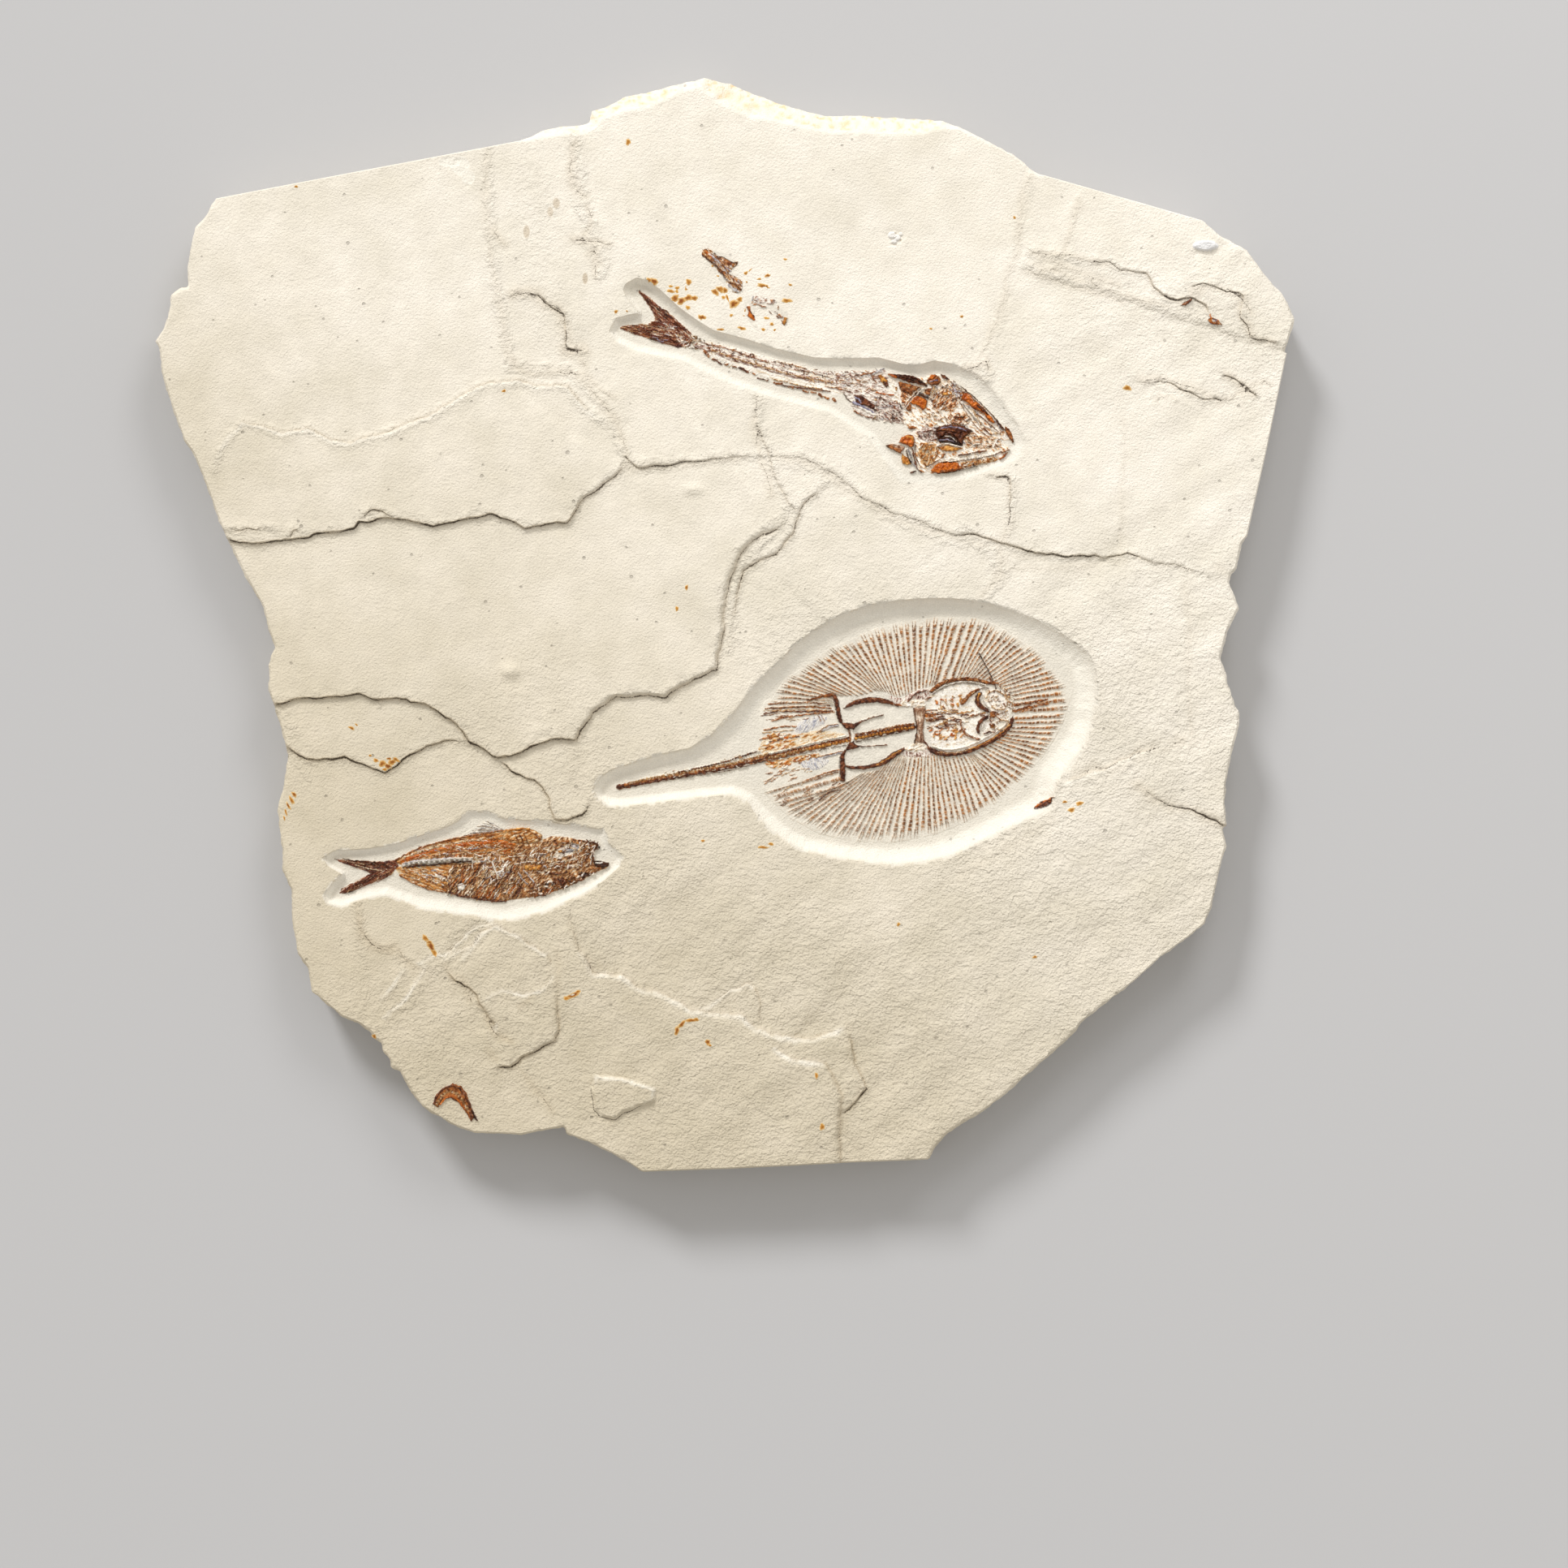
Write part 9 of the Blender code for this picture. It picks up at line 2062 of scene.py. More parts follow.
class Surface:
    """A material's nodes, with short ways to add those that the surfaces are made of."""

    def __init__(self, name):
        self.material = bpy.data.materials.new(name)
        self.material.use_nodes = True
        self.nodes = self.material.node_tree.nodes
        self.link = self.material.node_tree.links.new
        self.shader = self.nodes["Principled BSDF"]
        self.place = self.nodes.new("ShaderNodeTexCoord").outputs["Object"]

    def noise(self, scale, detail, twist=0.0):
        node = self.nodes.new("ShaderNodeTexNoise")
        node.inputs["Distortion"].default_value = twist
        node.inputs["Scale"].default_value = scale
        node.inputs["Detail"].default_value = detail
        self.link(self.place, node.inputs["Vector"])
        return node.outputs["Fac"]

    def ranged(self, source, from_low, from_high, low, high):
        """The value, with one range stretched to another."""
        node = self.nodes.new("ShaderNodeMapRange")
        for number, value in enumerate((from_low, from_high, low, high)):
            node.inputs[1 + number].default_value = value
        self.link(source, node.inputs["Value"])
        return node.outputs["Result"]

    def spread(self, source, low, high):
        """Noise, stretched to about this range."""
        return self.ranged(source, 0.3, 0.7, low, high)

    def attribute(self, label, output="Fac"):
        node = self.nodes.new("ShaderNodeAttribute")
        node.attribute_name = label
        return node.outputs[output]

    def maths(self, operation, first, second=0.0):
        node = self.nodes.new("ShaderNodeMath")
        node.operation = operation
        self.link(first, node.inputs[0])
        if isinstance(second, float):
            node.inputs[1].default_value = second
        else:
            self.link(second, node.inputs[1])
        return node.outputs[0]

    def bumped(self, height):
        """Bump from a height in millimetres."""
        node = self.nodes.new("ShaderNodeBump")
        node.inputs["Strength"].default_value = 1.0
        node.inputs["Distance"].default_value = MM
        self.link(height, node.inputs["Height"])
        self.link(node.outputs["Normal"], self.shader.inputs["Normal"])


def crevice_shade_and_flakes(skin, colour, height, fine, coarse):
    """Painted shade in cracks, in pits and at flake edges, and the flaky steps' bump, on a surface,
    where the mesh's own values say so.
    """
    rugged = skin.attribute("rugged")
    broken_shadow_line = skin.maths("ADD", skin.attribute("shadow_line"), skin.spread(fine, -0.09, 0.09))
    crack_shadow = skin.ranged(broken_shadow_line, 0.96, 1.04, 0.0, 0.85)
    cells = skin.nodes.new("ShaderNodeTexVoronoi")
    cells.inputs["Scale"].default_value = 120.0
    skin.link(skin.place, cells.inputs["Vector"])
    broken_cells = skin.maths("ADD", cells.outputs["Distance"], skin.spread(coarse, -0.08, 0.06))
    # Pits, sunk in the bump and darkened with painted shade.
    pit = skin.ranged(broken_cells, 0.02, 0.07, 1.0, 0.0)
    shaded_crevices = skin.nodes.new("ShaderNodeMix")
    shaded_crevices.data_type = "RGBA"
    lean = skin.nodes.new("ShaderNodeMapping")
    lean.inputs["Rotation"].default_value[2] = -0.6
    lean.inputs["Scale"].default_value = (0.8, 1.15, 1.0)
    skin.link(skin.place, lean.inputs["Vector"])
    flaky = skin.noise(330.0, 3.0, 0.3)
    skin.link(lean.outputs["Vector"], flaky.node.inputs["Vector"])
    layers = skin.maths("MULTIPLY", flaky, 4.5)
    # Painted shade at each flake step's edge.
    brink_shade = skin.ranged(skin.maths("FRACT", layers), 0.02, 0.3, 0.05, 0.0)
    pit_shade = skin.maths("MULTIPLY", pit, 0.3)
    faint_brink_shade = skin.maths("MULTIPLY", brink_shade, rugged)
    spotted_shade = skin.maths("MAXIMUM", pit_shade, faint_brink_shade)
    skin.link(skin.maths("MAXIMUM", crack_shadow, spotted_shade), shaded_crevices.inputs["Factor"])
    skin.link(colour, shaded_crevices.inputs["A"])
    shaded_crevices.inputs["B"].default_value = (*linear(CREVICE_SHADE), 1.0)
    slopes = skin.ranged(skin.maths("FRACT", layers), 0.0, 0.5, 0.0, 1.0)
    flakes = skin.maths("ADD", slopes, skin.maths("FLOOR", layers))
    low_flakes = skin.maths("MULTIPLY", flakes, 0.24)
    uneven = skin.maths("ADD", low_flakes, skin.spread(coarse, -0.2, 0.2))
    height = skin.maths("ADD", height, skin.maths("MULTIPLY", uneven, rugged))
    height = skin.maths("ADD", height, skin.maths("MULTIPLY", pit, -0.3))
    sand = skin.spread(skin.noise(800.0, 2.0), -0.1, 0.1)
    sandy = skin.maths("MULTIPLY", sand, skin.maths("ADD", rugged, 0.75))
    return shaded_crevices.outputs["Result"], skin.maths("ADD", height, sandy)


def surface_material(name, grain_depth, mottle, cracked=False):
    """Painted by the mesh's own colours, with mottling, a sandy bump, roughness from the gloss."""
    skin = Surface(name)
    fine = skin.noise(1300.0, 2.0)
    coarse = skin.noise(160.0, 3.0)
    height = skin.spread(fine, -grain_depth, grain_depth)
    speckle = skin.spread(fine, 1 - mottle, 1 + mottle)
    cloud = skin.spread(coarse, 1 - 0.7 * mottle, 1 + 0.7 * mottle)
    shade = skin.maths("MULTIPLY", speckle, cloud)
    scaled = skin.nodes.new("ShaderNodeVectorMath")
    scaled.operation = "SCALE"
    skin.link(skin.attribute("tint", "Color"), scaled.inputs[0])
    skin.link(shade, scaled.inputs["Scale"])
    colour = scaled.outputs["Vector"]
    if cracked:
        # Painted shade in the cracks, pits and flake edges, and the flakes' bump.
        colour, height = crevice_shade_and_flakes(skin, colour, height, fine, coarse)
    skin.link(colour, skin.shader.inputs["Base Color"])
    roughness = skin.ranged(skin.attribute("gloss"), 0.0, 1.0, 0.92, 0.22)
    skin.link(roughness, skin.shader.inputs["Roughness"])
    skin.shader.inputs["Specular IOR Level"].default_value = 0.2
    skin.bumped(height)
    return skin.material


def stone_colour(points):
    """Cream stone, darker, greyer and warmer towards the foot and the left: partly its own tone,
    partly painted shade where the light falls off.
    """
    drift = 30 * fractal(points, 120.0, 51, 2)
    # The fall from the pale upper right to the darker lower left is partly painted shade.
    fall = step(points[:, 1] + 0.6 * points[:, 0] + drift, -330.0, 190.0)[:, None]
    colour = np.array(STONE_WARM) + (np.array(STONE_PALE) - np.array(STONE_WARM)) * fall
    cloud = 0.022 * fractal(points, 22.0, 52) + 0.02 * fractal(points, 60.0, 53, 2)
    return colour * (1 + cloud[:, None] * (1.0, 1.05, 1.35))


def fresh_stone(points):
    """The cleaner stone that preparation laid bare in the recesses."""
    colour = stone_colour(points)
    toward(colour, STONE_FRESH, 0.85)
    return colour


def open_face(crease):
    """The crease in its jagged place, broken where a recess or the outline is too near."""
    good = [point is not None for point in crease]
    spots = np.array([point if point is not None else (0.0, 0.0) for point in crease])
    spots = unwobbled(spots)
    clear = inside(spots, OUTLINE) & (along_line(spots, OUTLINE, True)[0] > 0.9)
    for rim, _ in RECESSES:
        clear &= ~inside(spots, rim) & (along_line(spots, rim, True)[0] > 0.7)
    return [tuple(spot) if kept else None for spot, kept in zip(spots, clear & np.array(good))]


def jagged_edge(spots):
    """The outline's points, moved in and out where the edge is broken and not sawn."""
    corners = left_normals(spots, True)[1]
    way = np.arange(len(spots))[:, None] * EDGE_SPACING
    jag = 0.55 * fractal(np.hstack([way, way * 0]), 6.0, 61) - 0.25
    jag = np.where(spots[:, 2] < SAWN_BEVEL, 0.03 * jag, jag)
    edge = spots[:, :2] + corners * jag[:, None]
    return np.clip(edge, (-HALF_LENGTH, -HALF_HEIGHT), (HALF_LENGTH, HALF_HEIGHT))


def slab_creases(spots):
    """The lines along which the face's mesh must bend."""
    creases = []
    for line, _, ramps, _ in LEDGES:
        fine = resampled(line, 1.1)
        half = np.interp(np.linspace(0, 1, len(fine)), *zip(*ramps)) * 0.28
        creases += [open_face(offset_line(fine, side * half, False)) for side in (1.0, -1.0)]
    for _, _, _, line in CRACKS:
        creases.append(open_face([tuple(point) for point in resampled(line, 1.2)]))
    flake = resampled(FLAKE, 1.2, True)
    creases += [open_face(offset_line(flake, side * FLAKE_RAMP, True)) for side in (0.5, -0.5)]
    for rim, _ in RECESSES:
        fine = resampled(rim, EDGE_SPACING, True)
        for share in (0.0, 0.22, 0.5, 1.0):
            loop = offset_line(fine, -share * fine[:, 2], True)
            creases.append(loop + loop[:1])
    bevel = offset_line(spots, -spots[:, 2], True)
    creases.append(bevel + bevel[:1])
    return creases


def bump_rings():
    """Rings of points that give the white and the brown bumps a clean rim."""
    turns = np.arange(28) * math.tau / 28
    return np.array([
        (x + share * half_length * math.cos(turn), y + share * half_width * math.sin(turn))
        for x, y, half_length, half_width, _, pale in BUMPS if pale
        for share in (0.3, 0.5, 0.7, 0.85, 0.95, 1.02, 1.1) for turn in turns
    ])


def slab_fill(creases, edge, edge_loop):
    """Points between the creases: dense near them, coarse on the open face."""
    solid = np.array([point for crease in creases for point in crease if point is not None])
    flaky = [
        offset_line(resampled(line, 2.0), side * half_width, False)
        for half_width, _, line in VEINS for side in (-1.2, 0.0, 1.2)
    ]
    flaky = np.array([point for line in flaky for point in line if point is not None])
    rings = bump_rings()
    everything = np.vstack([solid, edge, flaky[inside(flaky, edge)], rings])
    keep = [rings]
    for spacing, low, high in ((COARSE_GRID, DENSE_REACH, 1e9), (DENSE_GRID, 0.7, DENSE_REACH)):
        grid = hex_grid(edge_loop, spacing)[0]
        gap = nearest_gap(grid, everything)
        keep.append(grid[(gap > low) & (gap <= high)])
    grid = np.vstack(keep)
    return grid[inside(grid, edge_loop)]


def face_colours(flat, marks):
    """The stone's colours, with each mark's colour laid over them in turn: the stone's own marks,
    painted highlights and painted shade.
    """
    colours = stone_colour(flat)
    amber = step(streaks(flat, -12.0, 4.5, 0.9, 71), -0.1, 0.9)[:, None]
    crown = np.array(CROWN_PALE) * (1 - amber) + np.array(CROWN_AMBER) * amber
    # The chalk layer holds real chips and painted highlights, the brown layer real stains and
    # painted shade, and the cut layer partly painted light.
    layers = (
        ("pale", 1.0, SHELL), ("fresh", 0.85, STONE_FRESH), ("cut", 0.6, PALE_CUT_AND_PAINTED_LIGHT),
        ("chalk", 0.9, PALE_CUT_AND_PAINTED_LIGHT), ("crown", 1.0, crown), ("dirt_and_shade", 0.8, DIRT_AND_SHADE_BROWN),
    )
    for mark, strength, colour in layers:
        toward(colours, colour, (strength * marks[mark])[:, None])
    return colours


def side_rings(rim):
    """The slab's upright sides as rings of points and colours, from the face down to the back."""
    along = np.concatenate([[0.0], np.cumsum(np.hypot(*(rim[1:, :2] - rim[:-1, :2]).T))])
    widths = np.array([point[2] for point in OUTLINE])
    segment = along_line(rim[:, :2], OUTLINE, True)[1]
    sawn = (widths[segment] < SAWN_BEVEL) & (widths[(segment + 1) % len(widths)] < SAWN_BEVEL)
    inward = left_normals(rim, True)[1]
    if signed_distance(rim[:, :2].mean(0)[None], rim[:, :2], True)[0][0] < 0:
        inward = -inward
    for number, level in enumerate(SIDE_LEVELS):
        bed = np.stack([along, np.full(len(along), level * 40.0)], 1)
        depth = 0.5 * fractal(bed, 5.0, 81) + 0.7 * fractal(bed, 16.0, 82) + 0.9
        depth = np.where(sawn, 0.05 + 0.02 * depth, depth) * (1 - 0.3 * level)
        ring = np.column_stack([rim[:, :2] + inward * depth[:, None], rim[:, 2] * level])
        yield ring, stone_colour(ring[:, :2]) * (0.97 - 0.05 * (number % 3))


def make_slab():
    """The limestone: its face as a height field, broken sides and a flat back, in one mesh."""
    spots = resampled(OUTLINE, EDGE_SPACING, True)
    edge = jagged_edge(spots)
    creases = slab_creases(spots)
    edge_loop = [tuple(point) for point in edge]
    flat, faces = triangulated(edge_loop, creases, slab_fill(creases, edge, edge_loop))
    height, marks = face(flat)
    height = np.minimum(height, HIGHEST)
    points = [np.column_stack([flat, height])]
    colours = [face_colours(flat, marks)]
    quads = []
    upper = np.array(border(faces))
    total = len(flat)
    for ring, ring_colours in side_rings(points[0][upper]):
        points.append(ring)
        colours.append(ring_colours)
        lower = total + np.arange(len(ring))
        total += len(ring)
        following = np.roll(upper, -1), np.roll(lower, -1)
        quads += zip(upper, lower, following[1], following[0])
        upper = lower
    back = [tuple(upper[i] for i in reversed(one)) for one in triangulated(ring[:, :2], [], [])[1]]
    extra = [
        (mark, np.pad(marks[mark], (0, total - len(flat)), constant_values=side))
        for mark, side in (("shadow_line", 0.0), ("rugged", 1.0))
    ]
    return make_mesh(
        "slab_stone", np.vstack(points), faces + quads + back, np.vstack(colours),
        np.zeros(total), surface_material("limestone", 0.07, 0.04, True), extra,
    )


def pigment(name, points, seed):
    """A colour that drifts between its dark and its light tone."""
    dark, light = (np.array(tone, float) for tone in COLOURS[name])
    blend = step(fractal(points, 2.2, seed, 3), -0.6, 0.65)[:, None]
    return dark + (light - dark) * blend


def blended(name, value):
    """A palette's colours at values from 0, dark bone, to 1, bare matrix."""
    stops, tones = zip(*PALETTES[name])
    return np.stack([np.interp(value, stops, channel) for channel in zip(*tones)], 1)


def streaks(points, degrees, length, width, seed):
    """Noise drawn out into fibres that run at this angle."""
    turn = math.radians(degrees)
    along = points[:, 0] * math.cos(turn) + points[:, 1] * math.sin(turn)
    across = points[:, 1] * math.cos(turn) - points[:, 0] * math.sin(turn)
    return fractal(np.stack([along / length, across / width], 1), 1.0, seed, 3)


def spelled_out(items):
    """The items, with each field of strokes drawn out as bars."""
    rng = random.Random(11)
    for item in items:
        if item[0] != "strokes":
            yield item
            continue
        colours, size, rise, outline, count, degrees, spread, length = item[1:]
        low, high = plane_points(outline).min(0), plane_points(outline).max(0)
        places = [
            (rng.uniform(low[0], high[0]), rng.uniform(low[1], high[1])) for _ in range(4 * count)
        ]
        held = inside(np.array(places), outline)
        for x, y in [place for place, good in zip(places, held) if good][:count]:
            turn = math.radians(degrees + rng.uniform(-spread, spread))
            half = length * rng.uniform(0.25, 0.6)
            bend = length * rng.uniform(-0.14, 0.14)
            run = (half * math.cos(turn), half * math.sin(turn))
            middle = (x - bend * math.sin(turn), y + bend * math.cos(turn))
            line = [(x - run[0], y - run[1]), middle, (x + run[0], y + run[1])]
            colour = rng.choice(colours)
            width, lift = size * rng.uniform(0.7, 1.3), rise * rng.uniform(0.6, 1.2)
            yield "bar", colour, width, lift, line


def laid_bar(spots, number, colour, size, rise, line):
    """A rounded bar along a line: how much of each point it covers, its height, its colour."""
    distance = along_line(spots, line)[0]
    width = size * (1 + 0.35 * mesh_noise(spots, 2.3, 700 + number))
    cover = step(width * 1.08 - distance, 0.0, 0.3)
    lift = rise * np.sqrt(np.clip(1 - (distance / width) ** 2, 0, 1))
    return cover, lift, pigment(colour, spots, 300 + number)


def laid_beads(spots, number, colour, size, rise, line):
    """A row of beads along a line, each about as long as it is wide."""
    distance, way = signed_distance(spots, line)
    swing = 0.5 + 0.5 * np.cos(math.tau * way / (2.1 * size))
    distance = np.abs(distance) / (0.55 + 0.45 * swing)
    cover = step(size - distance, 0.0, 0.3)
    lift = rise * np.sqrt(np.clip(1 - (distance / size) ** 2, 0, 1)) * (0.3 + 0.7 * swing)
    return cover, lift, pigment(colour, spots, 300 + number) * (0.8 + 0.2 * swing)[:, None]


def depth_inside(spots, outline):
    """How far each point is inside an outline, and -1 outside it."""
    return np.where(inside(spots, outline), along_line(spots, outline, True)[0], -1.0)


def laid_weave(spots, number, palette, size, rise, outline, degrees, length, width, bias):
    """Fibres that fill an outline: the higher they stand, the darker they are."""
    depth = depth_inside(spots, outline)
    fibres = 0.5 + 0.62 * streaks(spots, degrees, length, width, 600 + number) + bias
    value = np.clip(fibres, 0, 1)
    lift = rise * (0.2 + 0.8 * (1 - value)) * step(depth, -0.1, size)
    return step(depth, -0.1, 0.3), lift, blended(palette, value)


def laid_plate(spots, number, colour, size, rise, outline):
    """A plate with a rounded rim that is darker at its very edge."""
    depth = depth_inside(spots, outline)
    cover = step(depth, -0.1, 0.3)
    lift = rise * (1 - (1 - np.clip(depth / size, 0, 1)) ** 2) * cover
    tone = pigment(colour, spots, 300 + number)
    tone *= (0.72 + 0.28 * step(depth, 0.1, 0.7))[:, None]
    return cover, lift, tone


LAID = {"bar": laid_bar, "beads": laid_beads, "weave": laid_weave, "plate": laid_plate}


def paint(points, items, base_colour):
    """Lays bars, beads, plates and fibres over a floor: relief, colours and gloss by point."""
    relief = np.zeros(len(points))
    colours = base_colour.copy()
    gloss = np.zeros(len(points))
    bone = np.zeros(len(points))
    q = points + 0.26 * np.stack([fractal(points, 1.9, 91), fractal(points, 1.9, 92)], 1)
    for number, (kind, colour, size, rise, line, *more) in enumerate(spelled_out(items)):
        here = np.flatnonzero(near(q, line, (0.0 if kind == "weave" else size) + 1.2))
        if not len(here):
            continue
        spots = q[here]
        cover, lift, tone = LAID[kind](spots, number, colour, size, rise, line, *more)
        wear = WEAR.get(colour, 0.5)
        if kind == "weave":
            wear = WEAVE_WEAR
        elif kind == "plate":
            wear *= PLATE_WEAR
        worn = step(fractal(spots, 1.7, 100 + number, 3), 0.42, 0.75) * wear
        cover = cover * (1 - worn)
        lift = lift * (1 - 0.6 * worn) * (1 + 0.25 * fractal(spots, 1.2, 200 + number, 2))
        colours[here] += cover[:, None] * (tone - colours[here])
        relief[here] += cover * (np.maximum(lift, 0.6 * relief[here]) - relief[here])
        gloss[here] += cover * (GLOSS.get(colour, 0.4) - gloss[here])
        bone[here] += cover * (wear - bone[here])
    chips = 0.75 * (bone * step(fractal(points, 0.95, 997, 2), 0.3, 0.62))[:, None]
    toward(colours, CHIP_WHITE, chips)
    dark_spots = step(fractal(points, 0.85, 998, 2), 0.4, 0.7)
    toward(colours, FLAW_DARK, 0.5 * (np.minimum(bone * 2, 1) * dark_spots)[:, None])
    return relief + 0.1 * bone * fractal(points, 0.9, 999, 2), colours, gloss


def patch(region, items, floor, spacing, sink=0.35):
    """A bed of bone over a region of floor: a fine grid whose edges are sunk into the stone."""
    grid, shape = hex_grid(region, spacing)
    held = inside(grid, region)
    index = -np.ones(len(grid), int)
    index[held] = np.arange(held.sum())
    index = index.reshape(shape)
    faces = []
    for row in range(shape[0] - 1):
        a, b, c, d = index[row, :-1], index[row, 1:], index[row + 1, :-1], index[row + 1, 1:]
        pairs = ((a, b, c), (b, d, c)) if row % 2 == 0 else ((a, b, d), (a, d, c))
        for triple in pairs:
            rows = np.stack(triple, 1)
            faces.append(rows[(rows >= 0).all(1)])
    faces = np.vstack(faces)
    used = np.unique(faces)
    renumber = -np.ones(held.sum(), int)
    renumber[used] = np.arange(len(used))
    flat = grid[held][used]
    relief, colours, gloss = paint(flat, items, fresh_stone(flat))
    depth = along_line(flat, region, True)[0]
    bed = floor(flat) + 0.12 * fractal(flat, 4.0, 95) + 0.12
    height = np.minimum(bed + relief - sink * step(1.6 - depth, 0.0, 1.2), HIGHEST)
    return np.column_stack([flat, height]), renumber[faces], colours, gloss


def grown(outline, amount):
    """The outline of a clockwise shape, moved outwards."""
    moved = offset_line(resampled(outline, 2.0, True), amount, True)
    return [point for point in moved if point is not None]


def fin_rays():
    """Each fin ray's root and tip: the measured rays, and those between them by their pitch."""
    rays = []
    for first, second in zip(FIN_RAYS, FIN_RAYS[1:]):
        first, second = np.array(first), np.array(second)
        steps = max(1, round(math.dist(first[2:], second[2:]) / RAY_PITCH))
        rays += [first + (second - first) * part / steps for part in range(steps)]
    return np.array(rays + [np.array(FIN_RAYS[-1])])


def fin_colours(flat, gap, half, cover, body, fade):
    """Brown rays with darker cores, pale in places and with painted highlights, on fresh, dusty
    stone.
    """
    stone = fresh_stone(flat)
    toward(stone, FIN_DUST, 0.14 * step(fractal(flat, 1.6, 404, 2), -0.1, 0.8)[:, None])
    core = np.clip(1 - gap / np.maximum(half, 0.1), 0, 1).ravel()[:, None]
    warm = step(fractal(flat, 5.0, 406, 3), -0.5, 0.6)[:, None]
    lower_left = fractal(flat, 26.0, 407, 2) - 0.012 * (flat[:, 0] - 90) - 0.012 * (flat[:, 1] + 50)
    pale = step(lower_left, 0.1, 0.9)
    edge_tone = np.array(FIN_EDGE) + warm * np.array(FIN_EDGE_WARMTH)
    core_tone = np.array(FIN_CORE) + warm * np.array(FIN_CORE_WARMTH)
    tone = edge_tone + np.minimum(core * 1.5, 1) * (core_tone - edge_tone)
    toward(tone, FIN_PALE, 0.45 * pale[:, None])
    colours = stone + 0.95 * cover * (tone - stone)
    # Painted highlights on the rays.
    painted_highlight = step(mesh_noise(flat, 1.1, 411), 0.35, 0.7) * body.ravel() * fade.ravel()
    toward(colours, FIN_PAINTED_HIGHLIGHT, 0.6 * painted_highlight[:, None])
    return colours


def fin_fan():
    """The disc's segmented fin rays, each split in two near its tip, on a grid that fits them."""
    rays = fin_rays()
    offsets = np.array(FAN_OFFSETS)
    count = len(rays)
    position = (np.arange(count)[:, None] + offsets).ravel()
    owner = np.repeat(np.arange(count), len(offsets))
    offset = np.tile(offsets, count)
    ends = np.stack([np.interp(position, np.arange(count), column) for column in rays.T], 1)
    share = np.linspace(-0.06, 1.03, FAN_ROWS)[:, None]
    reach = 0.99 + 0.03 * np.sin(owner * 2.4) + 0.025 * np.sin(owner * 5.1)
    x = ends[:, 0] + (ends[:, 2] - ends[:, 0]) * share
    y = ends[:, 1] + (ends[:, 3] - ends[:, 1]) * share
    flat = np.stack([x.ravel(), y.ravel()], 1)
    pitch_root = np.hypot(*(np.roll(rays[:, :2], -1, 0) - rays[:, :2]).T)[owner]
    pitch_tip = np.hypot(*(np.roll(rays[:, 2:], -1, 0) - rays[:, 2:]).T)[owner]
    pitch = np.clip(pitch_root + (pitch_tip - pitch_root) * share, 0.9, 3.6)
    length = np.hypot(ends[:, 2] - ends[:, 0], ends[:, 3] - ends[:, 1]) * share
    run = np.stack([length.ravel(), np.tile(owner * 7.3, FAN_ROWS)], 1)

    def noise_on_rays(size, seed):
        return mesh_noise(run, size, seed).reshape(x.shape)

    across = offset * pitch + 0.3 * noise_on_rays(6.0, 401)
    split = 0.2 * pitch * step(share, 0.74, 0.96)
    taper = 1 - 0.45 * step(share, 0.8, 1.0)
    half = (0.215 - 0.085 * step(share, 0.74, 0.94)) * pitch * taper
    half = half * (1 + 0.4 * noise_on_rays(2.2, 408))
    gap = np.minimum(np.abs(across - split), np.abs(across + split))
    ridge = np.sqrt(np.clip(1 - (gap / (half * 1.15)) ** 2, 0, 1))
    phase = length / JOINT_SPACING + (owner * 0.618) % 1.0 + 0.3 * noise_on_rays(5.0, 409)
    joint = step(np.cos(math.tau * phase), 0.45, 0.9)
    fade = step(share, -0.06, 0.03) * step(reach - share, -0.03, 0.12)
    patchy = step(fractal(flat, 6.0, 403, 3).reshape(x.shape), 0.35, 0.9)
    crumbs = step(fractal(flat, 1.3, 410, 2).reshape(x.shape), 0.35, 0.7)
    body = step(half * 1.2 - gap, 0.0, 0.3)
    cover = body * (1 - 0.62 * joint) * (1 - 0.6 * patchy) * (1 - 0.6 * crumbs) * fade
    cover = cover.ravel()[:, None]
    colours = fin_colours(flat, gap, half, cover, body, fade)
    lift = 0.85 * ridge * (1 - 0.5 * joint) * fade * (1 - 0.35 * patchy)
    sunk = 0.5 * (1 - step(share, -0.06, -0.02)) + 0.4 * step(share, 1.0, 1.03)
    height = ray_floor(flat) + 0.16 + (lift - sunk).ravel()
    index = np.arange(FAN_ROWS * len(position)).reshape(FAN_ROWS, len(position))
    corners = (index[:-1, :-1], index[:-1, 1:], index[1:, 1:], index[1:, :-1])
    a, b, c, d = (part.ravel() for part in corners)
    faces = np.vstack([np.stack([a, d, b], 1), np.stack([d, c, b], 1)])
    return np.column_stack([flat, height]), faces, colours, 0.3 * cover[:, 0]


def face_floor(points):
    """The face itself as the floor of a bed, so that the bones on it follow its relief."""
    return face(points)[0] - 0.02


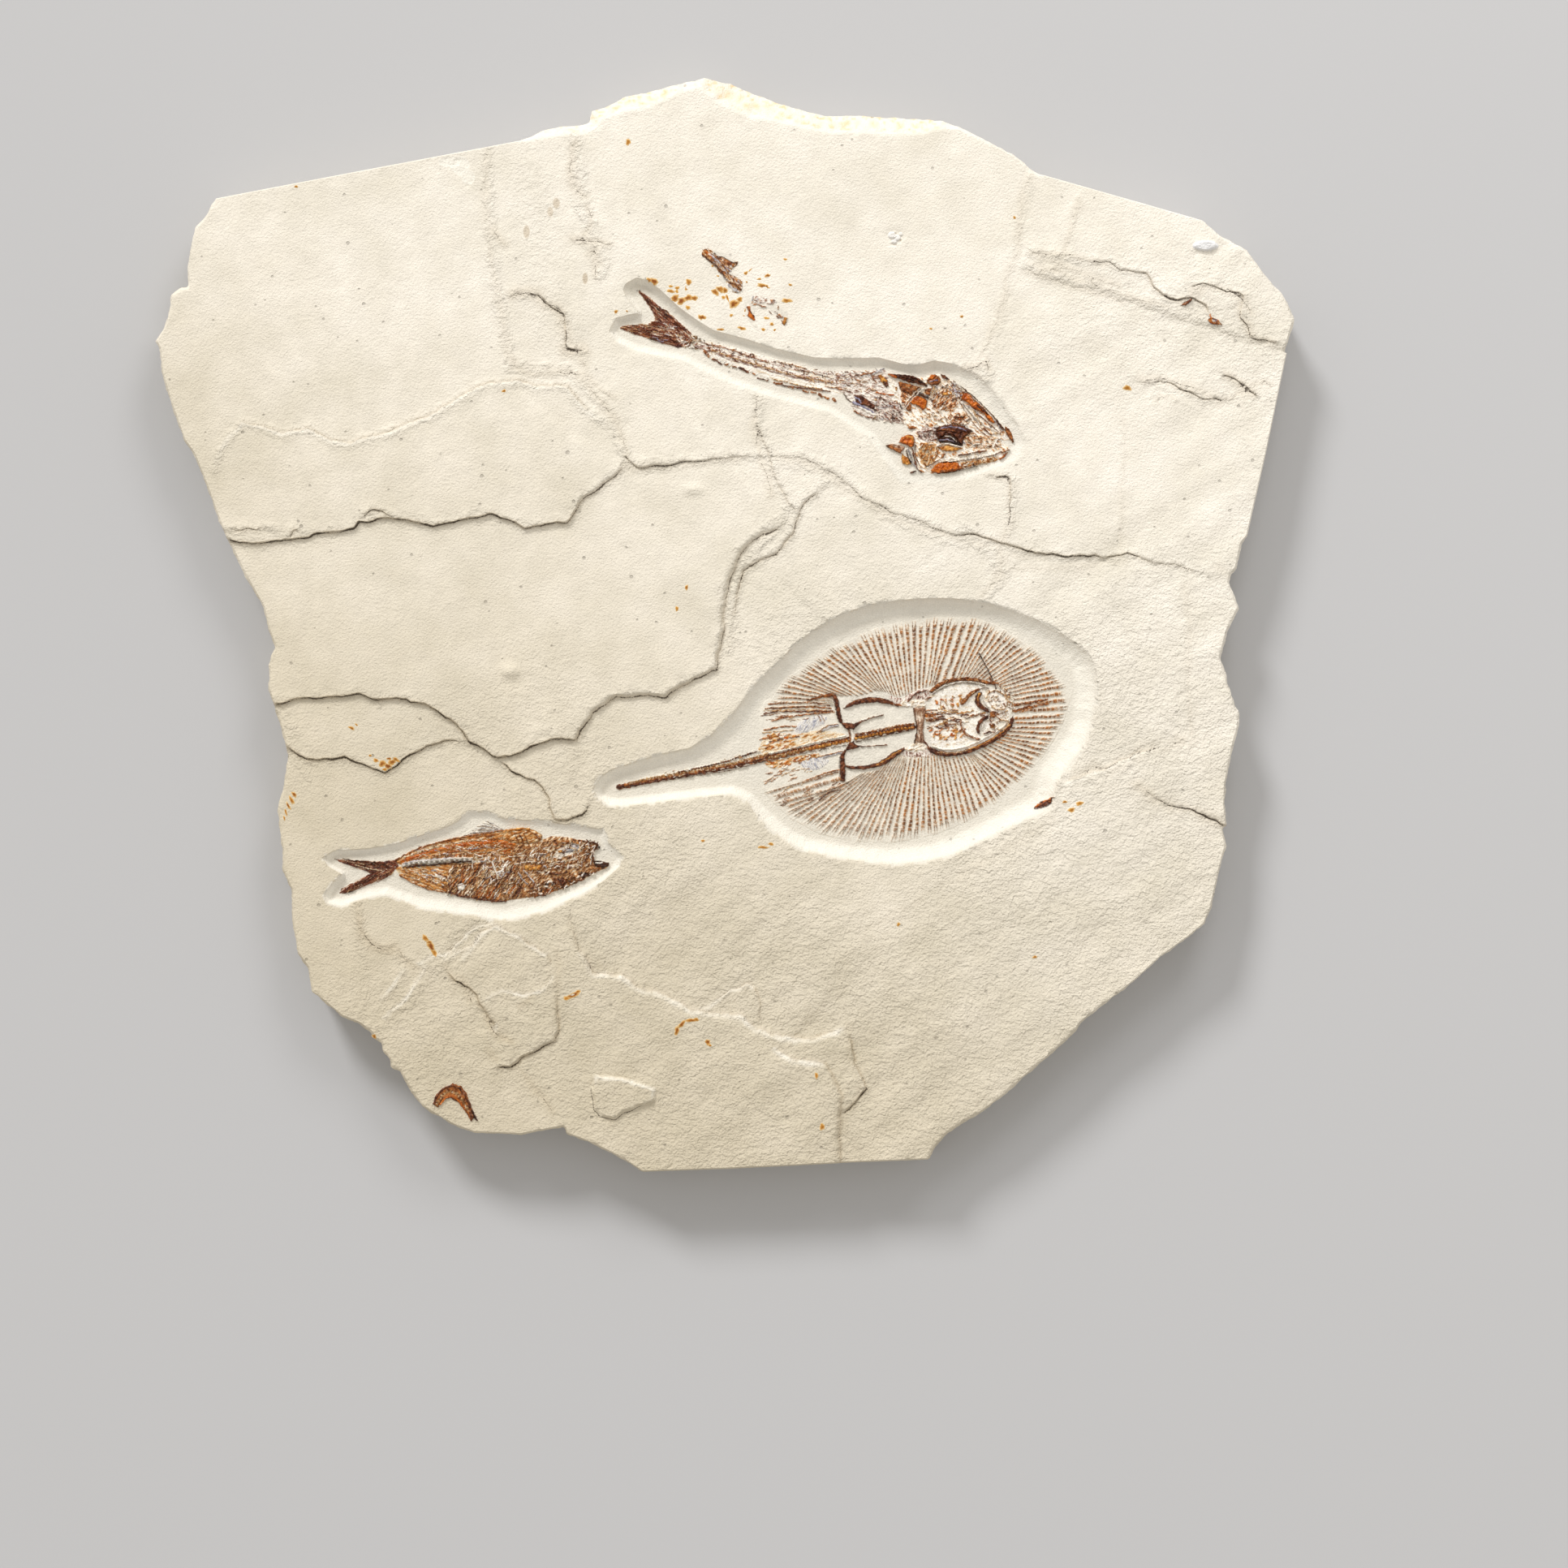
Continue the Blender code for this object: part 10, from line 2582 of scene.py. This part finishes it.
def fleck(number, x, y, half_length, half_width, degrees, core):
    """A thin amber dome that follows the face, darker in the middle and faded at the rim."""
    around = np.arange(16) * math.tau / 16
    turn = math.radians(degrees)
    rings = [np.zeros((1, 2))]
    for share in (0.4, 0.75, 1.0):
        reach = 1 + 0.14 * np.sin(around * 2 + number) + 0.12 * np.sin(around * 3 + 1.7 * number)
        reach = share * (reach + 0.1 * np.sin(around * 5 + 2.3 * number))
        a, b = half_length * reach * np.cos(around), half_width * reach * np.sin(around)
        along, across = (math.cos(turn), math.sin(turn)), (-math.sin(turn), math.cos(turn))
        rings.append(np.stack([a * along[i] + b * across[i] for i in (0, 1)], 1))
    flat = np.vstack(rings) + (x, y)
    lift = np.repeat((0.14, 0.13, 0.1, -0.06), (1, 16, 16, 16))
    faces = []
    for i in range(16):
        j = (i + 1) % 16
        faces.append((0, 1 + i, 1 + j))
        for low in (1, 17):
            faces.append((low + i, low + 16 + i, low + 16 + j))
            faces.append((low + i, low + 16 + j, low + j))
    depth = np.repeat((1.0, 0.8, 0.25, 0.0), (1, 16, 16, 16))
    depth = depth + 0.3 * fractal(flat, 1.4, 500 + number)
    dark = np.clip(depth * (0.45 + 0.65 * core), 0.0, 1.0)
    tone = blended("fleck", dark)
    toward(tone[17:33], stone_colour(flat[17:33]), 0.2)
    toward(tone[33:], stone_colour(flat[33:]), 0.8)
    return np.column_stack([flat, face(flat)[0] + lift]), faces, tone, np.full(len(flat), 0.4)


def flecks():
    """All the amber flecks and stains in one mesh."""
    points, faces, colours, gloss = zip(*(fleck(n, *row) for n, row in enumerate(FLECKS)))
    faces = [np.array(some) + number * len(points[0]) for number, some in enumerate(faces)]
    return np.vstack(points), np.vstack(faces), np.vstack(colours), np.concatenate(gloss)


def long_fish_ribs():
    """Fine ribs and spines to both sides of the backbone."""
    items = []
    line = np.array(BACKBONE)
    for number in range(44):
        x = -6.0 + 1.75 * number
        y = np.interp(x, line[:, 0], line[:, 1])
        colour = ("ashy", "rust", "tan", "maroon", "ashy")[number % 5]
        spine = [(x, y), (x - 2.4, y + 1.2), (x - 4.2, y + 2.6)]
        rib = [(x, y - 0.4), (x - 2.6, y - 1.8), (x - 4.6, y - 3.6)]
        items += [("bar", colour, 0.24, 0.55, spine), ("bar", colour, 0.24, 0.55, rib)]
    return items


def build():
    """Every piece of the slab, each on the one body, in place of the solid that it dresses."""
    stone = make_slab()
    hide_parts("slab")
    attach(stone, "root")
    bone = surface_material("fossil_bone", 0.05, 0.09)
    ray_bed = patch(RAY_BODY, RAY_ITEMS, ray_floor, 0.36)
    long_bed = patch(grown(LONG_FISH, 1.3), long_fish_ribs() + LONG_ITEMS, long_fish_floor, 0.34)
    deep_bed = patch(grown(DEEP_FISH, 1.3), DEEP_ITEMS, deep_fish_floor, 0.34)
    jobs = [
        ("ray_fin_fan", "ray_fossil", "ray_cartilage", fin_fan()),
        ("ray_skeleton", "", "ray_cartilage", ray_bed),
        ("long_fish_relief", "long_fish_fossil", "long_fish_bone", long_bed),
        ("deep_fish_relief", "deep_fish_fossil", "deep_fish_bone", deep_bed),
    ]
    for name, outline, items in SMALL_BONES:
        bed = patch(grown(outline, 0.9), items, face_floor, 0.42, sink=0.3)
        jobs.append((name + "_relief", name, "small_bone", bed))
    for name, node, slot, shape in jobs:
        piece = make_mesh(name, *shape, bone)
        if node:
            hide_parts(node)
        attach(piece, "root")
    stains = make_mesh("amber_flecks", *flecks(), bone)
    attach(stains, "root")


def light(name, kind, energy, place, aim):
    """A lamp that shines from its place towards the aim."""
    lamp = bpy.data.lights.new(name, kind)
    lamp.energy = energy
    body = placed(name, lamp, place)
    body.rotation_euler = (Vector(aim) - Vector(place)).to_track_quat("-Z", "Y").to_euler()
    return lamp


def studio():
    """A plain pale floor, soft light from the upper left, and the camera above the face."""
    mesh = bpy.data.meshes.new("floor")
    mesh.from_pydata([(-3, -3, 0), (3, -3, 0), (3, 3, 0), (-3, 3, 0)], [], [(0, 1, 2, 3)])
    material = bpy.data.materials.new("floor")
    material.use_nodes = True
    shader = material.node_tree.nodes["Principled BSDF"]
    shader.inputs["Base Color"].default_value = (0.55, 0.55, 0.56, 1)
    shader.inputs["Roughness"].default_value = 0.9
    mesh.materials.append(material)
    floor = placed("floor", mesh)
    key = light("key", "SUN", KEY_STRENGTH, KEY_PLACE, (0.0, 0.0, 0.0))
    key.angle = math.radians(14)
    wash = light("wash", "AREA", WASH_POWER, WASH_PLACE, (0.05, 0.1, 0.0))
    wash.shape = "DISK"
    wash.size = 0.8
    world = bpy.data.worlds.new("studio")
    bpy.context.scene.world = world
    world.use_nodes = True
    sky = world.node_tree.nodes["Background"]
    sky.inputs["Color"].default_value = (*WORLD_TINT, 1)
    sky.inputs["Strength"].default_value = WORLD_STRENGTH
    camera = bpy.data.cameras.new("camera")
    camera.sensor_width = SENSOR_WIDTH
    camera.lens = SENSOR_WIDTH * CAMERA_HEIGHT / FRAME_WIDTH
    bpy.context.scene.camera = placed("camera", camera, CAMERA_PLACE)
    bpy.context.scene.view_settings.view_transform = "Standard"


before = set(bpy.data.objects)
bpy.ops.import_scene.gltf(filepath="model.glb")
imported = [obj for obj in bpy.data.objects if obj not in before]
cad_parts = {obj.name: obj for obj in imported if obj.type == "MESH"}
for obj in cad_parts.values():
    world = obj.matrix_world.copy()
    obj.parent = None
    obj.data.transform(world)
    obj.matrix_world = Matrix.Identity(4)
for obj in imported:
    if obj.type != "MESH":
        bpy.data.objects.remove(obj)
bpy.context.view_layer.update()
build()
studio()
